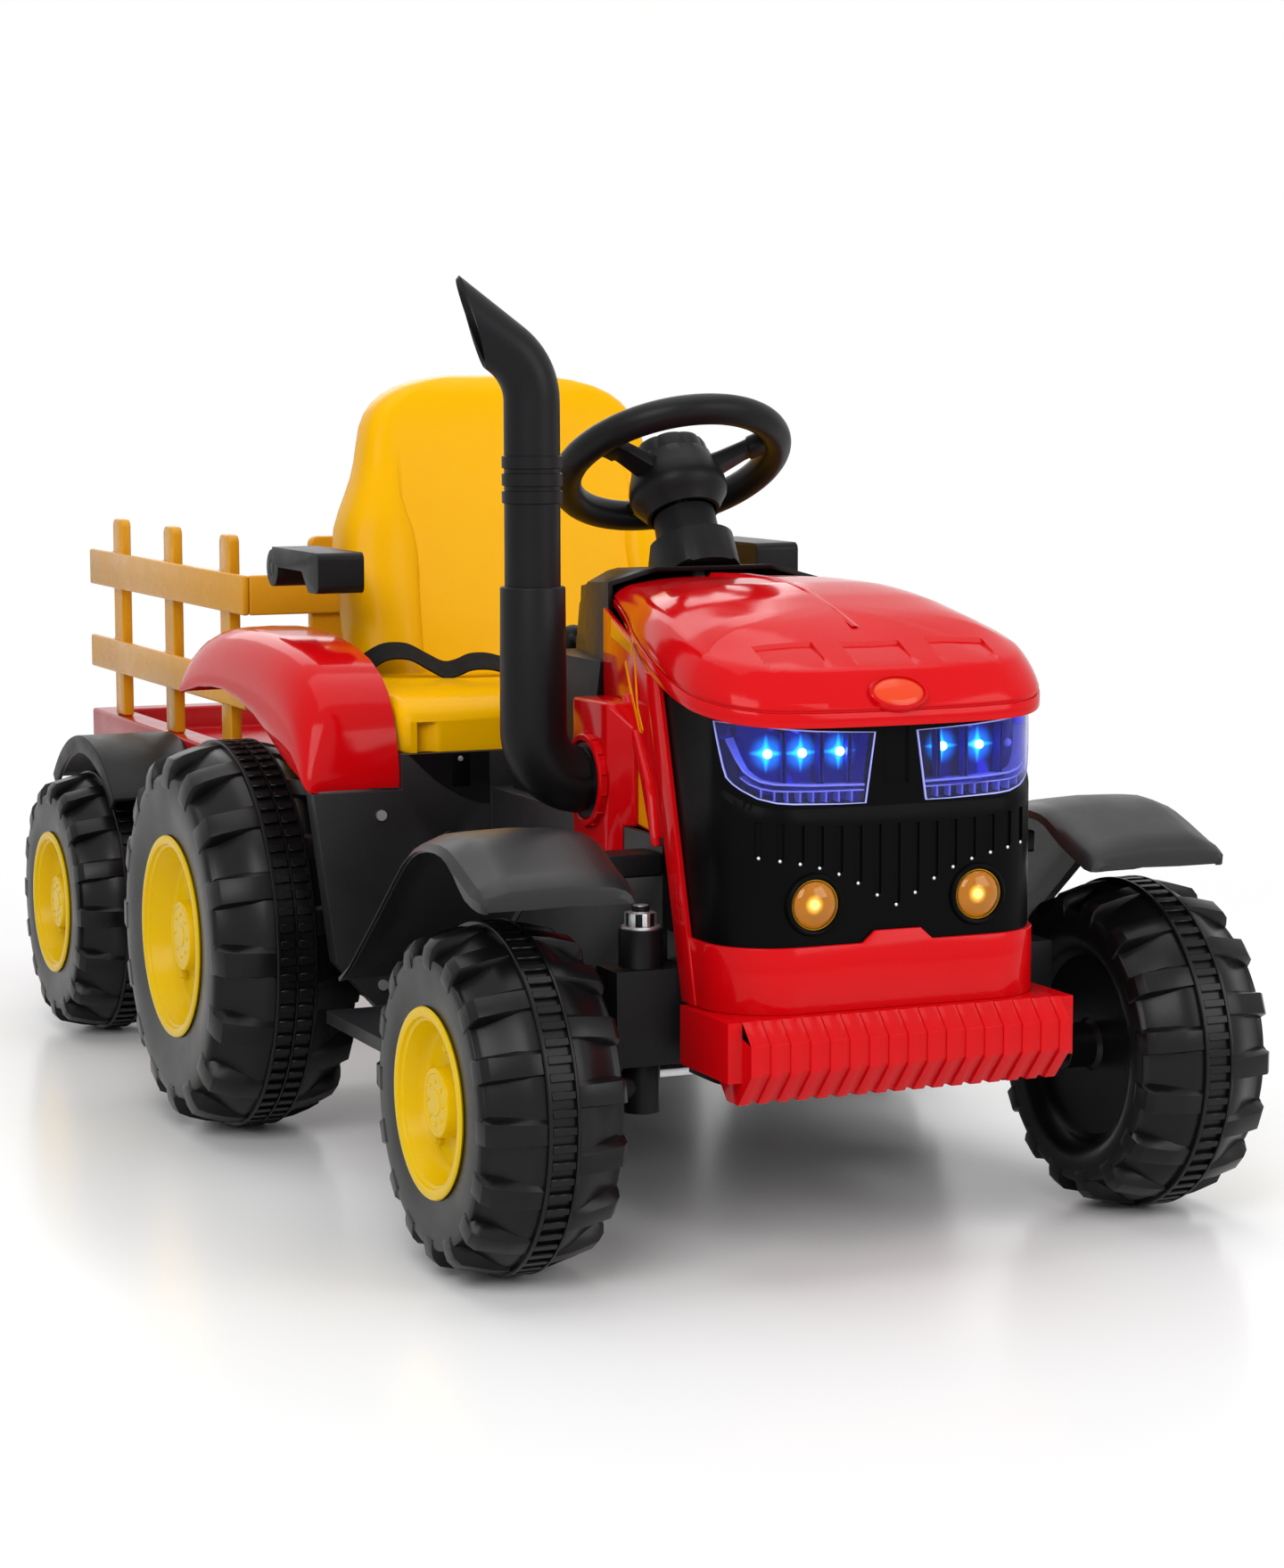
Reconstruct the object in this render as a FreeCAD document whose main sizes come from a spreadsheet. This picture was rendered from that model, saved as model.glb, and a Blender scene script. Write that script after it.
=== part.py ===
import FreeCAD, Part
import math
import os

import Sketcher
from FreeCAD import Placement, Rotation, Vector

# Ride-on tractor toy with a trailer. Millimetres, +Z up, the tractor faces -Y, its left side is +X.
# Lengths along the tractor are reaches behind (or ahead of) the front axle, heights are above the ground.

SIZES = {
    # Clearances and stock that many pieces share
    "fit_gap": 0.3,
    "run_gap": 0.05,
    "overrun": 3,
    "wall": 4,
    "wheel_wall": 4,
    "axle_radius": 6,
    # Layout
    "bumper_reach": 127.5,
    "tail_reach": 1247,
    "wheelbase": 521,
    "trailer_axle_reach": 967,
    "front_track_half": 243,
    "rear_track_half": 262,
    "trailer_track_half": 253,
    # Front wheel, which the trailer shares
    "front_wheel_radius": 118,
    "front_half_width": 50,
    "front_band_half": 11,
    "front_band_height": 8,
    "front_shoulder_drop": 6,
    "front_bulge_radius": 88,
    "front_face_reach": 48,
    "front_opening_radius": 60,
    "front_disc_inset": 34,
    "front_neck_radius": 68,
    "front_boss_radius": 16,
    "front_boss_reach": 58,
    "front_lug_count": 16,
    "front_rim_radius": 64,
    "front_dish_depth": 22,
    "front_dish_radius": 50,
    "front_hub_radius": 24,
    "front_hub_rise": 14,
    "front_nut_circle": 36,
    # Rear wheel
    "rear_wheel_radius": 153.5,
    "rear_half_width": 58,
    "rear_band_half": 16,
    "rear_band_height": 8,
    "rear_shoulder_drop": 8,
    "rear_bulge_radius": 116,
    "rear_face_reach": 54,
    "rear_opening_radius": 76,
    "rear_disc_inset": 38,
    "rear_neck_radius": 90,
    "rear_boss_radius": 20,
    "rear_boss_reach": 70,
    "rear_lug_count": 16,
    "rear_rim_radius": 80,
    "rear_dish_depth": 26,
    "rear_dish_radius": 62,
    "rear_hub_radius": 28,
    "rear_hub_rise": 14,
    "rear_nut_circle": 44,
    # Lugs and rim details of every wheel
    "lug_step": 2,
    "lug_proud": 2,
    "lug_tail": 6,
    "lug_angle": 9,
    "rim_flange": 3,
    "rim_lip": 6,
    "hub_cap_thickness": 7,
    "rim_nut_radius": 5,
    "rim_nut_height": 6,
    "rim_nut_count": 5,
    # Chassis shell
    "belly_height": 110,
    "seat_box_half": 188,
    "seat_box_front": 338,
    "seat_box_rear": 636,
    "seat_box_top": 310,
    "wing_top_half": 258,
    "wing_top": 283,
    "wing_mid_half": 241,
    "wing_mid": 154,
    "wing_low_half": 201,
    "wing_depth": 18,
    "tunnel_half": 116,
    "tunnel_neck_reach": 18,
    "tunnel_nose_reach": 72,
    "tunnel_floor": 128,
    "tunnel_top": 282,
    "footboard_half": 250,
    "footboard_front": 176,
    "footboard_top": 120,
    "belly_pan_thickness": 3,
    "tie_notch_rear": 80,
    "tie_notch_top": 132,
    # Dash console and steering column
    "dash_front": 186,
    "dash_low_half": 104,
    "dash_ledge": 388,
    "dash_ledge_rear": 306,
    "dash_foot_rear": 324,
    "dash_top_half": 88,
    "dash_top_front": 452,
    "dash_crest_reach": 258,
    "dash_crest": 466,
    "dash_brow_reach": 298,
    "dash_brow": 440,
    "column_tilt_angle": 31,
    "steering_reach": 263,
    "steering_height": 527,
    "steering_ring_radius": 80,
    "steering_grip_radius": 11.4,
    "steering_hub_radius": 36,
    "steering_hub_neck": 25,
    "steering_hub_top": 14,
    "steering_hub_drop": 44,
    "steering_spoke_half": 11,
    "steering_spoke_thickness": 10,
    "sleeve_radius": 23,
    "sleeve_drop": 68,
    "sleeve_base_radius": 32,
    "sleeve_base_drop": 96,
    "shaft_radius": 5,
    "shaft_drop": 442,
    "crank_throw": 26,
    "crank_half": 4,
    "crank_pin_length": 15,
    "horn_radius": 15,
    "horn_proud": 4,
    "horn_depth": 8,
    # Gear lever and power button on the back of the console
    "lever_side": 46,
    "lever_height": 392,
    "lever_pivot_reach": 286,
    "lever_length": 58,
    "lever_radius": 4,
    "lever_knob_radius": 11,
    "lever_hub_radius": 7,
    "lever_hub_half": 7,
    "lever_pin_radius": 3,
    "lever_rib": 3,
    "lever_rib_half": 9,
    "lever_slot_half": 11,
    "power_radius": 9,
    "power_side": 46,
    "power_drop": 44,
    "power_proud": 3,
    "power_length": 16,
    # Hood
    "hood_nose_reach": 106,
    "hood_rear_reach": 186,
    "hood_half": 134,
    "hood_lip_front": 365,
    "hood_lip_rear": 427,
    "hood_height": 48,
    "hood_rim": 12,
    # Grille, lamps and nose
    "grille_half": 118,
    "grille_reach": 101,
    "grille_back_reach": 14,
    "grille_corner": 45,
    "grille_base": 222,
    "grille_room": 200,
    "slot_pitch": 13.3,
    "slot_width": 4,
    "slot_depth": 2,
    "slot_gap": 16,
    "slot_centre_base": 247,
    "slot_rise": 35,
    "slot_side_count": 7,
    "lamp_inner_top": 15,
    "lamp_inner_low": 22,
    "lamp_outer": 122,
    "lamp_low_outer": 100,
    "lamp_drop": 3,
    "lamp_height": 46,
    "lamp_side_height": 32,
    "lamp_outer_rise": 4,
    "lens_thickness": 3,
    "reflector_border": 6,
    "reflector_depth": 12,
    "reflector_floor": 9,
    "led_radius": 4.5,
    "led_height": 4,
    "led_first": 36,
    "led_pitch": 20,
    "led_drop": 19,
    "fog_side": 61,
    "fog_level": 250,
    "fog_radius": 16,
    "fog_bezel": 3.5,
    "fog_bezel_proud": 5,
    "fog_dome_radius": 21,
    "fog_dome_proud": 10,
    "frame_proud": 3,
    "frame_base": 178,
    "frame_tab_top_half": 17,
    "frame_tab_base_half": 26,
    "frame_tab_height": 8,
    "pillar_thickness": 4,
    "pillar_width": 22,
    "pillar_top_reach": 12,
    "pillar_foot_reach": 49,
    # Bumper
    "bumper_half": 118,
    "bumper_top": 178,
    "bumper_base": 122,
    "bumper_brow": 14,
    "bumper_chin": 22,
    "bumper_chin_depth": 20,
    "bumper_foot": 18,
    "bumper_rib": 1.5,
    "bumper_rib_width": 8,
    "bumper_rib_count": 17,
    "bumper_wing_depth": 34,
    "bumper_wing_width": 10,
    "bumper_wing_base": 138,
    # Side panels and exhaust
    "side_panel_rear_half": 88,
    "exhaust_reach": 124,
    "exhaust_level": 311,
    "mount_face": 125,
    "mount_half_length": 46,
    "mount_half_height": 56,
    "mount_chamfer": 16,
    "flange_radius": 27,
    "flange_thickness": 4,
    "elbow_radius": 21,
    "elbow_bend": 38,
    "elbow_top": 446,
    "stack_radius": 19.5,
    "stack_wall": 3,
    "stack_bend_rise": 129,
    "stack_bend": 60,
    "stack_lean_angle": 40,
    "stack_tip": 66,
    "stack_slash_top": 48,
    "stack_slash_low": 32,
    "stack_slash_rise": 27,
    "stack_rise": 85,
    "stack_ring": 1.5,
    "stack_ring_width": 9,
    "stack_ring_pitch": 12,
    "stack_ring_drop": 70,
    "stack_ring_count": 3,
    # Front fenders
    "front_fender_inner": 168,
    "front_fender_outer": 280,
    "front_fender_front": 62,
    "front_fender_rear": 218,
    "front_fender_base": 165,
    "front_fender_rise": 128,
    "front_fender_skirt": 20,
    "front_fender_round": 9,
    "fender_arm_front": 16,
    "fender_arm_length": 30,
    "fender_arm_base": 256,
    "fender_arm_thickness": 16,
    # Rear fenders
    "rear_fender_inner": 188.3,
    "rear_fender_outer": 263,
    "rear_fender_front": 343,
    "rear_fender_rear": 676,
    "rear_fender_rise": 109,
    "rear_fender_skirt": 50,
    "rear_fender_round": 24,
    # Seat
    "seat_half": 186,
    "seat_front": 346,
    "seat_rear": 600,
    "seat_cushion_top": 360,
    "seat_round": 14,
    "seat_wall": 5,
    "seat_back_front": 536,
    "seat_back_base": 352,
    "seat_back_top": 608,
    "seat_back_lean": 76,
    "seat_back_half": 166,
    "seat_back_thickness": 44,
    "seat_back_corner": 16,
    "belt_width": 26,
    "belt_thickness": 2,
    "belt_reach": 470,
    "belt_span": 120,
    "belt_wave": 16,
    "buckle_length": 58,
    "buckle_width": 34,
    "buckle_height": 14,
    # Armrests
    "armrest_inner": 170,
    "armrest_outer": 208,
    "armrest_front": 472,
    "armrest_pivot_reach": 590,
    "armrest_pivot_height": 438,
    "armrest_top": 455,
    "armrest_front_depth": 32,
    "armrest_arch": 16,
    "armrest_eye_radius": 15,
    "armrest_pin_radius": 6,
    "armrest_pin_root": 14,
    "armrest_round": 6,
    # Front axle and steering gear
    "kingpin_side": 140,
    "beam_half": 166,
    "beam_front": 20,
    "beam_rear": 16,
    "beam_base": 134,
    "beam_top": 199,
    "beam_boss_radius": 15,
    "beam_boss_top": 224,
    "kingpin_radius": 6,
    "kingpin_top": 240,
    "knuckle_radius": 13,
    "knuckle_base": 100,
    "spindle_radius": 10,
    "spindle_end": 274,
    "arm_half": 8,
    "arm_base": 104,
    "arm_thickness": 8,
    "arm_length": 52,
    "arm_pin_radius": 4,
    "arm_pin_head": 7,
    "arm_head_thickness": 3,
    "washer_radius": 13,
    "washer_thickness": 2,
    "nut_radius": 10,
    "nut_height": 9,
    "tie_rod_half": 150,
    "tie_rod_thickness": 6,
    "tie_rod_depth_half": 12,
    "tie_slot_half": 5.2,
    "tie_slot_front": 9.5,
    "tie_slot_rear": 5,
    "fork_gap": 1.6,
    "fork_cheek": 4,
    "fork_top": 128,
    # Drive
    "axle_end": 294,
    "gearbox_inner": 120,
    "gearbox_front": 478,
    "gearbox_rear": 566,
    "gearbox_top": 204,
    "output_radius": 18,
    "motor_radius": 18.5,
    "motor_length": 57,
    "motor_reach": 540,
    "motor_height": 182,
    "battery_length": 151,
    "battery_depth": 65,
    "battery_height": 94,
    "battery_front": 372,
    "socket_side": 150,
    "socket_height": 240,
    "socket_radius": 7,
    "socket_flange": 11,
    "socket_flange_thickness": 3,
    "socket_depth": 16,
    "socket_bore": 2.75,
    # Pedal
    "pedal_side": 183,
    "pedal_half": 27,
    "pedal_length": 88,
    "pedal_thickness": 8,
    "pedal_pivot_reach": 276,
    "pedal_pivot_height": 128,
    "pedal_pin_radius": 4,
    "pedal_barrel_radius": 7,
    "pedal_rest_angle": 18,
    "pedal_ear": 6,
    "pedal_ear_half": 9,
    # Tow hitch and trailer
    "tow_overhang": 44,
    "tow_level": 190,
    "tow_thickness": 10,
    "tow_half": 28,
    "tow_pin_radius": 8,
    "tow_pin_grip": 6,
    "drawbar_half": 18,
    "drawbar_thickness": 20,
    "drawbar_rear": 1000,
    "drawbar_pad_half": 60,
    "drawbar_pad_front": 780,
    "tray_half": 188,
    "tray_front": 738,
    "tray_base": 238,
    "tray_top": 266,
    "tray_floor": 5,
    "tray_rim": 28,
    "axle_hanger": 14,
    "axle_hanger_half": 27,
    "fence_top": 455,
    "fence_post_width": 30,
    "fence_post_depth": 10,
    "fence_rail_depth": 6,
    "fence_upper_base": 389,
    "fence_upper_height": 34,
    "fence_lower_base": 308,
    "fence_lower_height": 31,
    "fence_first_post": 811,
    "fence_last_inset": 82,
    "fence_front_post": 110,
    "trailer_fender_outer": 272,
    "trailer_fender_radius": 150,
    "trailer_fender_skirt": 16,
    "trailer_fender_angle": 46,
    # Body screws
    "screw_radius": 4,
    "screw_head": 2,
    "screw_inset": 18,
}

# Shares of the sizes that they follow, chosen by hand
SHOULDER_SHARE = 0.9
NECK_SHARE = 0.94
# Hood stations from nose to rear: along the hood, half width, height of the crown
HOOD_STATION_SHARES = [(0, 0.56, 0.34), (0.02, 0.77, 0.55), (0.074, 0.91, 0.82), (0.182, 1, 1),
                       (0.426, 0.93, 0.98), (0.73, 0.77, 0.82), (1, 0.65, 0.64)]
HOOD_SIDE_SHARE = 0.3
HOOD_SHOULDER_SHARES = (0.945, 0.68, 0.75, 0.86)
# Fender crests: along the fender, up the rise
FRONT_CREST_SHARES = [(0, 0.82), (0.12, 0.92), (0.29, 1), (0.45, 0.95), (0.63, 0.72), (0.82, 0.4), (1, 0.08)]
FRONT_EDGE_SHARES = [(1, 0), (0.78, 0.26), (0.6, 0.52), (0.42, 0.73), (0.2, 0.76), (0, 0.68)]
REAR_CREST_SHARES = [(0, 0), (0.015, 0.38), (0.11, 0.72), (0.3, 0.94), (0.55, 1), (0.78, 0.95), (0.93, 0.78),
                     (1, 0.58)]
REAR_EDGE_SHARES = [(0.97, 0.52), (0.7, 0.57), (0.48, 0.52), (0.29, 0.34), (0.12, 0.12), (0.06, 0)]
# Seat back from base to top: up the back, half width, thickness
SEAT_BACK_SHARES = [(0, 0.9, 1), (0.22, 0.97, 1), (0.42, 1, 0.95), (0.58, 0.88, 0.9), (0.72, 0.79, 0.86),
                    (0.86, 0.72, 0.8), (0.95, 0.6, 0.7), (1, 0.44, 0.5)]
SLOT_FALL_SHARE = 2.8
# Belt strap from buckle to seat side: along the strap, up the wave
BELT_WAVE_SHARES = [(0, 0), (0.2, 0.1), (0.45, 0.6), (0.7, 1), (0.9, 0.5), (1, 0)]
ARMREST_NOSE_SHARE = 0.8
# Cosine above which an edge counts as parallel to an axis
PARALLEL_SHARE = 0.999


class Size:
    """A length, or a sum of lengths: its number now and the formula that gives it from the sheet."""

    def __init__(self, number, formula):
        self.number = float(number)
        self.formula = formula

    @staticmethod
    def of(value):
        return value if isinstance(value, Size) else Size(value, repr(value))

    def __float__(self):
        return self.number

    def __add__(self, other):
        other = Size.of(other)
        return Size(self.number + other.number, f"({self.formula} + {other.formula})")

    def __sub__(self, other):
        other = Size.of(other)
        return Size(self.number - other.number, f"({self.formula} - {other.formula})")

    def __mul__(self, other):
        other = Size.of(other)
        return Size(self.number * other.number, f"({self.formula} * {other.formula})")

    def __truediv__(self, other):
        other = Size.of(other)
        return Size(self.number / other.number, f"({self.formula} / {other.formula})")

    def __neg__(self):
        return Size(-self.number, f"(-1 * {self.formula})")

    __radd__ = __add__
    __rmul__ = __mul__


class Sheet:
    """The document's spreadsheet of driving dimensions, read by name."""

    def __init__(self, document, values):
        self.cells = document.addObject("Spreadsheet::Sheet", "Sizes")
        for row, (name, value) in enumerate(values.items(), start=1):
            self.cells.set(f"A{row}", name)
            self.cells.set(f"B{row}", str(value))
            self.cells.setAlias(f"B{row}", name)
        document.recompute()

    def __getattr__(self, name):
        return Size(self.cells.get(name), f"Sizes.{name}")

    def of(self, kind, name):
        return getattr(self, f"{kind}_{name}")


doc = FreeCAD.newDocument("RideOnTractor")
sizes = Sheet(doc, SIZES)
ZERO = Size(0, "0")
pieces = []


def sine(angle):
    return Size(math.sin(math.radians(float(angle))), f"sin({angle.formula} * 1deg)")


def cosine(angle):
    return Size(math.cos(math.radians(float(angle))), f"cos({angle.formula} * 1deg)")


# The front axle's place, so that the whole length is centred on the origin
AXLE = (sizes.bumper_reach - sizes.tail_reach) / 2


def behind(reach):
    """The y of a point that far behind the front axle."""
    return AXLE + reach


def ahead(reach):
    """The y of a point that far ahead of the front axle."""
    return AXLE - reach


def point(x, y, z):
    return Vector(float(x), float(y), float(z))


def bind(item, name, value):
    item.setExpression(name, Size.of(value).formula)


def place(item, x=ZERO, y=ZERO, z=ZERO):
    bind(item, "Placement.Base.x", x)
    bind(item, "Placement.Base.y", y)
    bind(item, "Placement.Base.z", z)
    return item


def tilt(item, angle, axis=Vector(1, 0, 0)):
    """Turn an item about an axis by an angle of the sheet."""
    item.Placement = Placement(Vector(), Rotation(axis, float(angle)))
    bind(item, "Placement.Rotation.Angle", angle)
    return item


def piece(label, item):
    """Keep an item as a piece of the tractor, under its own name."""
    item.Label = label
    pieces.append(item)
    return item


def box(name, x, y, z):
    """A block between two values on each axis."""
    item = doc.addObject("Part::Box", name)
    for side, span in zip(("Length", "Width", "Height"), (x, y, z)):
        bind(item, side, span[1] - span[0])
    return place(item, x[0], y[0], z[0])


AXIS_TURNS = {
    "X": Rotation(Vector(0, 1, 0), 90),
    "Y": Rotation(Vector(1, 0, 0), -90),
    "Z": Rotation(),
}


def rod(name, axis, radius, span, across):
    """A cylinder along an axis between two values, at its place on the two other axes."""
    item = doc.addObject("Part::Cylinder", name)
    bind(item, "Radius", radius)
    bind(item, "Height", span[1] - span[0])
    item.Placement = Placement(Vector(), AXIS_TURNS[axis])
    spot = list(across)
    spot.insert("XYZ".index(axis), span[0])
    return place(item, *spot)


def ball(name, radius, x, y, z):
    item = doc.addObject("Part::Sphere", name)
    bind(item, "Radius", radius)
    return place(item, x, y, z)


def fuse(name, *items):
    item = doc.addObject("Part::MultiFuse", name)
    item.Shapes = list(items)
    return item


def cut(name, base, *tools):
    item = doc.addObject("Part::Cut", name)
    item.Base = base
    item.Tool = tools[0] if len(tools) == 1 else fuse(name + "Tools", *tools)
    return item


def common(name, first, second):
    item = doc.addObject("Part::Common", name)
    item.Base = first
    item.Tool = second
    return item


def group(name, *items):
    item = doc.addObject("Part::Compound", name)
    item.Links = list(items)
    return item


def mirrored(label, source):
    """The same piece on the other side of the tractor."""
    item = doc.addObject("Part::Mirroring", label)
    item.Source = source
    item.Normal = Vector(1, 0, 0)
    return item


def modelled(name, shape):
    """A piece whose shape is worked out from the sheet with curves and lofts."""
    item = doc.addObject("Part::Feature", name)
    item.Shape = shape
    return item


def copied(label, source, x, y, z):
    """The same piece again in another place."""
    doc.recompute()
    shape = source.Shape.copy()
    shape.Placement = Placement()
    return place(modelled(label, shape), x, y, z)


def new_body(name):
    return doc.addObject("PartDesign::Body", name)


def polygon(body, name, plane, points, offset=ZERO):
    """A closed outline on one of the body's planes, each corner tied to the sheet."""
    sketch = body.newObject("Sketcher::SketchObject", name)
    support = next(item for item in body.Origin.OriginFeatures if item.Role == plane)
    sketch.AttachmentSupport = (support, [""])
    sketch.MapMode = "FlatFace"
    bind(sketch, "AttachmentOffset.Base.z", -offset if plane == "XZ_Plane" else offset)
    corners = [(Size.of(across), Size.of(up)) for across, up in points]
    spots = [point(across, up, 0) for across, up in corners]
    count = len(spots)
    for index in range(count):
        sketch.addGeometry(Part.LineSegment(spots[index], spots[(index + 1) % count]))
    for index in range(count):
        sketch.addConstraint(Sketcher.Constraint("Coincident", index, 2, (index + 1) % count, 1))
    for index, (across, up) in enumerate(corners):
        for direction, value in (("DistanceX", across), ("DistanceY", up)):
            number = sketch.addConstraint(Sketcher.Constraint(direction, -1, 1, index, 1, float(value)))
            bind(sketch, f"Constraints[{number}]", value)
    return sketch


def pad(body, name, plane, points, span):
    sketch = polygon(body, name + "Outline", plane, points, span[0])
    feature = body.newObject("PartDesign::Pad", name)
    feature.Profile = sketch
    feature.Reversed = plane == "XZ_Plane"
    bind(feature, "Length", span[1] - span[0])
    return feature


def prism(name, plane, points, span):
    """An outline pulled straight between two values of the third axis."""
    body = new_body(name)
    pad(body, name + "Pad", plane, points, span)
    return body


def revolve(body, name, points, angle=None, turn=None):
    """An outline of (along, radius) corners spun about the body's X axis."""
    sketch = polygon(body, name + "Outline", "XY_Plane", points)
    if turn is not None:
        sketch.AttachmentOffset = Placement(Vector(), Rotation(Vector(1, 0, 0), float(turn)))
        bind(sketch, "AttachmentOffset.Rotation.Angle", turn)
    feature = body.newObject("PartDesign::Revolution", name)
    feature.Profile = sketch
    feature.ReferenceAxis = (sketch, ["H_Axis"])
    if angle is not None:
        feature.Midplane = True
        bind(feature, "Angle", angle)
    return feature


def repeat_round(body, name, feature, axis, count):
    pattern = body.newObject("PartDesign::PolarPattern", name)
    pattern.Originals = [feature]
    pattern.Axis = axis
    bind(pattern, "Occurrences", count)
    body.Tip = pattern
    return pattern


def soften(name, item, radius, chosen):
    """Round the edges of an item that a test picks out."""
    doc.recompute()
    edges = [number for number, edge in enumerate(item.Shape.Edges, start=1) if chosen(edge)]
    result = doc.addObject("Part::Fillet", name)
    result.Base = item
    result.Edges = [(number, float(radius), float(radius)) for number in edges]
    return result


def runs_along(edge, axis):
    """Whether an edge is straight and parallel to an axis."""
    ends = [vertex.Point for vertex in edge.Vertexes]
    if len(ends) < 2 or edge.Curve.TypeId != "Part::GeomLine":
        return False
    return abs((ends[1] - ends[0]).normalize().dot(axis)) > PARALLEL_SHARE


# Wheels

def wheel_outline(kind):
    """The hollow moulded wheel in section: hub disc, sidewalls, tread and centre band."""
    radius = sizes.of(kind, "wheel_radius")
    tread = radius - sizes.of(kind, "band_height")
    half = sizes.of(kind, "half_width")
    band = sizes.of(kind, "band_half")
    shoulder = half * SHOULDER_SHARE
    shoulder_radius = tread - sizes.of(kind, "shoulder_drop")
    bulge = sizes.of(kind, "bulge_radius")
    face = sizes.of(kind, "face_reach")
    opening = sizes.of(kind, "opening_radius")
    seat = sizes.of(kind, "rim_radius") + sizes.fit_gap
    disc = sizes.of(kind, "disc_inset")
    neck = sizes.of(kind, "neck_radius")
    flare = half * NECK_SHARE
    boss = sizes.of(kind, "boss_radius")
    reach = sizes.of(kind, "boss_reach")
    bore = sizes.axle_radius + sizes.run_gap
    wall = sizes.wheel_wall
    outer = [(-reach, bore), (-reach, boss), (-disc, boss), (-disc, neck), (-flare, neck + wall),
             (-half, bulge), (-shoulder, shoulder_radius), (-band, tread), (-band, radius), (band, radius),
             (band, tread), (shoulder, shoulder_radius), (half, bulge), (face, seat), (face, opening)]
    inner = [(face - wall, opening), (half - wall, bulge), (shoulder - wall, shoulder_radius - wall),
             (band, tread - wall), (-band, tread - wall), (wall - shoulder, shoulder_radius - wall),
             (wall - half, bulge), (wall - flare, neck + wall + wall), (wall - disc, neck + wall),
             (wall - disc, bore)]
    return outer + inner


def lug_outline(kind, side):
    """One tread lug in section, from the centre band over the shoulder; side is 1 outboard, -1 inboard."""
    radius = sizes.of(kind, "wheel_radius")
    tread = radius - sizes.of(kind, "band_height")
    half = sizes.of(kind, "half_width")
    band = sizes.of(kind, "band_half")
    shoulder = half * SHOULDER_SHARE
    drop = sizes.of(kind, "shoulder_drop")
    bulge = sizes.of(kind, "bulge_radius")
    sunk = sizes.wheel_wall / 2
    top = radius - sizes.lug_step
    outline = [(band, tread - sunk), (band, top), (shoulder, top - drop),
               (half + sizes.lug_proud, bulge + sizes.lug_tail), (half - sunk, bulge + sunk),
               (shoulder - sunk, tread - drop - sunk)]
    return [(along * side, height) for along, height in outline]


def wheel(name, kind):
    body = new_body(name)
    carcass = revolve(body, name + "Carcass", wheel_outline(kind))
    axis = (carcass.Profile[0], ["H_Axis"])
    count = sizes.of(kind, "lug_count")
    for side, turn in ((1, None), (-1, Size(180, "180") / count)):
        tag = "Outer" if side > 0 else "Inner"
        lug = revolve(body, name + tag + "Lug", lug_outline(kind, side), sizes.lug_angle, turn)
        repeat_round(body, name + tag + "Lugs", lug, axis, count)
    return body


def rim(name, kind):
    """The coloured dished insert with its hub cap and nuts."""
    face = sizes.of(kind, "face_reach")
    rim_radius = sizes.of(kind, "rim_radius")
    dish = sizes.of(kind, "dish_radius")
    hub = sizes.of(kind, "hub_radius")
    sleeve = sizes.of(kind, "boss_radius")
    opening = sizes.of(kind, "opening_radius")
    wall = sizes.wheel_wall
    bore = sizes.axle_radius + sizes.run_gap
    seat = wall - sizes.of(kind, "disc_inset")
    front = face - sizes.of(kind, "dish_depth")
    back = front - wall
    top = front + sizes.of(kind, "hub_rise")
    body = new_body(name)
    revolve(body, name + "Dish", [
        (top - sizes.hub_cap_thickness, 0), (top - sizes.hub_cap_thickness, bore), (seat, bore),
        (seat, sleeve), (back, sleeve), (back, dish + wall), (face, opening - sizes.fit_gap),
        (face, rim_radius), (face + sizes.rim_flange, rim_radius),
        (face + sizes.rim_flange, rim_radius - sizes.rim_lip), (front, dish), (front, hub), (top, hub),
        (top, 0)])
    circle = sizes.of(kind, "nut_circle")
    hexagon = []
    for corner in range(6):
        turn = math.radians(60 * corner)
        hexagon.append((circle + sizes.rim_nut_radius * math.cos(turn),
                        sizes.rim_nut_radius * math.sin(turn)))
    nut = pad(body, name + "Nut", "YZ_Plane", hexagon, (front, front + sizes.rim_nut_height))
    repeat_round(body, name + "Nuts", nut, (nut.Profile[0], ["N_Axis"]), sizes.rim_nut_count)
    return body


def make_wheels():
    spots = {"front": (sizes.front_track_half, AXLE, sizes.front_wheel_radius),
             "rear": (sizes.rear_track_half, behind(sizes.wheelbase), sizes.rear_wheel_radius)}
    made = {}
    for kind, spot in spots.items():
        for part, maker in (("wheel", wheel), ("rim", rim)):
            left = place(maker(f"{kind}_{part}_left", kind), *spot)
            made[kind, part] = piece(f"{kind}_{part}_left", left)
            piece(f"{kind}_{part}_right", mirrored(f"{kind}_{part}_right", left))
    for part in ("wheel", "rim"):
        left = copied(f"trailer_{part}_left", made["front", part], sizes.trailer_track_half,
                      behind(sizes.trailer_axle_reach), sizes.front_wheel_radius)
        piece(f"trailer_{part}_left", left)
        piece(f"trailer_{part}_right", mirrored(f"trailer_{part}_right", left))


# Chassis

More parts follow.
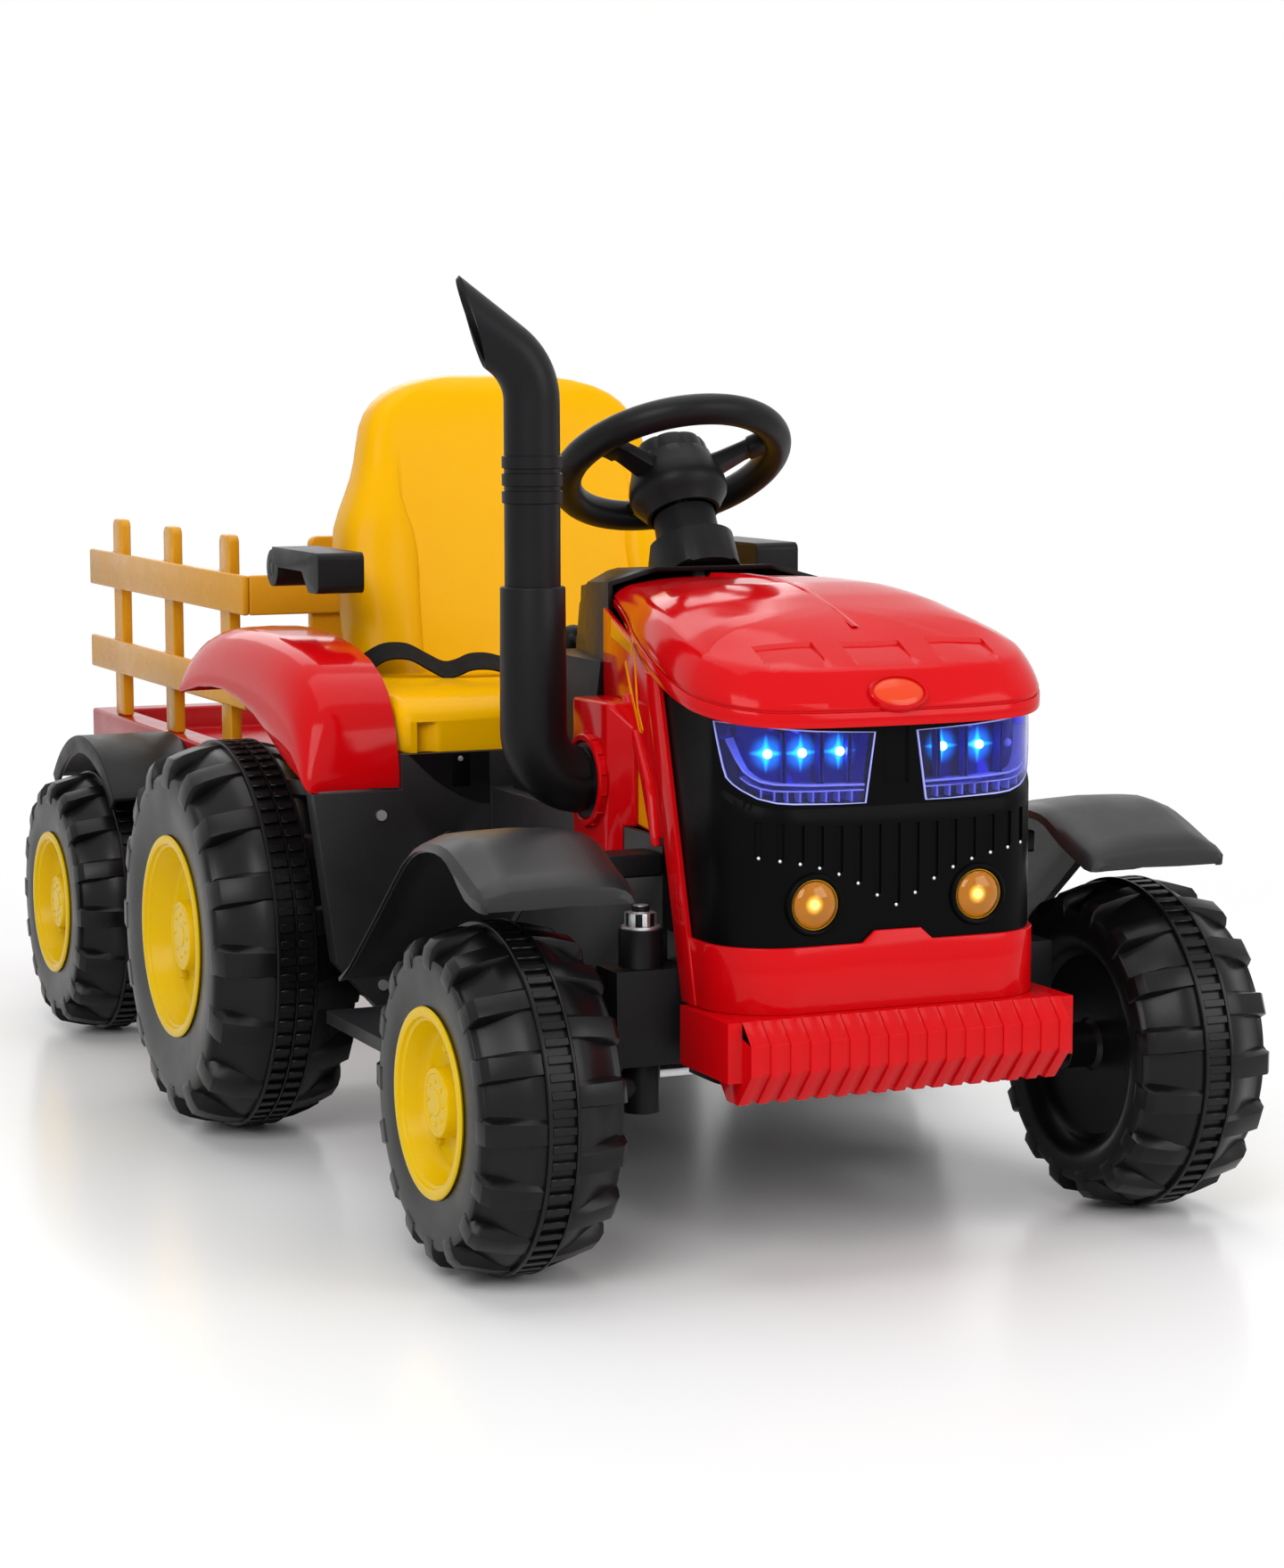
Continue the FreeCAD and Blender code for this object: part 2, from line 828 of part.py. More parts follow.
def make_chassis():
    half = sizes.seat_box_half
    wall = sizes.wall
    low = sizes.belly_height
    front = behind(sizes.seat_box_front)
    rear = behind(sizes.seat_box_rear)
    neck_half = sizes.grille_half - wall - sizes.fit_gap
    neck_end = behind(sizes.tunnel_neck_reach)
    nose = ahead(sizes.tunnel_nose_reach)
    dash = behind(sizes.dash_front)
    over = sizes.overrun
    top = sizes.tunnel_top
    outer = [box("SeatBox", (-half, half), (front, rear), (low, sizes.seat_box_top))]
    outer.append(prism("WingPanel", "XZ_Plane", [
        (-sizes.wing_top_half, sizes.wing_top), (-sizes.wing_mid_half, sizes.wing_mid),
        (-sizes.wing_low_half, low), (sizes.wing_low_half, low), (sizes.wing_mid_half, sizes.wing_mid),
        (sizes.wing_top_half, sizes.wing_top)], (front, front + sizes.wing_depth)))
    outer.append(box("Tunnel", (-sizes.tunnel_half, sizes.tunnel_half), (neck_end, front), (low, top)))
    neck = box("TunnelNeckBlock", (-neck_half, neck_half), (nose, neck_end), (sizes.tunnel_floor, top))
    neck_plan = nose_plan("TunnelNeckPlan", wall + sizes.fit_gap, sizes.tunnel_floor, top, neck_end)
    outer.append(common("TunnelNeck", neck, neck_plan))
    outer.append(box("Footboards", (-sizes.footboard_half, sizes.footboard_half),
                     (behind(sizes.footboard_front), front), (low, sizes.footboard_top)))
    pedal_y = behind(sizes.pedal_pivot_reach)
    ear_gap = sizes.pedal_half + sizes.fit_gap
    ear_span = (pedal_y - sizes.pedal_ear_half, pedal_y + sizes.pedal_ear_half)
    ear_rise = (low, sizes.pedal_pivot_height + sizes.pedal_ear_half)
    for name, edge in (("PedalEarOuter", -sizes.pedal_side - ear_gap - sizes.pedal_ear),
                       ("PedalEarInner", -sizes.pedal_side + ear_gap)):
        outer.append(box(name, (edge, edge + sizes.pedal_ear), ear_span, ear_rise))
    tunnel_half = sizes.tunnel_half - wall
    beam_gap = sizes.fit_gap
    rear_axle = (behind(sizes.wheelbase), sizes.rear_wheel_radius)
    tools = [
        box("SeatBoxRoom", (wall - half, half - wall), (front + wall, rear - wall),
            (low - over, sizes.seat_box_top - wall)),
        box("TunnelRoom", (-tunnel_half, tunnel_half), (neck_end, front + wall + over),
            (low - over, top - wall)),
        box("TunnelHatch", (-tunnel_half, tunnel_half), (neck_end, dash - over), (low - over, top + over)),
        box("NeckRoom", (wall - neck_half, neck_half - wall), (nose + wall, neck_end + over),
            (sizes.tunnel_floor - over, top + over)),
        box("BeamSlot", (-sizes.beam_half, sizes.beam_half),
            (ahead(sizes.beam_front) - beam_gap, behind(sizes.beam_rear) + beam_gap),
            (sizes.tunnel_floor - over, sizes.beam_top + beam_gap)),
        box("TieRodNotch", (-sizes.tunnel_half - over, sizes.tunnel_half + over),
            (neck_end - over, behind(sizes.tie_notch_rear)), (low - over, sizes.tie_notch_top)),
        rod("OutputHole", "X", sizes.output_radius + sizes.fit_gap, (-half - over, half + over), rear_axle),
        rod("SocketHole", "Y", sizes.socket_radius + sizes.run_gap,
            (front - over, front + wall + over), (-sizes.socket_side, sizes.socket_height)),
        rod("PedalPinHole", "X", sizes.pedal_pin_radius + sizes.run_gap,
            (-sizes.pedal_side - ear_gap - sizes.pedal_ear - over,
             -sizes.pedal_side + ear_gap + sizes.pedal_ear + over), (pedal_y, sizes.pedal_pivot_height)),
    ]
    piece("chassis_shell", cut("ChassisShell", fuse("ChassisSolid", *outer), *tools))
    gap = sizes.fit_gap
    piece("belly_pan", box("BellyPan", (wall + gap - half, half - wall - gap),
                           (front + wall + gap, rear - wall - gap), (low, low + sizes.belly_pan_thickness)))


# Dash console with the column sleeve, steering wheel and its shaft

def column(name, radius, low, high):
    """A rod on the steering column's axis, between two distances above the steering wheel's centre."""
    item = doc.addObject("Part::Cylinder", name)
    bind(item, "Radius", radius)
    bind(item, "Height", high - low)
    return on_column(item, low)


def on_column(item, along):
    """Stand an item on the column's axis, that far above the steering wheel's centre."""
    angle = sizes.column_tilt_angle
    tilt(item, -angle)
    return place(item, ZERO, behind(sizes.steering_reach) + along * sine(angle),
                 sizes.steering_height + along * cosine(angle))


def make_dash():
    wall = sizes.wall
    over = sizes.overrun
    front = behind(sizes.dash_front)
    foot = sizes.tunnel_top
    low_points = [(front, foot), (front, sizes.dash_ledge), (behind(sizes.dash_ledge_rear), sizes.dash_ledge),
                  (behind(sizes.dash_foot_rear), foot)]
    top_points = [(front, foot), (front, sizes.dash_top_front),
                  (behind(sizes.dash_crest_reach), sizes.dash_crest),
                  (behind(sizes.dash_brow_reach), sizes.dash_brow),
                  (behind(sizes.dash_foot_rear) - wall, foot)]
    low_room = [(front - over, foot - over), (front - over, sizes.dash_ledge - wall),
                (behind(sizes.dash_ledge_rear) - wall, sizes.dash_ledge - wall),
                (behind(sizes.dash_foot_rear) - wall, foot - over)]
    top_room = [(front - over, foot - over), (front - over, sizes.dash_top_front - wall),
                (behind(sizes.dash_crest_reach) - wall, sizes.dash_crest - wall),
                (behind(sizes.dash_brow_reach) - wall, sizes.dash_brow - wall),
                (behind(sizes.dash_foot_rear) - wall - wall, foot - over)]
    low_half = sizes.dash_low_half
    top_half = sizes.dash_top_half
    pivot = (behind(sizes.lever_pivot_reach), sizes.lever_height)
    rear = behind(sizes.dash_foot_rear) + over
    outer = fuse("DashSolid", prism("DashLow", "YZ_Plane", low_points, (-low_half, low_half)),
                 prism("DashTop", "YZ_Plane", top_points, (-top_half, top_half)),
                 column("SleeveBase", sizes.sleeve_base_radius, -sizes.sleeve_base_drop, -sizes.sleeve_drop),
                 column("Sleeve", sizes.sleeve_radius, -sizes.sleeve_drop,
                        -sizes.steering_hub_drop - sizes.fit_gap))
    shell = cut("DashShell", outer,
                prism("DashLowRoom", "YZ_Plane", low_room, (wall - low_half, low_half - wall)),
                prism("DashTopRoom", "YZ_Plane", top_room, (wall - top_half, top_half - wall)))
    rib_in = sizes.lever_hub_half + sizes.fit_gap
    ribs = []
    for name, edge in (("LeverRibOuter", -sizes.lever_side - rib_in - sizes.lever_rib),
                       ("LeverRibInner", -sizes.lever_side + rib_in)):
        ribs.append(box(name, (edge, edge + sizes.lever_rib),
                        (pivot[0] - sizes.lever_rib_half, behind(sizes.dash_brow_reach) + wall),
                        (pivot[1] - sizes.lever_rib_half, pivot[1] + sizes.lever_rib_half)))
    slot = sizes.lever_radius + sizes.fit_gap
    piece("dash_console", cut(
        "DashConsole", fuse("DashWithRibs", shell, *ribs),
        column("ColumnBore", sizes.shaft_radius + sizes.run_gap, -sizes.sleeve_base_drop - over,
               ZERO),
        box("LeverSlot", (-sizes.lever_side - slot, slot - sizes.lever_side), (pivot[0], rear),
            (pivot[1] - sizes.lever_slot_half, pivot[1] + sizes.lever_slot_half)),
        rod("LeverPinHole", "X", sizes.lever_pin_radius + sizes.run_gap,
            (-sizes.lever_side - rib_in - sizes.lever_rib - over,
             rib_in + sizes.lever_rib + over - sizes.lever_side), pivot),
        rod("PowerHole", "Y", sizes.power_radius + sizes.run_gap,
            (behind(sizes.dash_brow_reach) - sizes.power_length, rear),
            (sizes.power_side, power_level()))))


def make_lever():
    side = sizes.lever_side
    pivot = behind(sizes.lever_pivot_reach)
    level = sizes.lever_height
    pin_half = sizes.lever_hub_half + sizes.fit_gap + sizes.lever_rib
    end = pivot + sizes.lever_length
    piece("gear_lever", fuse(
        "GearLever", rod("LeverStem", "Y", sizes.lever_radius, (pivot, end), (-side, level)),
        ball("LeverKnob", sizes.lever_knob_radius, -side, end, level),
        rod("LeverHub", "X", sizes.lever_hub_radius,
            (-side - sizes.lever_hub_half, sizes.lever_hub_half - side),
            (pivot, level)),
        rod("LeverPin", "X", sizes.lever_pin_radius, (-side - pin_half, pin_half - side), (pivot, level))))


def wall_reach_at(height):
    """How far back the console's sloping back wall stands at a height."""
    slope = (sizes.dash_foot_rear - sizes.wall - sizes.dash_brow_reach) / (sizes.dash_brow - sizes.tunnel_top)
    return sizes.dash_brow_reach + slope * (sizes.dash_brow - height)


def power_level():
    """Height of the power button, a set way below the console's brow."""
    return sizes.dash_brow - sizes.power_drop


def make_power_button():
    face = behind(wall_reach_at(power_level())) + sizes.power_proud
    piece("power_button", rod("PowerButton", "Y", sizes.power_radius, (face - sizes.power_length, face),
                              (sizes.power_side, power_level())))


def make_steering():
    ring = doc.addObject("Part::Torus", "SteeringRing")
    bind(ring, "Radius1", sizes.steering_ring_radius)
    bind(ring, "Radius2", sizes.steering_grip_radius)
    half = sizes.steering_spoke_half
    thick = sizes.steering_spoke_thickness / 2
    hub = doc.addObject("Part::Cylinder", "SteeringHub")
    bind(hub, "Radius", sizes.steering_hub_radius)
    bind(hub, "Height", sizes.steering_hub_top + thick)
    place(hub, ZERO, ZERO, -thick)
    bell = doc.addObject("Part::Cone", "SteeringBell")
    bind(bell, "Radius1", sizes.steering_hub_neck)
    bind(bell, "Radius2", sizes.steering_hub_radius)
    bind(bell, "Height", sizes.steering_hub_drop - thick)
    place(bell, ZERO, ZERO, -sizes.steering_hub_drop)
    reach = sizes.steering_ring_radius
    spokes = [box("SpokeAcross", (-reach, reach), (-half, half), (-thick, thick)),
              box("SpokeDown", (-half, half), (ZERO, reach), (-thick, thick))]
    over = sizes.overrun
    horn_room = doc.addObject("Part::Cylinder", "HornRoom")
    bind(horn_room, "Radius", sizes.horn_radius + sizes.run_gap)
    bind(horn_room, "Height", sizes.horn_depth + over)
    place(horn_room, ZERO, ZERO, sizes.steering_hub_top - sizes.horn_depth)
    shaft_room = doc.addObject("Part::Cylinder", "ShaftRoom")
    bind(shaft_room, "Radius", sizes.shaft_radius + sizes.run_gap)
    bind(shaft_room, "Height", sizes.steering_hub_drop + over)
    place(shaft_room, ZERO, ZERO, -sizes.steering_hub_drop - over)
    wheel_item = cut("SteeringWheel", fuse("SteeringSolid", ring, hub, bell, *spokes), horn_room, shaft_room)
    piece("steering_wheel", on_column(wheel_item, ZERO))
    travel_room = sizes.horn_depth - sizes.horn_proud
    piece("horn_button", column("HornButton", sizes.horn_radius, sizes.steering_hub_top - travel_room,
                                sizes.steering_hub_top + sizes.horn_proud))
    throw = sizes.crank_throw
    arm_half = sizes.crank_half
    stem = doc.addObject("Part::Cylinder", "ShaftStem")
    bind(stem, "Radius", sizes.shaft_radius)
    bind(stem, "Height", sizes.shaft_drop)
    arm = box("CrankArm", (-arm_half, arm_half), (ZERO, throw), (-arm_half, arm_half))
    pin = doc.addObject("Part::Cylinder", "CrankPin")
    bind(pin, "Radius", arm_half)
    bind(pin, "Height", sizes.crank_pin_length + arm_half)
    place(pin, ZERO, throw, -sizes.crank_pin_length)
    piece("steering_shaft", on_column(fuse("SteeringShaft", stem, arm, pin), -sizes.shaft_drop))


# Hood, from arched sections

def hood_lip(reach):
    """Height of the hood's lower edge, that far behind the nose."""
    length = sizes.hood_nose_reach + sizes.hood_rear_reach
    return sizes.hood_lip_front + (sizes.hood_lip_rear - sizes.hood_lip_front) * reach / length


def arch_section(y, half, base, height):
    """A closed arched section across the hood: flat below, upright lips, rounded shoulders, low crown."""
    mid_wide, mid_high, top_wide, top_high = HOOD_SHOULDER_SHARES
    lip = base + height * HOOD_SIDE_SHARE
    left = [Vector(half, y, base), Vector(half, y, lip), Vector(half * mid_wide, y, base + height * mid_high),
            Vector(half * top_wide, y, base + height * top_high)]
    right = [Vector(-spot.x, y, spot.z) for spot in left]
    crown = Vector(0, y, base + height)
    edges = [Part.LineSegment(right[0], left[0]), Part.LineSegment(left[0], left[1]),
             Part.Arc(left[1], left[2], left[3]), Part.Arc(left[3], crown, right[3]),
             Part.Arc(right[3], right[2], right[1]), Part.LineSegment(right[1], right[0])]
    return Part.Wire([edge.toShape() for edge in edges])


def hood_loft(inset, thinner, drop):
    """The hood's solid, with its sides drawn in, its crown lowered and its base dropped."""
    length = sizes.hood_nose_reach + sizes.hood_rear_reach
    sections = []
    for along, wide, high in HOOD_STATION_SHARES:
        y = ahead(sizes.hood_nose_reach) + length * along
        half = sizes.hood_half * wide - inset
        height = sizes.hood_height * high - thinner + drop
        base = hood_lip(length * along) - drop
        sections.append(arch_section(float(y), float(half), float(base), float(height)))
    return Part.makeLoft(sections, True)


def make_hood():
    wall = sizes.wall
    outer = hood_loft(ZERO, ZERO, ZERO)
    inner = hood_loft(sizes.hood_rim, wall, sizes.overrun)
    room = Part.makeBox(float(sizes.hood_half * 2), float(sizes.hood_nose_reach + sizes.hood_rear_reach),
                        float(sizes.hood_lip_rear),
                        point(-sizes.hood_half, ahead(sizes.hood_nose_reach) + sizes.hood_rim, 0))
    piece("hood", modelled("Hood", outer.cut(inner.common(room))))


# Nose: grille with lamps, red frame, bumper

def nose_plan(name, inset, low, high, back):
    """A block with the nose's rounded plan, drawn in by an inset, between two heights."""
    half = sizes.grille_half - inset
    front = ahead(sizes.grille_reach) + inset
    body = prism(name, "XY_Plane", [(-half, front), (half, front), (half, back), (-half, back)], (low, high))
    doc.recompute()
    block = body.Tip
    names = []
    for number, edge in enumerate(block.Shape.Edges, start=1):
        if runs_along(edge, Vector(0, 0, 1)) and edge.Vertexes[0].Point.y < float(back) - float(sizes.wall):
            names.append(f"Edge{number}")
    corners = body.newObject("PartDesign::Fillet", name + "Corners")
    corners.Base = (block, names)
    bind(corners, "Radius", sizes.grille_corner - inset)
    body.Tip = corners
    return body


def lamp_top():
    return sizes.hood_lip_front - sizes.lamp_drop


def lamp_base():
    return lamp_top() - sizes.lamp_height


def lamp_outline(side, border):
    """A headlamp's outline from the front, grown by a border; side is 1 left, -1 right."""
    top = lamp_top()
    base = lamp_base()
    corners = [(sizes.lamp_inner_top - border, top + border),
               (sizes.lamp_inner_low - border, base - border),
               (sizes.lamp_low_outer + border, base - border),
               (sizes.lamp_outer + border, top - sizes.lamp_side_height - border),
               (sizes.lamp_outer + border, top + sizes.lamp_outer_rise + border)]
    return [(across * side, up) for across, up in corners]


def lamp_prisms(name, border, depth):
    front = ahead(sizes.grille_reach)
    span = (front - sizes.overrun, front + depth)
    return [prism(name + tag, "XZ_Plane", lamp_outline(side, border), span)
            for tag, side in (("Left", 1), ("Right", -1))]


def above_lip(name):
    """Everything above the hood's sloping lower edge, to trim what the hood sits on."""
    nose = ahead(sizes.hood_nose_reach)
    rear = behind(sizes.hood_rear_reach)
    room = sizes.grille_room
    return prism(name, "YZ_Plane", [(nose, sizes.hood_lip_front), (rear, sizes.hood_lip_rear),
                                    (rear, sizes.hood_lip_rear + room), (nose, sizes.hood_lip_front + room)],
                 (-sizes.hood_half, sizes.hood_half))


def make_grille():
    low = sizes.grille_base
    high = low + sizes.grille_room
    back = behind(sizes.grille_back_reach)
    over = sizes.overrun
    front = ahead(sizes.grille_reach)
    outer = nose_plan("GrilleOuter", ZERO, low, high, back)
    room = nose_plan("GrilleRoom", sizes.wall, low - over, high + over, back + over)
    skin = nose_plan("GrilleSkin", sizes.slot_depth, low - over, high + over, back + over)
    slots = []
    count = int(float(sizes.slot_side_count))
    for number in range(-count, count + 1):
        centre = sizes.slot_pitch * number
        base = sizes.slot_centre_base + sizes.slot_rise * (1 - math.exp(-abs(number) / SLOT_FALL_SHARE))
        slots.append(box(f"Slot{number + count}",
                         (centre - sizes.slot_width / 2, centre + sizes.slot_width / 2),
                         (front - over, front + sizes.grille_corner), (base, lamp_base() - sizes.slot_gap)))
    grooves = cut("SlotGrooves", fuse("SlotBlocks", *slots), skin)
    bezels = []
    bores = []
    for tag, side in (("Left", 1), ("Right", -1)):
        spot = (sizes.fog_side * side, sizes.fog_level)
        bezels.append(rod("FogBezel" + tag, "Y", sizes.fog_radius + sizes.fog_bezel,
                          (front - sizes.fog_bezel_proud, front + sizes.wall), spot))
        bores.append(rod("FogBore" + tag, "Y", sizes.fog_radius + sizes.fit_gap,
                         (front - sizes.fog_bezel_proud - over, front), spot))
    shell = cut("GrilleShell", outer, room, above_lip("GrilleTrim"))
    piece("grille", cut("Grille", fuse("GrilleWithBezels", shell, *bezels), grooves, *bores,
                        *lamp_prisms("LampWindow", ZERO, sizes.grille_corner)))


def make_lamps():
    low = sizes.grille_base
    high = low + sizes.grille_room
    back = behind(sizes.grille_back_reach)
    over = sizes.overrun
    depth = sizes.grille_corner
    lens_block = cut("LensBlock", nose_plan("LensOuter", ZERO, low, high, back),
                     nose_plan("LensRoom", sizes.lens_thickness, low - over, high + over, back + over),
                     above_lip("LensTrim"))
    lenses = [common(f"Lens{number}", lens_block, window)
              for number, window in enumerate(lamp_prisms("LensWindow", -sizes.fit_gap, depth))]
    piece("headlamp_lenses", group("HeadlampLenses", *lenses))
    dish_block = cut("DishBlock", nose_plan("DishOuter", sizes.wall, low, high, back),
                     nose_plan("DishRoom", sizes.reflector_depth, low - over, high + over, back + over),
                     above_lip("DishTrim"))
    floor = nose_plan("DishFloor", sizes.reflector_floor, low - over, high + over, back + over)
    dishes = []
    borders = lamp_prisms("DishBorder", sizes.reflector_border, depth)
    pockets = lamp_prisms("DishPocket", ZERO, depth)
    for number, (border, pocket) in enumerate(zip(borders, pockets)):
        block = common(f"DishSolid{number}", dish_block, border)
        dishes.append(cut(f"Dish{number}", block, cut(f"DishHollow{number}", pocket, floor)))
    piece("headlamp_reflectors", group("HeadlampReflectors", *dishes))
    face = ahead(sizes.grille_reach) + sizes.reflector_floor - sizes.fit_gap
    leds = []
    for side in (1, -1):
        for number in range(3):
            across = (sizes.led_first + sizes.led_pitch * number) * side
            leds.append(rod(f"Led{number}Side{side}".replace("-", "Right"), "Y", sizes.led_radius,
                            (face - sizes.led_height, face), (across, lamp_top() - sizes.led_drop)))
    piece("headlamp_leds", group("HeadlampLeds", *leds))
    front = ahead(sizes.grille_reach)
    domes = []
    for tag, side in (("Left", 1), ("Right", -1)):
        spot = (sizes.fog_side * side, sizes.fog_level)
        dome = ball("FogBall" + tag, sizes.fog_dome_radius, spot[0],
                    front - sizes.fog_dome_proud + sizes.fog_dome_radius, spot[1])
        barrel = rod("FogBarrel" + tag, "Y", sizes.fog_radius,
                     (front - sizes.fog_dome_proud - over, front), spot)
        domes.append(common("FogDome" + tag, dome, barrel))
    piece("fog_lamp_lenses", group("FogLampLenses", *domes))


def make_nose_frame():
    low = sizes.frame_base
    top = sizes.grille_base
    over = sizes.overrun
    proud = sizes.frame_proud
    side = sizes.grille_half + sizes.fit_gap
    foot = ahead(sizes.pillar_foot_reach)
    head = behind(sizes.pillar_top_reach)
    end = foot + sizes.pillar_width
    band = cut("FrameBand", nose_plan("FrameOuter", -proud, low, top, end),
               nose_plan("FrameRoom", sizes.wall, low - over, top + over, end + over))
    front = ahead(sizes.grille_reach)
    tab = prism("FrameTab", "XZ_Plane", [
        (-sizes.frame_tab_base_half, top - over), (sizes.frame_tab_base_half, top - over),
        (sizes.frame_tab_base_half, top), (sizes.frame_tab_top_half, top + sizes.frame_tab_height),
        (-sizes.frame_tab_top_half, top + sizes.frame_tab_height), (-sizes.frame_tab_base_half, top)],
        (front - proud, front - sizes.fit_gap))
    length = sizes.hood_nose_reach
    head_height = hood_lip(length + sizes.pillar_top_reach)
    tail_height = hood_lip(length + sizes.pillar_top_reach + sizes.pillar_width)
    pillar_outline = [(foot, low), (end, low), (head + sizes.pillar_width, tail_height), (head, head_height)]
    pillars = []
    for tag, span in (("Left", (side, side + sizes.pillar_thickness)),
                      ("Right", (-side - sizes.pillar_thickness, -side))):
        pillars.append(prism("Pillar" + tag, "YZ_Plane", pillar_outline, span))
    piece("nose_frame", fuse("NoseFrame", band, tab, *pillars))


def bumper_outline(grow):
    """The bumper in section, from the side, with its ribs standing proud by grow."""
    face = ahead(sizes.bumper_reach) + sizes.bumper_rib - grow
    back = ahead(sizes.tunnel_nose_reach)
    top = sizes.bumper_top
    base = sizes.bumper_base - grow + sizes.bumper_rib
    brow = sizes.bumper_brow
    return [(back, top), (face + brow, top), (face, top - brow), (face, base + sizes.bumper_chin),
            (face + sizes.bumper_chin_depth, base), (back - sizes.bumper_foot, base),
            (back, base + sizes.bumper_foot)]


def make_bumper():
    half = sizes.bumper_half
    name = "Bumper"
    body = prism(name, "YZ_Plane", bumper_outline(ZERO), (-half, half))
    count = sizes.bumper_rib_count
    rib_half = sizes.bumper_rib_width / 2
    rib = pad(body, "BumperRib", "YZ_Plane", bumper_outline(sizes.bumper_rib),
              (-half, -half + rib_half * 2))
    pattern = body.newObject("PartDesign::LinearPattern", "BumperRibs")
    pattern.Originals = [rib]
    pattern.Direction = (rib.Profile[0], ["N_Axis"])
    bind(pattern, "Length", (half - rib_half) * 2)
    bind(pattern, "Occurrences", count)
    body.Tip = pattern
    back = ahead(sizes.tunnel_nose_reach)
    face = ahead(sizes.bumper_reach) + sizes.bumper_brow
    wings = []
    for tag, span in (("Left", (half, half + sizes.bumper_wing_width)),
                      ("Right", (-half - sizes.bumper_wing_width, -half))):
        wings.append(box("BumperWing" + tag, span, (face, back + sizes.bumper_wing_depth),
                         (sizes.bumper_wing_base, sizes.bumper_top - sizes.fit_gap)))
    piece("bumper", fuse("BumperAll", body, *wings))


# Side panels and exhaust

def side_panel_edge(reach):
    """How far out a side panel's outer face stands, that far behind the front axle."""
    start = sizes.grille_back_reach + sizes.fit_gap
    slope = (sizes.grille_half - sizes.side_panel_rear_half) / (sizes.dash_front - start)
    return sizes.grille_half - slope * (reach - start)


def make_side_panels():
    front = behind(sizes.grille_back_reach) + sizes.fit_gap
    rear = behind(sizes.dash_front)
    outline = [(sizes.grille_half, front), (sizes.side_panel_rear_half, rear),
               (sizes.side_panel_rear_half - sizes.wall, rear), (sizes.grille_half - sizes.wall, front)]
    low = sizes.tunnel_top
    panel = cut("SidePanelLeft", prism("SidePanelBlank", "XY_Plane", outline, (low, low + sizes.grille_room)),
                above_lip("SidePanelTrim"))
    piece("side_panel_left", panel)
    piece("side_panel_right", mirrored("side_panel_right", panel))


def make_exhaust():
    reach = sizes.exhaust_reach
    y = behind(reach)
    level = sizes.exhaust_level
    face = sizes.mount_face
    half = sizes.mount_half_length
    tall = sizes.mount_half_height
    trim = sizes.mount_chamfer
    inner_front = side_panel_edge(reach - half)
    inner_rear = side_panel_edge(reach + half)
    block = prism("MountBlock", "XY_Plane", [
        (-inner_front - sizes.fit_gap, y - half), (-inner_rear - sizes.fit_gap, y + half),
        (-face + trim, y + half), (-face, y + half - trim), (-face, y - half + trim),
        (-inner_front - sizes.fit_gap - sizes.wall, y - half)], (level - tall, level + tall))
    slab = prism("MountSlab", "YZ_Plane", [
        (y - half, level - tall), (y + half, level - tall), (y + half, level + tall - trim),
        (y + half - trim, level + tall), (y - half + trim, level + tall), (y - half, level + tall - trim)],
        (-face - sizes.overrun, ZERO))
    inside = box("MountTunnel", (-sizes.tunnel_half, sizes.tunnel_half),
                 (y - half - sizes.overrun, y + half + sizes.overrun),
                 (level - tall - sizes.overrun, sizes.tunnel_top))
    piece("exhaust_mount", cut("ExhaustMount", common("MountShape", block, slab), inside))
    bend = sizes.elbow_bend
    radius = sizes.elbow_radius
    flange = rod("ElbowFlange", "X", sizes.flange_radius, (-face - sizes.flange_thickness, -face), (y, level))
    stub_end = -face - sizes.flange_thickness
    turn = doc.addObject("Part::Torus", "ElbowBend")
    bind(turn, "Radius1", bend)
    bind(turn, "Radius2", radius)
    turn.Angle3 = 90
    turn.Placement = Placement(Vector(), Rotation(Vector(1, 0, 0), 90) * Rotation(Vector(0, 0, 1), 180))
    place(turn, stub_end, y, level + bend)
    x = stub_end - bend
    riser = rod("ElbowRiser", "Z", radius, (level + bend, sizes.elbow_top), (x, y))
    piece("exhaust_elbow", fuse("ExhaustElbow", flange, turn, riser))
    make_stack(x, y)


def stack_bend_level():
    return sizes.elbow_top + sizes.stack_bend_rise


def pipe_path(x, y, low):
    """The stack's centre line: upright, a bend that leans outward, a straight tip."""
    bend = float(sizes.stack_bend)
    lean = math.radians(float(sizes.stack_lean_angle))
    start = point(x, y, low)
    turn = point(x, y, stack_bend_level())
    centre = turn - Vector(bend, 0, 0)
    middle = centre + Vector(bend * math.cos(lean / 2), 0, bend * math.sin(lean / 2))
    finish = centre + Vector(bend * math.cos(lean), 0, bend * math.sin(lean))
    tip = finish + Vector(-math.sin(lean), 0, math.cos(lean)) * float(sizes.stack_tip)
    edges = [Part.LineSegment(start, turn), Part.Arc(turn, middle, finish), Part.LineSegment(finish, tip)]
    return Part.Wire([edge.toShape() for edge in edges])


def pipe(x, y, low, radius):
    circle = Part.makeCircle(float(radius), point(x, y, low), Vector(0, 0, 1))
    return pipe_path(x, y, low).makePipeShell([Part.Wire(circle)], True, False)


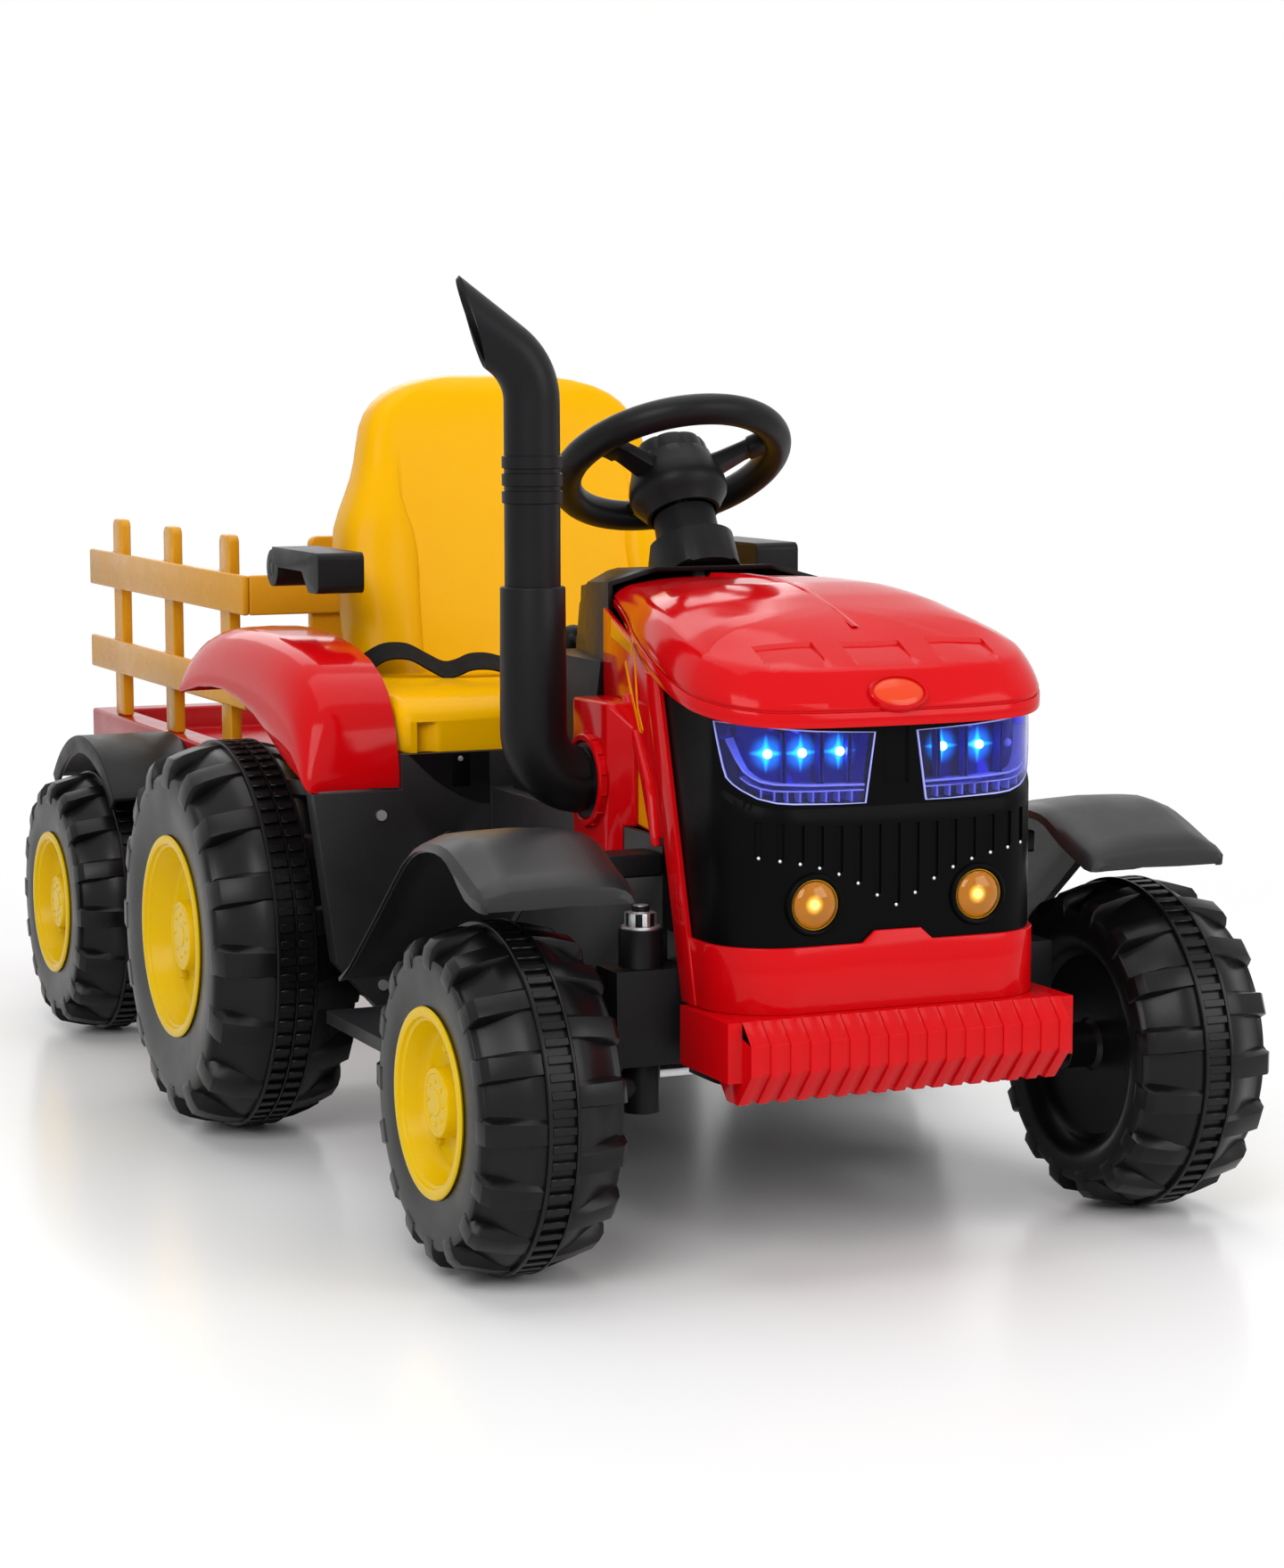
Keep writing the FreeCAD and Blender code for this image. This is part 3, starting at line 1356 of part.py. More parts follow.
def make_stack(x, y):
    low = sizes.elbow_top
    bend = stack_bend_level()
    over = sizes.overrun
    shape = pipe(x, y, low, sizes.stack_radius)
    for number in range(int(float(sizes.stack_ring_count))):
        level = bend - sizes.stack_ring_drop + sizes.stack_ring_pitch * number
        shape = shape.fuse(Part.makeCylinder(float(sizes.stack_radius + sizes.stack_ring),
                                             float(sizes.stack_ring_width), point(x, y, level)))
    shape = shape.cut(pipe(x, y, low - over, sizes.stack_radius - sizes.stack_wall))
    mouth = x - sizes.stack_slash_top
    reach = mouth - sizes.elbow_bend
    top = bend + sizes.stack_rise
    depth = sizes.stack_radius * 2 + over
    near = y - depth / 2
    slope = (sizes.stack_slash_top - sizes.stack_slash_low) / (sizes.stack_rise - sizes.stack_slash_rise)
    outside = [point(mouth, near, top), point(mouth + slope * sizes.stack_rise, near, bend),
               point(reach, near, bend), point(reach, near, top + sizes.stack_tip),
               point(x, near, top + sizes.stack_tip), point(x, near, top)]
    face = Part.Face(Part.makePolygon(outside + outside[:1]))
    slash = face.extrude(Vector(0, float(depth), 0))
    piece("exhaust_stack", modelled("ExhaustStack", shape.cut(slash).removeSplitter()))


# Fenders, as arched shells

def curve_through(spots):
    spline = Part.BSplineCurve()
    spline.interpolate(spots)
    return spline.toShape()


def fender_block(x_low, x_high, start, length, base, rise, crest_shares, edge_shares, lower, inset):
    """A block under a fender's crest curve and above its edge curve, seen from the side and pulled across."""
    span = length - inset * 2
    crest = [point(x_low, start + inset + span * along, base + rise * up - lower)
             for along, up in crest_shares]
    edge = [point(x_low, start + inset + span * along, base + rise * up - lower) for along, up in edge_shares]
    outline = Part.Wire([curve_through(crest), Part.LineSegment(crest[-1], edge[0]).toShape(),
                         curve_through(edge), Part.LineSegment(edge[-1], crest[0]).toShape()])
    return Part.Face(outline).extrude(Vector(float(x_high - x_low), 0, 0))


def crest_edges(shape, x, rise_from):
    """The long curved edges of a fender block at one side, above a height."""
    near = float(sizes.run_gap)
    found = []
    for edge in shape.Edges:
        box_of = edge.BoundBox
        flat = abs(box_of.XMin - x) < near and abs(box_of.XMax - x) < near
        if flat and box_of.ZMax > rise_from and edge.Curve.TypeId == "Part::GeomBSplineCurve":
            found.append(edge)
    return found


def fender(name, inner, outer, start, length, base, rise, crest, edge, skirt, rounding):
    """A hollow arched fender: crest, skirts all round, open below."""
    wall = sizes.wall
    solid = fender_block(inner, outer, start, length, base, rise, crest, edge, ZERO, ZERO)
    high = float(base + rise) - float(skirt) / 2
    rounded = solid.makeFillet(float(rounding), crest_edges(solid, float(outer), high))
    room = fender_block(inner + wall, outer - wall, start, length, base, rise, crest, edge, wall, wall)
    softened = room.makeFillet(float(rounding - wall),
                               crest_edges(room, float(outer - wall), high - float(wall)))
    return modelled(name, rounded.cut(softened))


def make_fenders():
    length = sizes.front_fender_front + sizes.front_fender_rear
    shell = fender("FrontFenderShell", sizes.front_fender_inner, sizes.front_fender_outer,
                   ahead(sizes.front_fender_front), length, sizes.front_fender_base, sizes.front_fender_rise,
                   FRONT_CREST_SHARES, FRONT_EDGE_SHARES, sizes.front_fender_skirt, sizes.front_fender_round)
    arm_y = behind(sizes.fender_arm_front)
    arm = box("FenderArm", (sizes.tunnel_half, sizes.front_fender_inner + sizes.wall),
              (arm_y, arm_y + sizes.fender_arm_length),
              (sizes.fender_arm_base, sizes.fender_arm_base + sizes.fender_arm_thickness))
    left = piece("front_fender_left", fuse("FrontFenderLeft", shell, arm))
    piece("front_fender_right", mirrored("front_fender_right", left))
    length = sizes.rear_fender_rear - sizes.rear_fender_front
    left = fender("RearFenderLeft", sizes.rear_fender_inner, sizes.rear_fender_outer,
                  behind(sizes.rear_fender_front), length, sizes.wing_top, sizes.rear_fender_rise,
                  REAR_CREST_SHARES, REAR_EDGE_SHARES, sizes.rear_fender_skirt, sizes.rear_fender_round)
    piece("rear_fender_left", left)
    piece("rear_fender_right", mirrored("rear_fender_right", left))


# Seat with its belt, and the armrests hinged on it

def rounded_slab(front, rear, half, corner, level):
    """A level section of the seat back: a rectangle with rounded corners."""
    diagonal = corner * math.sqrt(0.5)
    near = front + corner
    far = rear - corner
    wide = half - corner
    arcs = [(Vector(wide, front, level), Vector(wide + diagonal, near - diagonal, level),
             Vector(half, near, level)),
            (Vector(half, far, level), Vector(wide + diagonal, far + diagonal, level),
             Vector(wide, rear, level)),
            (Vector(-wide, rear, level), Vector(-wide - diagonal, far + diagonal, level),
             Vector(-half, far, level)),
            (Vector(-half, near, level), Vector(-wide - diagonal, near - diagonal, level),
             Vector(-wide, front, level))]
    edges = []
    for number, (first, middle, last) in enumerate(arcs):
        edges.append(Part.Arc(first, middle, last).toShape())
        edges.append(Part.LineSegment(last, arcs[(number + 1) % len(arcs)][0]).toShape())
    return Part.Wire(edges)


def seat_back(inset, backward):
    """The leaning seat back, drawn in by an inset and moved backward."""
    rise = sizes.seat_back_top - sizes.seat_back_base
    sections = []
    for up, wide, thick in SEAT_BACK_SHARES:
        front = behind(sizes.seat_back_front) + sizes.seat_back_lean * up + backward
        depth = sizes.seat_back_thickness * thick
        half = sizes.seat_back_half * wide - inset
        level = sizes.seat_back_base + (rise - inset) * up
        sections.append(rounded_slab(float(front), float(front + depth), float(half),
                                     float(sizes.seat_back_corner * thick), float(level)))
    return Part.makeLoft(sections, True)


def make_seat():
    half = sizes.seat_half
    front = behind(sizes.seat_front)
    rear = behind(sizes.seat_rear)
    low = sizes.seat_box_top
    top = sizes.seat_cushion_top
    wall = sizes.seat_wall
    cushion = soften("SeatCushionSoft", box("SeatCushion", (-half, half), (front, rear), (low, top)),
                     sizes.seat_round,
                     lambda edge: edge.BoundBox.YMax < float(front) + float(wall)
                     and edge.BoundBox.ZMax > float(low) + float(wall))
    room = box("SeatRoom", (wall - half, half - wall), (front + wall, rear - wall),
               (low - sizes.overrun, top - wall))
    back = modelled("SeatBack", seat_back(ZERO, ZERO).cut(seat_back(wall, wall)))
    pivot = (behind(sizes.armrest_pivot_reach), sizes.armrest_pivot_height)
    root = sizes.armrest_inner - sizes.armrest_pin_root
    pins = [rod("ArmrestPinLeft", "X", sizes.armrest_pin_radius, (root, sizes.armrest_outer), pivot),
            rod("ArmrestPinRight", "X", sizes.armrest_pin_radius, (-sizes.armrest_outer, -root), pivot)]
    piece("seat", fuse("Seat", cut("SeatBase", cushion, room), back, *pins))


def belt_strap(side):
    """One strap lying on the seat in a loose wave; side is 1 left, -1 right."""
    start = sizes.buckle_length / 2 + sizes.fit_gap
    level = sizes.seat_cushion_top + sizes.fit_gap
    y = behind(sizes.belt_reach)
    under = []
    over = []
    for along, up in BELT_WAVE_SHARES:
        x = (start + sizes.belt_span * along) * side
        height = level + sizes.belt_wave * up
        under.append(point(x, y, height))
        over.append(point(x, y, height + sizes.belt_thickness))
    outline = Part.Wire([curve_through(under), Part.LineSegment(under[-1], over[-1]).toShape(),
                         curve_through(over[::-1]), Part.LineSegment(over[0], under[0]).toShape()])
    return Part.Face(outline).extrude(Vector(0, float(sizes.belt_width), 0))


def make_belt():
    y = behind(sizes.belt_reach) + sizes.belt_width / 2
    level = sizes.seat_cushion_top + sizes.fit_gap
    buckle = box("BeltBuckle", (-sizes.buckle_length / 2, sizes.buckle_length / 2),
                 (y - sizes.buckle_width / 2, y + sizes.buckle_width / 2),
                 (level, level + sizes.buckle_height))
    piece("seat_belt", group("SeatBelt", modelled("BeltLeft", belt_strap(1)),
                             modelled("BeltRight", belt_strap(-1)), buckle))


def make_armrests():
    front = behind(sizes.armrest_front)
    pivot = behind(sizes.armrest_pivot_reach)
    level = sizes.armrest_pivot_height
    top = sizes.armrest_top
    low = top - sizes.armrest_front_depth
    arch = top - sizes.armrest_arch
    nose = sizes.armrest_front_depth * ARMREST_NOSE_SHARE
    span = (sizes.armrest_inner, sizes.armrest_outer)
    pad_item = prism("ArmrestPad", "YZ_Plane", [
        (front, low), (front + nose, low), (front + nose + sizes.armrest_arch, arch), (pivot, arch),
        (pivot, top), (front, top)], span)
    soft = soften("ArmrestSoft", pad_item, sizes.armrest_round,
                  lambda edge: runs_along(edge, Vector(1, 0, 0))
                  and edge.BoundBox.YMax < float(front) + float(nose) / 2)
    eye = rod("ArmrestEye", "X", sizes.armrest_eye_radius, span, (pivot, level))
    bore = rod("ArmrestBore", "X", sizes.armrest_pin_radius + sizes.run_gap,
               (span[0] - sizes.overrun, span[1] + sizes.overrun), (pivot, level))
    left = piece("armrest_left", cut("ArmrestLeft", fuse("ArmrestSolid", soft, eye), bore))
    piece("armrest_right", mirrored("armrest_right", left))


# Front axle, knuckles and tie rod

def make_front_axle():
    side = sizes.kingpin_side
    span = (sizes.beam_base, sizes.beam_boss_top)
    beam = box("AxleBeam", (-sizes.beam_half, sizes.beam_half),
               (ahead(sizes.beam_front), behind(sizes.beam_rear)), (sizes.beam_base, sizes.beam_top))
    bosses = []
    bores = []
    for tag, x in (("Left", side), ("Right", -side)):
        bosses.append(rod("BeamBoss" + tag, "Z", sizes.beam_boss_radius, span, (x, AXLE)))
        bores.append(rod("BeamBore" + tag, "Z", sizes.kingpin_radius + sizes.run_gap,
                         (span[0] - sizes.overrun, span[1] + sizes.overrun), (x, AXLE)))
    piece("front_axle_beam", cut("FrontAxleBeam", fuse("BeamSolid", beam, *bosses), *bores))


def make_knuckles():
    side = sizes.kingpin_side
    gap = sizes.fit_gap
    arm_top = sizes.arm_base + sizes.arm_thickness
    rod_top = arm_top + gap + sizes.tie_rod_thickness + gap
    eye = (side, behind(sizes.arm_length))
    centre = (AXLE, sizes.front_wheel_radius)
    boss_end = sizes.front_track_half - sizes.front_boss_reach
    knuckle = fuse(
        "KnuckleSolid",
        rod("KnuckleTube", "Z", sizes.knuckle_radius,
            (sizes.knuckle_base, sizes.beam_base - gap), (side, AXLE)),
        rod("Kingpin", "Z", sizes.kingpin_radius, (sizes.knuckle_base, sizes.kingpin_top), (side, AXLE)),
        rod("SpindleShoulder", "X", sizes.spindle_radius, (side, boss_end - gap), centre),
        rod("Spindle", "X", sizes.axle_radius, (side, sizes.spindle_end), centre),
        box("SteeringArm", (side - sizes.arm_half, side + sizes.arm_half),
            (AXLE, behind(sizes.arm_length) + sizes.arm_half), (sizes.arm_base, arm_top)),
        rod("ArmPin", "Z", sizes.arm_pin_radius, (sizes.arm_base, rod_top + sizes.arm_head_thickness), eye),
        rod("ArmPinHead", "Z", sizes.arm_pin_head, (rod_top, rod_top + sizes.arm_head_thickness), eye))
    seat = sizes.beam_boss_top + gap
    hole = rod("NutHole", "Z", sizes.kingpin_radius + sizes.run_gap,
               (seat - sizes.overrun, sizes.kingpin_top + sizes.overrun), (side, AXLE))
    washer = rod("Washer", "Z", sizes.washer_radius, (seat, seat + sizes.washer_thickness), (side, AXLE))
    nut = rod("KingpinNut", "Z", sizes.nut_radius,
              (seat + sizes.washer_thickness, seat + sizes.washer_thickness + sizes.nut_height), (side, AXLE))
    left = group("KnuckleLeft", knuckle, cut("WasherRing", washer, hole), cut("NutRing", nut, hole))
    piece("knuckle_left", left)
    piece("knuckle_right", mirrored("knuckle_right", left))


def make_tie_rod():
    low = sizes.arm_base + sizes.arm_thickness + sizes.fit_gap
    top = low + sizes.tie_rod_thickness
    y = behind(sizes.arm_length)
    depth = (y - sizes.tie_rod_depth_half, y + sizes.tie_rod_depth_half)
    bar = box("TieBar", (-sizes.tie_rod_half, sizes.tie_rod_half), depth, (low, top))
    slots = []
    for tag, x in (("Left", sizes.kingpin_side), ("Right", -sizes.kingpin_side)):
        slots.append(box("TieSlot" + tag, (x - sizes.tie_slot_half, x + sizes.tie_slot_half),
                         (y - sizes.tie_slot_front, y + sizes.tie_slot_rear),
                         (low - sizes.overrun, top + sizes.overrun)))
    inner = sizes.crank_half + sizes.fork_gap
    cheeks = [box("ForkLeft", (inner, inner + sizes.fork_cheek), depth, (low, sizes.fork_top)),
              box("ForkRight", (-inner - sizes.fork_cheek, -inner), depth, (low, sizes.fork_top))]
    piece("tie_rod", cut("TieRod", fuse("TieSolid", bar, *cheeks), *slots))


# Drive and electrics inside the seat box

def make_drive():
    half = sizes.seat_box_half
    wall = sizes.wall
    gap = sizes.fit_gap
    centre = (behind(sizes.wheelbase), sizes.rear_wheel_radius)
    floor = sizes.belly_height + sizes.belly_pan_thickness
    piece("rear_axle", rod("RearAxle", "X", sizes.axle_radius, (-sizes.axle_end, sizes.axle_end), centre))
    case = box("GearboxCase", (sizes.gearbox_inner, half - wall - gap),
               (behind(sizes.gearbox_front), behind(sizes.gearbox_rear)), (floor, sizes.gearbox_top))
    hub_end = sizes.rear_track_half - sizes.rear_boss_reach - gap
    hub = rod("GearboxHub", "X", sizes.output_radius, (sizes.gearbox_inner, hub_end), centre)
    bore = rod("GearboxBore", "X", sizes.axle_radius + sizes.run_gap,
               (sizes.gearbox_inner - sizes.overrun, hub_end + sizes.overrun), centre)
    left = cut("GearboxLeft", fuse("GearboxSolid", case, hub), bore)
    piece("gearboxes", group("Gearboxes", left, mirrored("GearboxRight", left)))
    motor = rod("MotorLeft", "X", sizes.motor_radius,
                (sizes.gearbox_inner - sizes.motor_length, sizes.gearbox_inner),
                (behind(sizes.motor_reach), sizes.motor_height))
    piece("drive_motors", group("DriveMotors", motor, mirrored("MotorRight", motor)))
    start = behind(sizes.battery_front)
    piece("battery", box("Battery", (-sizes.battery_length / 2, sizes.battery_length / 2),
                         (start, start + sizes.battery_depth), (floor, floor + sizes.battery_height)))
    spot = (-sizes.socket_side, sizes.socket_height)
    face = behind(sizes.seat_box_front)
    mouth = face - sizes.socket_flange_thickness
    socket = fuse("SocketSolid", rod("SocketFlange", "Y", sizes.socket_flange, (mouth, face), spot),
                  rod("SocketBarrel", "Y", sizes.socket_radius, (mouth, face + sizes.socket_depth), spot))
    piece("charge_socket", cut("ChargeSocket", socket,
                               rod("SocketBore", "Y", sizes.socket_bore,
                                   (mouth - sizes.overrun, face + sizes.socket_depth - sizes.wall), spot)))


def make_pedal():
    half = sizes.pedal_half
    thick = sizes.pedal_thickness / 2
    reach = half + sizes.fit_gap + sizes.pedal_ear
    plate = box("PedalPlate", (-half, half), (-sizes.pedal_length, ZERO), (-thick, thick))
    barrel = rod("PedalBarrel", "X", sizes.pedal_barrel_radius, (-half, half), (ZERO, ZERO))
    pin = rod("PedalPin", "X", sizes.pedal_pin_radius, (-reach, reach), (ZERO, ZERO))
    pedal = tilt(fuse("AcceleratorPedal", plate, barrel, pin), -sizes.pedal_rest_angle)
    place(pedal, -sizes.pedal_side, behind(sizes.pedal_pivot_reach), sizes.pedal_pivot_height)
    piece("accelerator_pedal", pedal)


# Tow hitch and trailer

def make_hitch():
    rear = behind(sizes.seat_box_rear)
    y = rear + sizes.tow_overhang
    level = sizes.tow_level
    top = level + sizes.tow_thickness
    half = sizes.tow_half
    plate = fuse("HitchSolid", box("HitchPlate", (-half, half), (rear, y), (level, top)),
                 rod("HitchEnd", "Z", half, (level, top), (ZERO, y)))
    piece("tow_hitch", cut("TowHitch", plate,
                           rod("HitchBore", "Z", sizes.tow_pin_radius + sizes.run_gap,
                               (level - sizes.overrun, top + sizes.overrun), (ZERO, y))))
    low = top + sizes.fit_gap
    bar_top = low + sizes.drawbar_thickness
    bar_half = sizes.drawbar_half
    end = behind(sizes.drawbar_rear)
    bar = fuse("Drawbar", box("DrawbarBeam", (-bar_half, bar_half), (y, end), (low, bar_top)),
               rod("DrawbarEye", "Z", bar_half, (low, bar_top), (ZERO, y)),
               rod("TowPin", "Z", sizes.tow_pin_radius, (level - sizes.tow_pin_grip, low), (ZERO, y)),
               box("DrawbarPad", (-sizes.drawbar_pad_half, sizes.drawbar_pad_half),
                   (behind(sizes.drawbar_pad_front), end), (bar_top, sizes.tray_base)))
    piece("trailer_drawbar", bar)


def make_tray():
    half = sizes.tray_half
    front = behind(sizes.tray_front)
    rear = behind(sizes.tail_reach)
    low = sizes.tray_base
    top = sizes.tray_top
    rim_width = sizes.tray_rim
    block = box("TrayBlock", (-half, half), (front, rear), (low, top))
    room = box("TrayRoom", (rim_width - half, half - rim_width), (front + rim_width, rear - rim_width),
               (low + sizes.tray_floor, top + sizes.overrun))
    piece("trailer_tray", cut("TrailerTray", block, room))
    rail = sizes.fence_rail_depth
    post = sizes.fence_post_depth
    gap = sizes.fit_gap
    rails = [(sizes.fence_upper_base, sizes.fence_upper_base + sizes.fence_upper_height),
             (sizes.fence_lower_base, sizes.fence_lower_base + sizes.fence_lower_height)]
    wide = sizes.fence_post_width / 2
    side = [box(f"SideRail{number}", (half - rail, half), (front, rear), span)
            for number, span in enumerate(rails)]
    first_post = behind(sizes.fence_first_post)
    post_gaps = 2
    pitch = (rear - sizes.fence_last_inset - first_post) / post_gaps
    for number in range(post_gaps + 1):
        y = first_post + pitch * number
        side.append(box(f"SidePost{number}", (half - rail - post, half - rail), (y - wide, y + wide),
                        (top, sizes.fence_top)))
    left = piece("trailer_fence_left", fuse("FenceLeft", *side))
    piece("trailer_fence_right", mirrored("trailer_fence_right", left))
    inner = half - rail - gap
    cross = [box(f"FrontRail{number}", (-inner, inner), (front, front + rail), span)
             for number, span in enumerate(rails)]
    for tag, x in (("Left", sizes.fence_front_post), ("Right", -sizes.fence_front_post)):
        cross.append(box("FrontPost" + tag, (x - wide, x + wide), (front + rail, front + rail + post),
                         (top, sizes.fence_top)))
    piece("trailer_fence_front", fuse("FenceFront", *cross))


def make_trailer_gear():
    y = behind(sizes.trailer_axle_reach)
    level = sizes.front_wheel_radius
    outer = sizes.trailer_track_half - sizes.front_boss_reach - sizes.fit_gap
    end = sizes.trailer_track_half + sizes.spindle_end - sizes.front_track_half
    half = sizes.axle_hanger_half
    left = box("HangerLeft", (outer - sizes.axle_hanger, outer), (y - half, y + half),
               (level - half / 2, sizes.tray_base))
    axle = rod("TrailerRod", "X", sizes.axle_radius, (-end, end), (y, level))
    piece("trailer_axle", fuse("TrailerAxle", axle, left, mirrored("HangerRight", left)))
    wall = sizes.wall
    radius = sizes.trailer_fender_radius
    reach = sizes.trailer_fender_outer
    body = new_body("TrailerFenderLeft")
    inner = sizes.tray_half
    revolve(body, "TrailerFenderArch", [
        (inner, radius - wall), (reach - wall, radius - wall),
        (reach - wall, radius - sizes.trailer_fender_skirt), (reach, radius - sizes.trailer_fender_skirt),
        (reach, radius), (inner, radius)], sizes.trailer_fender_angle * 2)
    body.Placement = Placement(Vector(), Rotation(Vector(1, 0, 0), 90))
    place(body, ZERO, y, level)
    piece("trailer_fenders", group("TrailerFenders", body, mirrored("TrailerFenderRight", body)))


def make_screws():
    face = behind(sizes.seat_box_front)
    screws = []
    for number, level in enumerate((sizes.wing_top, sizes.wing_mid)):
        for tag, side in (("Left", 1), ("Right", -1)):
            x = (sizes.wing_low_half + sizes.screw_radius) * side
            screws.append(rod(f"Screw{tag}{number}", "Y", sizes.screw_radius, (face - sizes.screw_head, face),
                              (x, level - sizes.screw_inset)))
    piece("body_screws", group("BodyScrews", *screws))


# Export

make_wheels()
make_chassis()
make_dash()
make_lever()
make_power_button()
make_steering()
make_hood()
make_grille()
make_lamps()
make_nose_frame()
make_bumper()
make_side_panels()
make_exhaust()
make_fenders()
make_seat()
make_belt()
make_armrests()
make_front_axle()
make_knuckles()
make_tie_rod()
make_drive()
make_pedal()
make_hitch()
make_tray()
make_trailer_gear()
make_screws()
doc.recompute()
for item in doc.Objects:
    if "Invalid" in item.State or "Error" in item.State:
        raise RuntimeError(f"{item.Name} failed: {item.State}")
for item in pieces:
    if item.Shape.isNull() or not item.Shape.isValid() or not item.Shape.Solids:
        raise RuntimeError(f"{item.Label} has no valid solid")
os.makedirs("parts", exist_ok=True)
for item in pieces:
    item.Shape.exportStep(f"parts/{item.Label}.step")
    bounds = item.Shape.BoundBox
    print(f"{item.Label:24} solids {len(item.Shape.Solids):2} volume {item.Shape.Volume / 1e3:9.1f} cm3 "
          f"x {bounds.XMin:7.1f} {bounds.XMax:7.1f} y {bounds.YMin:7.1f} {bounds.YMax:7.1f} "
          f"z {bounds.ZMin:6.1f} {bounds.ZMax:6.1f}")
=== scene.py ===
"""Looks of a ride-on tractor toy and its trailer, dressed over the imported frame."""

import logging
import math
from dataclasses import dataclass
from enum import Enum
from typing import Callable, Iterable, Optional, Sequence

import bmesh
import bpy
from bmesh.types import BMEdge, BMVert
from bpy.types import Material, Node, NodeSocket, NodeTree, Object
from mathutils import Matrix, Vector
from mathutils.geometry import interpolate_bezier


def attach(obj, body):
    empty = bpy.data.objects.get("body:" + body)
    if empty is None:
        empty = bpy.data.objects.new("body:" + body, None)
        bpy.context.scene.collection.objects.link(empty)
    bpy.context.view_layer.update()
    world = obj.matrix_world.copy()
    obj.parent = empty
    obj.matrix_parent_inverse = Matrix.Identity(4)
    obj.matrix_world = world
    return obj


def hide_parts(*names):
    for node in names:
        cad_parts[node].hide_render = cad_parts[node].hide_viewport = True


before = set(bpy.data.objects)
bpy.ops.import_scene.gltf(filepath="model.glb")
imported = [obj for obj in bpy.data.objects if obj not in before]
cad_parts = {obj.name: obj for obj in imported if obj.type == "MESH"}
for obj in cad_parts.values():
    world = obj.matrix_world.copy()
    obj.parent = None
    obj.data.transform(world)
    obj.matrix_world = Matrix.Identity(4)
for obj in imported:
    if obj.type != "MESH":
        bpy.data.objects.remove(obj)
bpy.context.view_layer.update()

LOG = logging.getLogger("tractor")
MM = 0.001
# The front axle's place along the frame's Y: pieces are drawn in mm behind that axle
AXLE_Y = -559.75
Point = tuple[float, float, float]
Flat = tuple[float, float]
Line = tuple[Point, ...]
FlatLine = tuple[Flat, ...]


# Colours and shader nodes

def linear(code: str) -> tuple[float, float, float, float]:
    """Turns an sRGB hex colour into linear light.

    Args:
        code: Six hex digits after a hash sign.

    Returns:
        Red, green, blue and a full alpha.
    """
    channels = [int(code[start:start + 2], 16) / 255 for start in (1, 3, 5)]
    bent = [c / 12.92 if c <= 0.04045 else ((c + 0.055) / 1.055) ** 2.4 for c in channels]
    return bent[0], bent[1], bent[2], 1


def per_mm(size: float) -> float:
    """Texture scale at which one feature is about that many millimetres wide."""
    return 1 / (size * MM)


def add_node(tree: NodeTree, kind: str, inputs: Optional[dict] = None, **settings) -> Node:
    """Adds one shader node, sets its options and fills or links its inputs.

    Args:
        tree: Node tree of the material or world.
        kind: Blender's name of the node type, after "ShaderNode".
        inputs: Values or output sockets by input name or number.
        **settings: Options of the node itself.

    Returns:
        The new node.
    """
    node = tree.nodes.new("ShaderNode" + kind)
    for name, value in settings.items():
        setattr(node, name, value)
    for name, value in (inputs or {}).items():
        if isinstance(value, NodeSocket):
            tree.links.new(value, node.inputs[name])
        else:
            node.inputs[name].default_value = value
    return node


def maths(tree: NodeTree, operation: str, *values) -> NodeSocket:
    """Adds one step of arithmetic on values or sockets, and gives its result."""
    return add_node(tree, "Math", dict(enumerate(values)), operation=operation).outputs[0]


def map_range(tree: NodeTree, value: NodeSocket, start: Flat, end: Flat, **settings) -> NodeSocket:
    """Maps one range of values to another, and gives the result."""
    return add_node(tree, "MapRange", {"Value": value, "From Min": start[0], "From Max": start[1],
                                       "To Min": end[0], "To Max": end[1]}, **settings).outputs["Result"]


def noise(tree: NodeTree, spot: NodeSocket, size: float, detail: float, roughness: float = 0.5) -> NodeSocket:
    """Adds cloudy noise whose features are about a size in mm, and gives its level."""
    return add_node(tree, "TexNoise", {"Vector": spot, "Scale": per_mm(size), "Detail": detail,
                                       "Roughness": roughness}).outputs["Fac"]


def bump(tree: NodeTree, height: NodeSocket, strength: float, depth_mm: float, **inputs) -> NodeSocket:
    """Adds relief from a level, and gives its normal."""
    return add_node(tree, "Bump", {"Height": height, "Strength": strength, "Distance": depth_mm * MM,
                                   **inputs}).outputs["Normal"]


def mixed(tree: NodeTree, share: NodeSocket, first: str, second: str) -> NodeSocket:
    """Blends two hex colours by a share, and gives the colour."""
    colours = {"Factor": share, 6: linear(first), 7: linear(second)}
    return add_node(tree, "Mix", colours, data_type="RGBA").outputs[2]


def new_material(name: str) -> tuple[Material, NodeTree, NodeSocket]:
    """Starts an empty material.

    Args:
        name: Name of the finish.

    Returns:
        The material, its node tree and its Object coordinates.
    """
    material = bpy.data.materials.new(name)
    material.use_nodes = True
    material.node_tree.nodes.clear()
    return material, material.node_tree, add_node(material.node_tree, "TexCoord").outputs["Object"]


def end_with(tree: NodeTree, shader: Node, kind: str = "Material") -> None:
    """Links the last shader of a material or world to its output."""
    tree.links.new(shader.outputs[0], add_node(tree, "Output" + kind).inputs["Surface"])


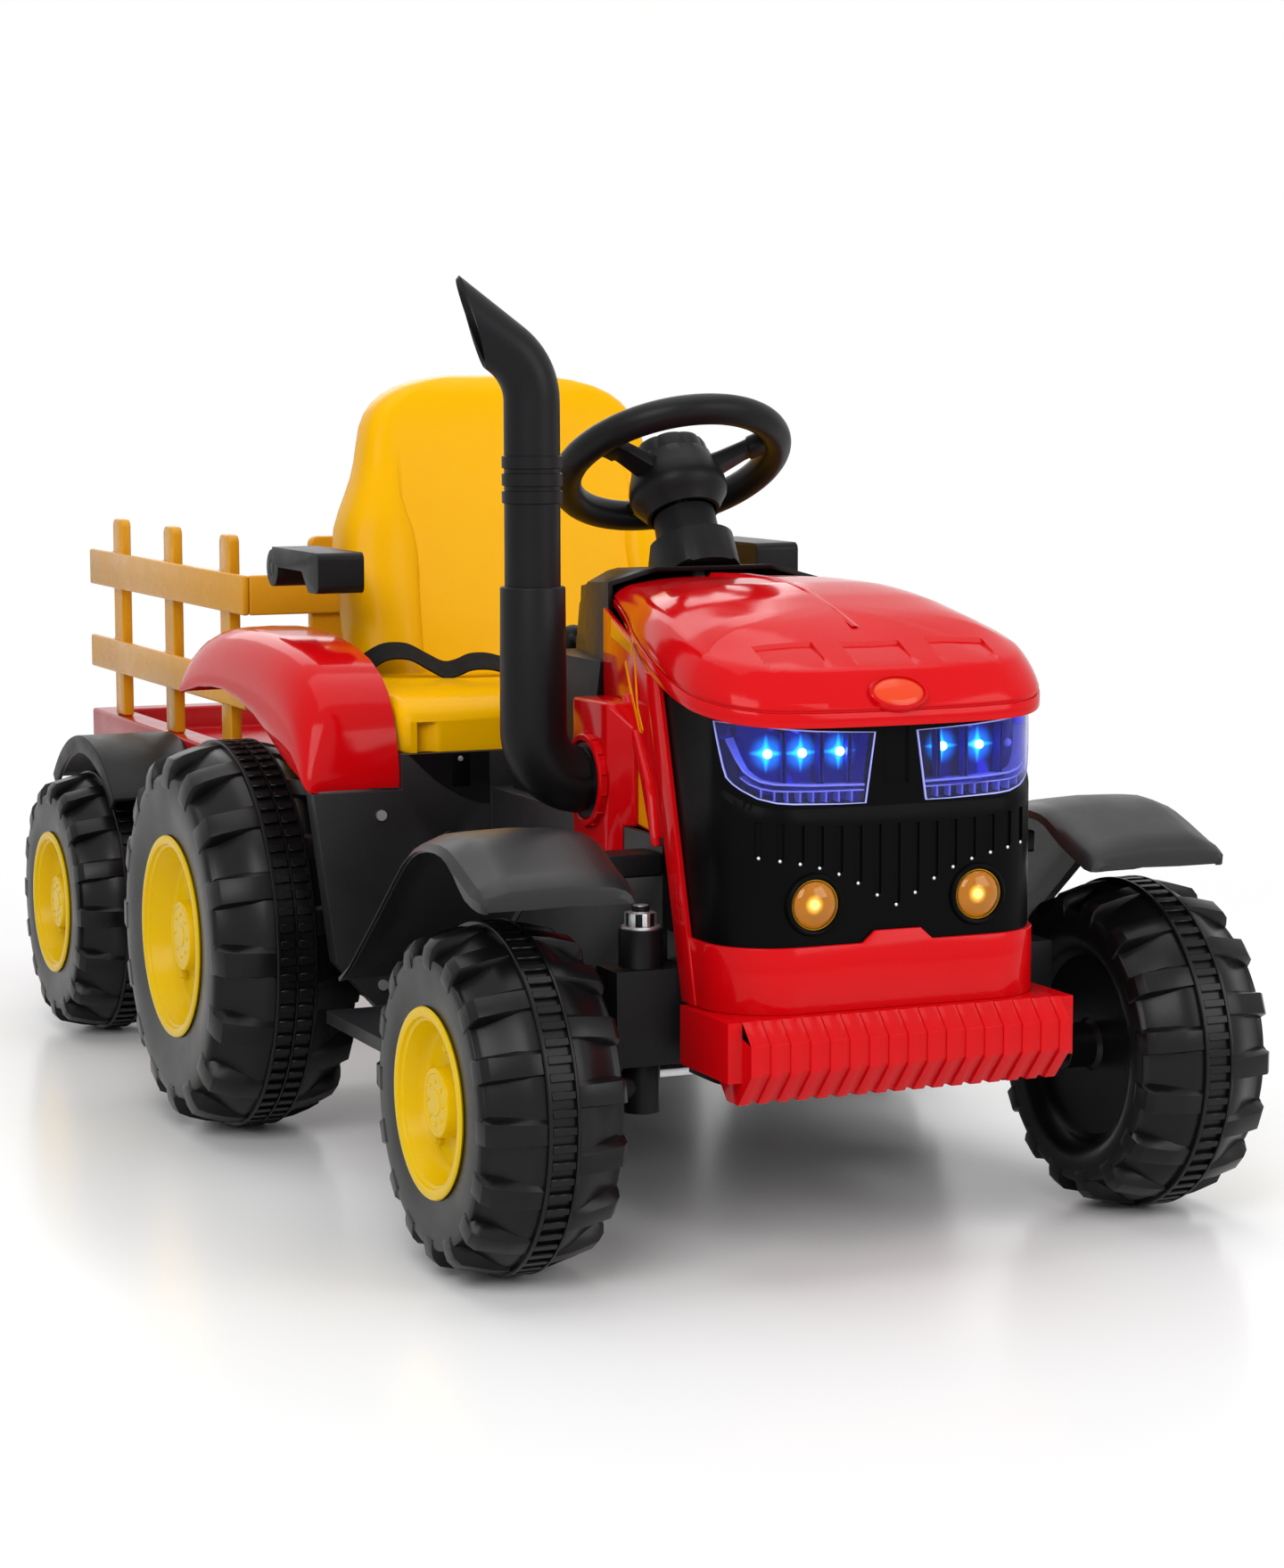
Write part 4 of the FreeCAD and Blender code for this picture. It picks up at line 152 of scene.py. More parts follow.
@dataclass(frozen=True)
class MouldedPlastic:
    """Injection or blow moulded PP: even colour, soft clouding, a faint skin and a fine mould grain."""

    name: str
    colour: str
    deep: str
    roughness: Flat = (0.16, 0.24)
    cloud_mm: float = 90
    grain_mm: float = 2.5
    grain: float = 0.02
    grain_depth_mm: float = 1
    peel_mm: float = 14
    peel: float = 0.02
    peel_depth_mm: float = 2
    glow: float = 0
    glow_reach: Point = (0.004, 0.002, 0.001)
    shine: float = 0.24
    ior: float = 1.49

    def build(self) -> Material:
        """Makes the material on Object coordinates."""
        material, tree, spot = new_material(self.name)
        cloud = noise(tree, spot, self.cloud_mm, 3)
        rub = noise(tree, spot, self.peel_mm * 2, 4, 0.6)
        skin = bump(tree, noise(tree, spot, self.peel_mm, 1), self.peel, self.peel_depth_mm)
        grain = bump(tree, noise(tree, spot, self.grain_mm, 2), self.grain, self.grain_depth_mm, Normal=skin)
        end_with(tree, add_node(tree, "BsdfPrincipled", {
            "Base Color": mixed(tree, cloud, self.deep, self.colour),
            "Roughness": map_range(tree, rub, (0.3, 0.7), self.roughness),
            "IOR": self.ior, "Specular IOR Level": self.shine, "Normal": grain,
            "Subsurface Weight": self.glow, "Subsurface Radius": self.glow_reach}))
        return material


@dataclass(frozen=True)
class PlatedSteel:
    """Zinc plated steel: bright metal with a fine drawn grain and slightly uneven gloss."""

    name: str
    colour: str
    roughness: Flat = (0.22, 0.38)
    grain_mm: float = 1.2
    grain: float = 0.05
    grain_depth_mm: float = 0.5

    def build(self) -> Material:
        """Makes the material on Object coordinates."""
        material, tree, spot = new_material(self.name)
        grain = noise(tree, spot, self.grain_mm, 4)
        end_with(tree, add_node(tree, "BsdfPrincipled", {
            "Base Color": linear(self.colour), "Metallic": 1,
            "Roughness": map_range(tree, grain, (0, 1), self.roughness),
            "Normal": bump(tree, grain, self.grain, self.grain_depth_mm)}))
        return material


@dataclass(frozen=True)
class TintedLens:
    """Tinted clear PC: a thin glossy wall that colours what lies behind it."""

    name: str
    colour: str
    roughness: float = 0.03
    ior: float = 1.3
    ripple_mm: float = 18
    ripple: float = 0.03

    def build(self) -> Material:
        """Makes the see-through material, with a faint ripple of the moulding."""
        material, tree, spot = new_material(self.name)
        end_with(tree, add_node(tree, "BsdfPrincipled", {
            "Base Color": linear(self.colour), "Roughness": self.roughness, "IOR": self.ior,
            "Transmission Weight": 1,
            "Normal": bump(tree, noise(tree, spot, self.ripple_mm, 1), self.ripple, 1)}))
        return material


@dataclass(frozen=True)
class PaintedGlowLampBowl:
    """Metallised lamp bowl with painted light: an emitted halo with four soft rays round each source, over a
    faint even glow, standing in for the sources' light on the bowl.
    """

    name: str
    colour: str
    halo: str
    sources: Line
    # Reach and strength of the painted halos, and the painted glow over the whole bowl
    reach_mm: float
    strength: float
    glow: float = 0
    ray_mm2: float = 14
    core_mm: float = 2
    ray_share: float = 0.25

    def halo_at(self, tree: NodeTree, spot: NodeSocket, place: Point) -> NodeSocket:
        """Draws the painted halo of one source.

        Args:
            tree: Node tree of the material.
            spot: Object coordinates.
            place: Place of the source in the frame, in metres.

        Returns:
            The halo's share of full strength.
        """
        away = add_node(tree, "VectorMath", {0: spot, 1: place}, operation="SUBTRACT").outputs["Vector"]
        gap = add_node(tree, "VectorMath", {0: away}, operation="LENGTH").outputs["Value"]
        fall = map_range(tree, gap, (self.core_mm * MM, self.reach_mm * MM), (1, 0),
                         interpolation_type="SMOOTHERSTEP")
        parts = add_node(tree, "SeparateXYZ", {"Vector": away}).outputs
        cross = maths(tree, "ABSOLUTE", maths(tree, "MULTIPLY", parts["X"], parts["Z"]))
        ray = map_range(tree, cross, (0, self.ray_mm2 * MM * MM), (1, self.ray_share),
                        interpolation_type="SMOOTHSTEP")
        return maths(tree, "MULTIPLY", fall, ray)

    def build(self) -> Material:
        """Makes the bowl, with a painted halo of emitted light at each source's place in the frame."""
        material, tree, spot = new_material(self.name)
        total = self.halo_at(tree, spot, self.sources[0])
        for place in self.sources[1:]:
            total = maths(tree, "MAXIMUM", total, self.halo_at(tree, spot, place))
        bright = maths(tree, "MULTIPLY_ADD", total, self.strength, self.glow)
        end_with(tree, add_node(tree, "BsdfPrincipled", {
            "Base Color": linear(self.colour), "Metallic": 0.8, "Roughness": 0.18,
            "Emission Color": linear(self.halo), "Emission Strength": bright}))
        return material


@dataclass(frozen=True)
class LitDiode:
    """A lit diode: a small dome that is nearly white at its middle."""

    name: str
    colour: str
    strength: float

    def build(self) -> Material:
        """Makes the plain glowing material."""
        material, tree, _ = new_material(self.name)
        end_with(tree, add_node(tree, "BsdfPrincipled", {
            "Base Color": linear(self.colour), "Roughness": 0.2,
            "Emission Color": linear(self.colour), "Emission Strength": self.strength}))
        return material


@dataclass(frozen=True)
class Webbing:
    """Woven polyester webbing: a matt cross weave that shows as fine ribs across the strap."""

    name: str
    colour: str
    light: str
    # Real threads are about 0.6 mm apart; drawn at 2 mm so that they show in the render
    thread_mm: float = 2
    thread_depth_mm: float = 0.6
    # A wave texture has this many bands to a unit of its scale
    bands: int = 20

    def build(self) -> Material:
        """Makes the matt cloth material, whose weave follows Object coordinates."""
        material, tree, spot = new_material(self.name)
        weave = {"Vector": spot, "Scale": per_mm(self.thread_mm) / self.bands}
        warp, weft = (add_node(tree, "TexWave", weave, bands_direction=way).outputs["Fac"] for way in "XY")
        cross = maths(tree, "MULTIPLY", warp, weft)
        end_with(tree, add_node(tree, "BsdfPrincipled", {
            "Base Color": mixed(tree, cross, self.colour, self.light), "Roughness": 0.82,
            "Specular IOR Level": 0.2, "Normal": bump(tree, cross, 0.5, self.thread_depth_mm)}))
        return material


# Places of the lit diodes in the frame, in metres; the headlamp bowls' painted halos centre on them
LAMP_DIODES = ((-0.0885, -0.6482, 0.3485), (-0.0655, -0.6522, 0.3485), (-0.038, -0.6522, 0.3485),
               (0.038, -0.6522, 0.3485), (0.0655, -0.6522, 0.3485))
# Places of the fog lamps' bulbs in the frame, in metres; the fog bowls' painted halos centre on them
FOG_BULBS = ((-0.0605, -0.662, 0.2495), (0.0605, -0.662, 0.2495))


class Look(Enum):
    """Every finish of the toy, by the piece of the real one that carries it."""

    RED = MouldedPlastic("red_gloss_pp", "#C8060E", "#BE050C", (0.08, 0.14), peel=0.02, shine=0.13)
    TRAY_RED = MouldedPlastic("tray_red_pp", "#B00812", "#A4060F", (0.14, 0.22), peel=0.03, shine=0.12)
    SEAT_YELLOW = MouldedPlastic("seat_yellow_pp", "#ECAF00", "#E6A800", (0.2, 0.28), peel=0.02, glow=0.04,
                                 shine=0.07)
    RIM_YELLOW = MouldedPlastic("rim_yellow_pp", "#E0BC03", "#D8B002", (0.2, 0.3), peel=0.02, glow=0.05,
                                shine=0.12)
    FENCE_YELLOW = MouldedPlastic("fence_yellow_pp", "#D8991A", "#CB8D14", (0.22, 0.34), glow=0.08)
    SATIN_BLACK = MouldedPlastic("satin_black_pp", "#141315", "#100F11", (0.34, 0.46), grain_mm=1.4,
                                 grain=0.06, shine=0.14)
    GRILLE_BLACK = MouldedPlastic("grille_black_pp", "#070708", "#050506", (0.3, 0.4), grain_mm=1.2,
                                  grain=0.05, shine=0.04)
    GUARD_BLACK = MouldedPlastic("guard_black_pp", "#1B1A1C", "#161517", (0.36, 0.46), grain_mm=1.4,
                                 grain=0.05, shine=0.34)
    GLOSS_BLACK = MouldedPlastic("gloss_black_abs", "#101011", "#0C0C0D", (0.12, 0.2))
    TYRE_BLACK = MouldedPlastic("tyre_black_pe", "#0D0C0D", "#09090A", (0.27, 0.37), cloud_mm=50, grain_mm=3,
                                grain=0.04, peel_mm=24, peel=0.05, shine=0.2)
    GREY = MouldedPlastic("grey_pp", "#5A5B5E", "#505154", (0.4, 0.5))
    DECAL_YELLOW = MouldedPlastic("yellow_film", "#F2A60A", "#EB9C05", (0.08, 0.12), grain=0)
    BUTTON_RED = MouldedPlastic("button_red_abs", "#C8101A", "#B80C15", (0.14, 0.2))
    BADGE = MouldedPlastic("badge_film", "#D8431C", "#CE3A15", (0.1, 0.16), grain=0)
    STEEL = PlatedSteel("zinc_steel", "#C9CACC")
    # Fog lamp bowls: plated amber with a painted halo round each bulb over a faint painted glow
    AMBER = PaintedGlowLampBowl("amber_plated_abs_painted_glow", "#A8760A", "#FFDD70", FOG_BULBS, 8, 1.1, 0.02, 60)
    AMBER_GLASS = TintedLens("amber_lens_pc", "#FFE9AE")
    BULB = LitDiode("clear_bulb", "#FFF3C4", 1)
    LENS = TintedLens("violet_lens_pc", "#C4C6FF")
    # Pale lavender that paints highlights on the headlamps' lens edges, shelves and ribs
    LAMP_EDGE = MouldedPlastic("lens_edge_pc_painted_highlight", "#B0B6FA", "#989EEE", (0.08, 0.14), grain=0)
    LAMP_DARK = MouldedPlastic("lamp_housing_blue", "#20208C", "#181874", (0.1, 0.2), grain=0)
    # Headlamp bowls: violet metal with a painted halo of light round each lit diode
    LAMP_BOWL = PaintedGlowLampBowl("lamp_bowl_violet_painted_glow", "#191980", "#18A4FF", LAMP_DIODES, 15, 5)
    DIODE = LitDiode("lit_diode", "#9BE8FF", 14)
    WEBBING = Webbing("belt_webbing", "#050506", "#0B0A0C")

    def material(self) -> Material:
        """Gives the finish's material, made once."""
        found = bpy.data.materials.get(self.value.name)
        return found or self.value.build()


# Mesh building

class Shape:
    """A mesh under construction, drawn in mm with the front axle at y = 0."""

    def __init__(self) -> None:
        """Starts empty."""
        self.bm = bmesh.new()

    @classmethod
    def of_node(cls, node: str, flat: float = 1) -> "Shape":
        """Copies a frame node, with its loose triangles joined into whole faces.

        Args:
            node: Name of the node.
            flat: Faces that meet at less than this many degrees become one.

        Returns:
            The copy, in mm.
        """
        shape = cls()
        shape.bm.from_mesh(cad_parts[node].data)
        bmesh.ops.scale(shape.bm, vec=(1 / MM,) * 3, verts=shape.bm.verts)
        shape.move((0, -AXLE_Y, 0))
        bmesh.ops.remove_doubles(shape.bm, verts=shape.bm.verts, dist=0.02)
        bmesh.ops.dissolve_limit(shape.bm, angle_limit=math.radians(flat), verts=shape.bm.verts,
                                 edges=shape.bm.edges)
        return shape

    def move(self, way: Sequence[float], verts: Optional[Iterable[BMVert]] = None) -> "Shape":
        """Moves some points, or all."""
        bmesh.ops.translate(self.bm, vec=way, verts=list(verts or self.bm.verts))
        return self

    def turn(self, matrix: Matrix, centre: Sequence[float] = (0, 0, 0),
             verts: Optional[Iterable[BMVert]] = None) -> "Shape":
        """Turns some points, or all, about a centre."""
        bmesh.ops.rotate(self.bm, cent=centre, matrix=matrix, verts=list(verts or self.bm.verts))
        return self

    def flip(self) -> "Shape":
        """Mirrors the whole mesh to the other side of the tractor."""
        bmesh.ops.scale(self.bm, vec=(-1, 1, 1), verts=self.bm.verts)
        bmesh.ops.reverse_faces(self.bm, faces=self.bm.faces)
        return self

    def join(self, other: "Shape") -> "Shape":
        """Takes in another shape's mesh."""
        mesh = bpy.data.meshes.new("joining")
        other.bm.to_mesh(mesh)
        self.bm.from_mesh(mesh)
        bpy.data.meshes.remove(mesh)
        other.bm.free()
        return self

    def box(self, low: Point, high: Point) -> list[BMVert]:
        """Adds a box.

        Args:
            low: Lowest corner.
            high: Highest corner.

        Returns:
            Its points.
        """
        made = bmesh.ops.create_cube(self.bm, size=1)["verts"]
        bmesh.ops.scale(self.bm, vec=Vector(high) - Vector(low), verts=made)
        bmesh.ops.translate(self.bm, vec=(Vector(high) + Vector(low)) / 2, verts=made)
        return made

    def rod(self, start: Point, end: Point, radius: float, tip: Optional[float] = None,
            segments: int = 32) -> list[BMVert]:
        """Adds a capped rod or cone between two points.

        Args:
            start: Middle of the first end.
            end: Middle of the other end.
            radius: Radius at the start.
            tip: Radius at the end, where it differs.
            segments: Sides.

        Returns:
            Its points.
        """
        way = Vector(end) - Vector(start)
        lean = way.to_track_quat("Z", "Y").to_matrix().to_4x4()
        place = Matrix.Translation((Vector(start) + Vector(end)) / 2) @ lean
        return bmesh.ops.create_cone(self.bm, cap_ends=True, segments=segments, radius1=radius,
                                     radius2=radius if tip is None else tip, depth=way.length,
                                     matrix=place)["verts"]

    def spin(self, section: Sequence[Flat], steps: int = 96) -> list[BMVert]:
        """Spins an open section, given as (along X, radius), about the X axis.

        Args:
            section: Corners of the section.
            steps: Steps of a full turn.

        Returns:
            The new points.
        """
        before = set(self.bm.verts)
        spots = [self.bm.verts.new((along, 0, radius)) for along, radius in section]
        edges = [self.bm.edges.new(pair) for pair in zip(spots, spots[1:])]
        bmesh.ops.spin(self.bm, geom=spots + edges, cent=(0, 0, 0), axis=(1, 0, 0), angle=math.tau,
                       steps=steps, use_merge=True)
        made = [v for v in self.bm.verts if v not in before]
        bmesh.ops.remove_doubles(self.bm, verts=made, dist=0.002)
        return [v for v in self.bm.verts if v not in before]

    def ring_of(self, count: int) -> "Shape":
        """Repeats the whole mesh round the X axis.

        Args:
            count: Copies in a full turn.

        Returns:
            This shape.
        """
        geom = list(self.bm.verts) + list(self.bm.edges) + list(self.bm.faces)
        step = math.tau / count
        bmesh.ops.spin(self.bm, geom=geom, cent=(0, 0, 0), axis=(1, 0, 0), angle=step * (count - 1),
                       steps=count - 1, use_duplicate=True)
        return self

    def prism(self, outline: Sequence[Flat], plane: str, span: Flat) -> list[BMVert]:
        """Pulls a flat outline through a span.

        Args:
            outline: Corners, in the plane's own two axes.
            plane: The plane's axes, such as "YZ".
            span: Start and end along the third axis.

        Returns:
            The prism's points.
        """
        axes = ["XYZ".index(letter) for letter in plane]
        third = 3 - sum(axes)
        corners = []
        for first, second in outline:
            spot = Vector()
            spot[axes[0]], spot[axes[1]], spot[third] = first, second, span[0]
            corners.append(self.bm.verts.new(spot))
        face = self.bm.faces.new(corners)
        made = bmesh.ops.extrude_face_region(self.bm, geom=[face], use_keep_orig=True)["geom"]
        far = [item for item in made if isinstance(item, BMVert)]
        way = Vector()
        way[third] = span[1] - span[0]
        bmesh.ops.translate(self.bm, vec=way, verts=far)
        return corners + far

    def loft(self, rings: Sequence[Sequence[Sequence[float]]],
             caps: tuple[bool, bool] = (True, True)) -> list[BMVert]:
        """Skins closed rings of points, one after another.

        Args:
            rings: Rings with equal numbers of points.
            caps: Whether the first and the last end are closed.

        Returns:
            The points.
        """
        made: list[BMVert] = []
        last: list[BMEdge] = []
        for number, ring in enumerate(rings):
            spots = [self.bm.verts.new(spot) for spot in ring]
            edges = [self.bm.edges.new((a, b)) for a, b in zip(spots, spots[1:] + spots[:1])]
            if last:
                bmesh.ops.bridge_loops(self.bm, edges=last + edges)
            if (caps[0] and number == 0) or (caps[1] and number == len(rings) - 1):
                self.bm.faces.new(spots)
            made += spots
            last = edges
        return made

    def sheet(self, columns: int, rows: int,
              place: Callable[[float, float], Sequence[float]]) -> list[BMVert]:
        """Lays a grid on a surface.

        Args:
            columns: Cells along the first share.
            rows: Cells along the second share.
            place: Gives a point for the two shares, each from 0 to 1.

        Returns:
            The grid's points.
        """
        made = bmesh.ops.create_grid(self.bm, x_segments=columns, y_segments=rows, size=0.5)["verts"]
        for spot in made:
            spot.co = place(spot.co.x + 0.5, spot.co.y + 0.5)
        return made

    def face_to(self, way: Point) -> "Shape":
        """Turns an open sheet so that most of its face looks one way."""
        bmesh.ops.recalc_face_normals(self.bm, faces=self.bm.faces)
        if sum(f.normal.dot(Vector(way)) * f.calc_area() for f in self.bm.faces) < 0:
            bmesh.ops.reverse_faces(self.bm, faces=self.bm.faces)
        return self

    def wall(self, thickness: float, way: Point = (0, 0, 1)) -> "Shape":
        """Gives an open sheet, whose face looks one way, a thickness behind that face."""
        self.face_to(way)
        made = bmesh.ops.extrude_face_region(self.bm, geom=list(self.bm.faces))["geom"]
        self.bm.normal_update()
        for spot in [item for item in made if isinstance(item, BMVert)]:
            spot.co -= spot.normal * thickness
        return self

    def soften(self, width: float, segments: int = 2, angle: float = 30) -> "Shape":
        """Rounds every edge that is sharper than an angle.

        Args:
            width: Size of the round.
            segments: Faces across it.
            angle: Least angle between the two faces, in degrees.

        Returns:
            This shape.
        """
        sharp = [e for e in self.bm.edges if len(e.link_faces) == 2
                 and e.calc_face_angle(0) > math.radians(angle)]
        bmesh.ops.bevel(self.bm, geom=sharp, offset=width, offset_type="OFFSET", segments=segments,
                        profile=0.5, affect="EDGES", clamp_overlap=True, material=-1)
        return self

    def piece(self, name: str, look: Look, body: str, *nodes: str, edge: float = 32,
              facing: bool = True) -> Object:
        """Ends the mesh as a dressed piece of the toy.

        Args:
            name: Name of the piece.
            look: Its finish.
            body: Body of the frame that carries it.
            *nodes: Nodes of the frame that it stands for.
            edge: Faces that meet at more degrees than this stay crisp.
            facing: Whether the faces are turned outwards first.

        Returns:
            The object, at the frame's origin.
        """
        self.move((0, AXLE_Y, 0))
        bmesh.ops.scale(self.bm, vec=(MM,) * 3, verts=self.bm.verts)
        bmesh.ops.remove_doubles(self.bm, verts=self.bm.verts, dist=0.000004)
        if facing:
            bmesh.ops.recalc_face_normals(self.bm, faces=self.bm.faces)
        mesh = bpy.data.meshes.new(name)
        self.bm.to_mesh(mesh)
        self.bm.free()
        mesh.materials.append(look.material())
        mesh.shade_smooth()
        mesh.set_sharp_from_angle(angle=math.radians(edge))
        thing = bpy.data.objects.new(name, mesh)
        bpy.context.scene.collection.objects.link(thing)
        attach(thing, body)
        if nodes:
            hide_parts(*nodes)
        LOG.info("%s: %d faces on %s", name, len(mesh.polygons), body)
        return thing


def bezier(*knots: Sequence[Flat], steps: int = 8) -> list[Flat]:
    """Draws a smooth flat line through runs of four control points.

    Args:
        *knots: Runs of four points, each starting where the last one ended.
        steps: Points in each run.

    Returns:
        The points of the line, without repeats.
    """
    line: list[Flat] = []
    for run in knots:
        drawn = interpolate_bezier(*(Vector((a, b, 0)) for a, b in run), steps)
        line += [(spot.x, spot.y) for spot in drawn][1 if line else 0:]
    return line


def along_graph(graph: Sequence[Flat], at: float) -> float:
    """Reads a graph of straight runs.

    Args:
        graph: Points with rising first values.
        at: First value.

    Returns:
        The second value there, held level past the ends.
    """
    if at <= graph[0][0]:
        return graph[0][1]
    for (a, low), (b, high) in zip(graph, graph[1:]):
        if at <= b:
            return low + (high - low) * (at - a) / (b - a)
    return graph[-1][1]


def along_line(line: Sequence[Flat], share: float) -> Flat:
    """Gives the point a share of the way along a line's own length.

    Args:
        line: Points of the line.
        share: From 0 to 1.

    Returns:
        The point.
    """
    runs = [math.dist(a, b) for a, b in zip(line, line[1:])]
    left = share * sum(runs)
    for (a, b), run in zip(zip(line, line[1:]), runs):
        if left <= run or b is line[-1]:
            part = min(1, left / run) if run else 0
            return a[0] + (b[0] - a[0]) * part, a[1] + (b[1] - a[1]) * part
        left -= run
    return line[-1]


# Floor, light and camera

@dataclass
class Studio:
    """A white sweep with soft light, and the camera that stands where the photograph was taken."""

    camera_mm: Point = (-1063.6, -2124, 596)
    azimuth_deg: float = 23.53
    down_deg: float = 6.75
    roll_deg: float = -0.11
    lens_mm: float = 80.22
    floor_m: float = 14
    fade_m: Flat = (0.75, 1.7)

    def floor(self) -> None:
        """Lays the pale floor, which fades to plain white away from the toy."""
        material, tree, spot = new_material("studio_floor")
        reach = add_node(tree, "VectorMath", {0: spot}, operation="LENGTH").outputs["Value"]
        far = map_range(tree, reach, self.fade_m, (0, 1), interpolation_type="SMOOTHSTEP")
        seen = maths(tree, "MULTIPLY", add_node(tree, "LightPath").outputs["Is Camera Ray"], far)
        paint = add_node(tree, "BsdfPrincipled",
                         {"Base Color": linear("#F7F7F7"), "Roughness": 0.22, "IOR": 1.35})
        white = add_node(tree, "Emission", {"Color": (1, 1, 1, 1), "Strength": 1})
        end_with(tree, add_node(tree, "MixShader", {0: seen, 1: paint.outputs[0], 2: white.outputs[0]}))
        plate = bmesh.new()
        bmesh.ops.create_grid(plate, x_segments=2, y_segments=2, size=self.floor_m)
        mesh = bpy.data.meshes.new("floor")
        plate.to_mesh(mesh)
        plate.free()
        mesh.materials.append(material)
        ground = bpy.data.objects.new("floor", mesh)
        bpy.context.scene.collection.objects.link(ground)

    def light(self) -> None:
        """Hangs the soft boxes and sets a white surround."""
        for name, place, aim, size, power in (
                ("key", (-1.9, -2.6, 2.3), (0, -0.2, 0.3), 1.9, 62),
                ("top", (0.1, 0, 3), (0, 0, 0.2), 2.6, 34),
                ("fill", (1.6, -2.9, 1.5), (0, -0.2, 0.3), 1.8, 34),
                ("back", (0.6, 2.6, 2), (0, 0.2, 0.3), 2, 16)):
            lamp = bpy.data.lights.new(name, "AREA")
            lamp.size = size
            lamp.energy = power
            box = bpy.data.objects.new(name, lamp)
            bpy.context.scene.collection.objects.link(box)
            box.location = place
            box.rotation_euler = (Vector(aim) - Vector(place)).to_track_quat("-Z", "Y").to_euler()
        world = bpy.data.worlds.new("surround")
        bpy.context.scene.world = world
        world.use_nodes = True
        tree = world.node_tree
        tree.nodes.clear()
        rays = add_node(tree, "LightPath").outputs
        seen = maths(tree, "MAXIMUM", rays["Is Camera Ray"], rays["Is Transmission Ray"])
        any_seen = maths(tree, "MAXIMUM", seen, rays["Is Glossy Ray"])
        level = map_range(tree, any_seen, (0, 1), (0.5, 1))
        end_with(tree, add_node(tree, "Background", {"Color": (1, 1, 1, 1), "Strength": level}), "World")

    def camera(self) -> None:
        """Stands the camera at the photograph's place."""
        lens = bpy.data.cameras.new("camera")
        lens.sensor_fit = "VERTICAL"
        lens.sensor_height = 36
        lens.lens = self.lens_mm
        lens.clip_start = 0.05
        lens.clip_end = 60
        eye = bpy.data.objects.new("camera", lens)
        bpy.context.scene.collection.objects.link(eye)
        side, down = math.radians(self.azimuth_deg), math.radians(self.down_deg)
        way = Vector((math.sin(side) * math.cos(down), math.cos(side) * math.cos(down), -math.sin(down)))
        turn = way.to_track_quat("-Z", "Y").to_matrix().to_4x4()
        place = Vector(self.camera_mm) + Vector((0, AXLE_Y, 0))
        eye.matrix_world = (Matrix.Translation(place * MM) @ turn
                            @ Matrix.Rotation(math.radians(self.roll_deg), 4, "Z"))
        bpy.context.scene.camera = eye

    def build(self) -> None:
        """Sets up floor, light, camera and the plain view transform."""
        self.floor()
        self.light()
        self.camera()
        bpy.context.scene.view_settings.view_transform = "Standard"


# Wheels

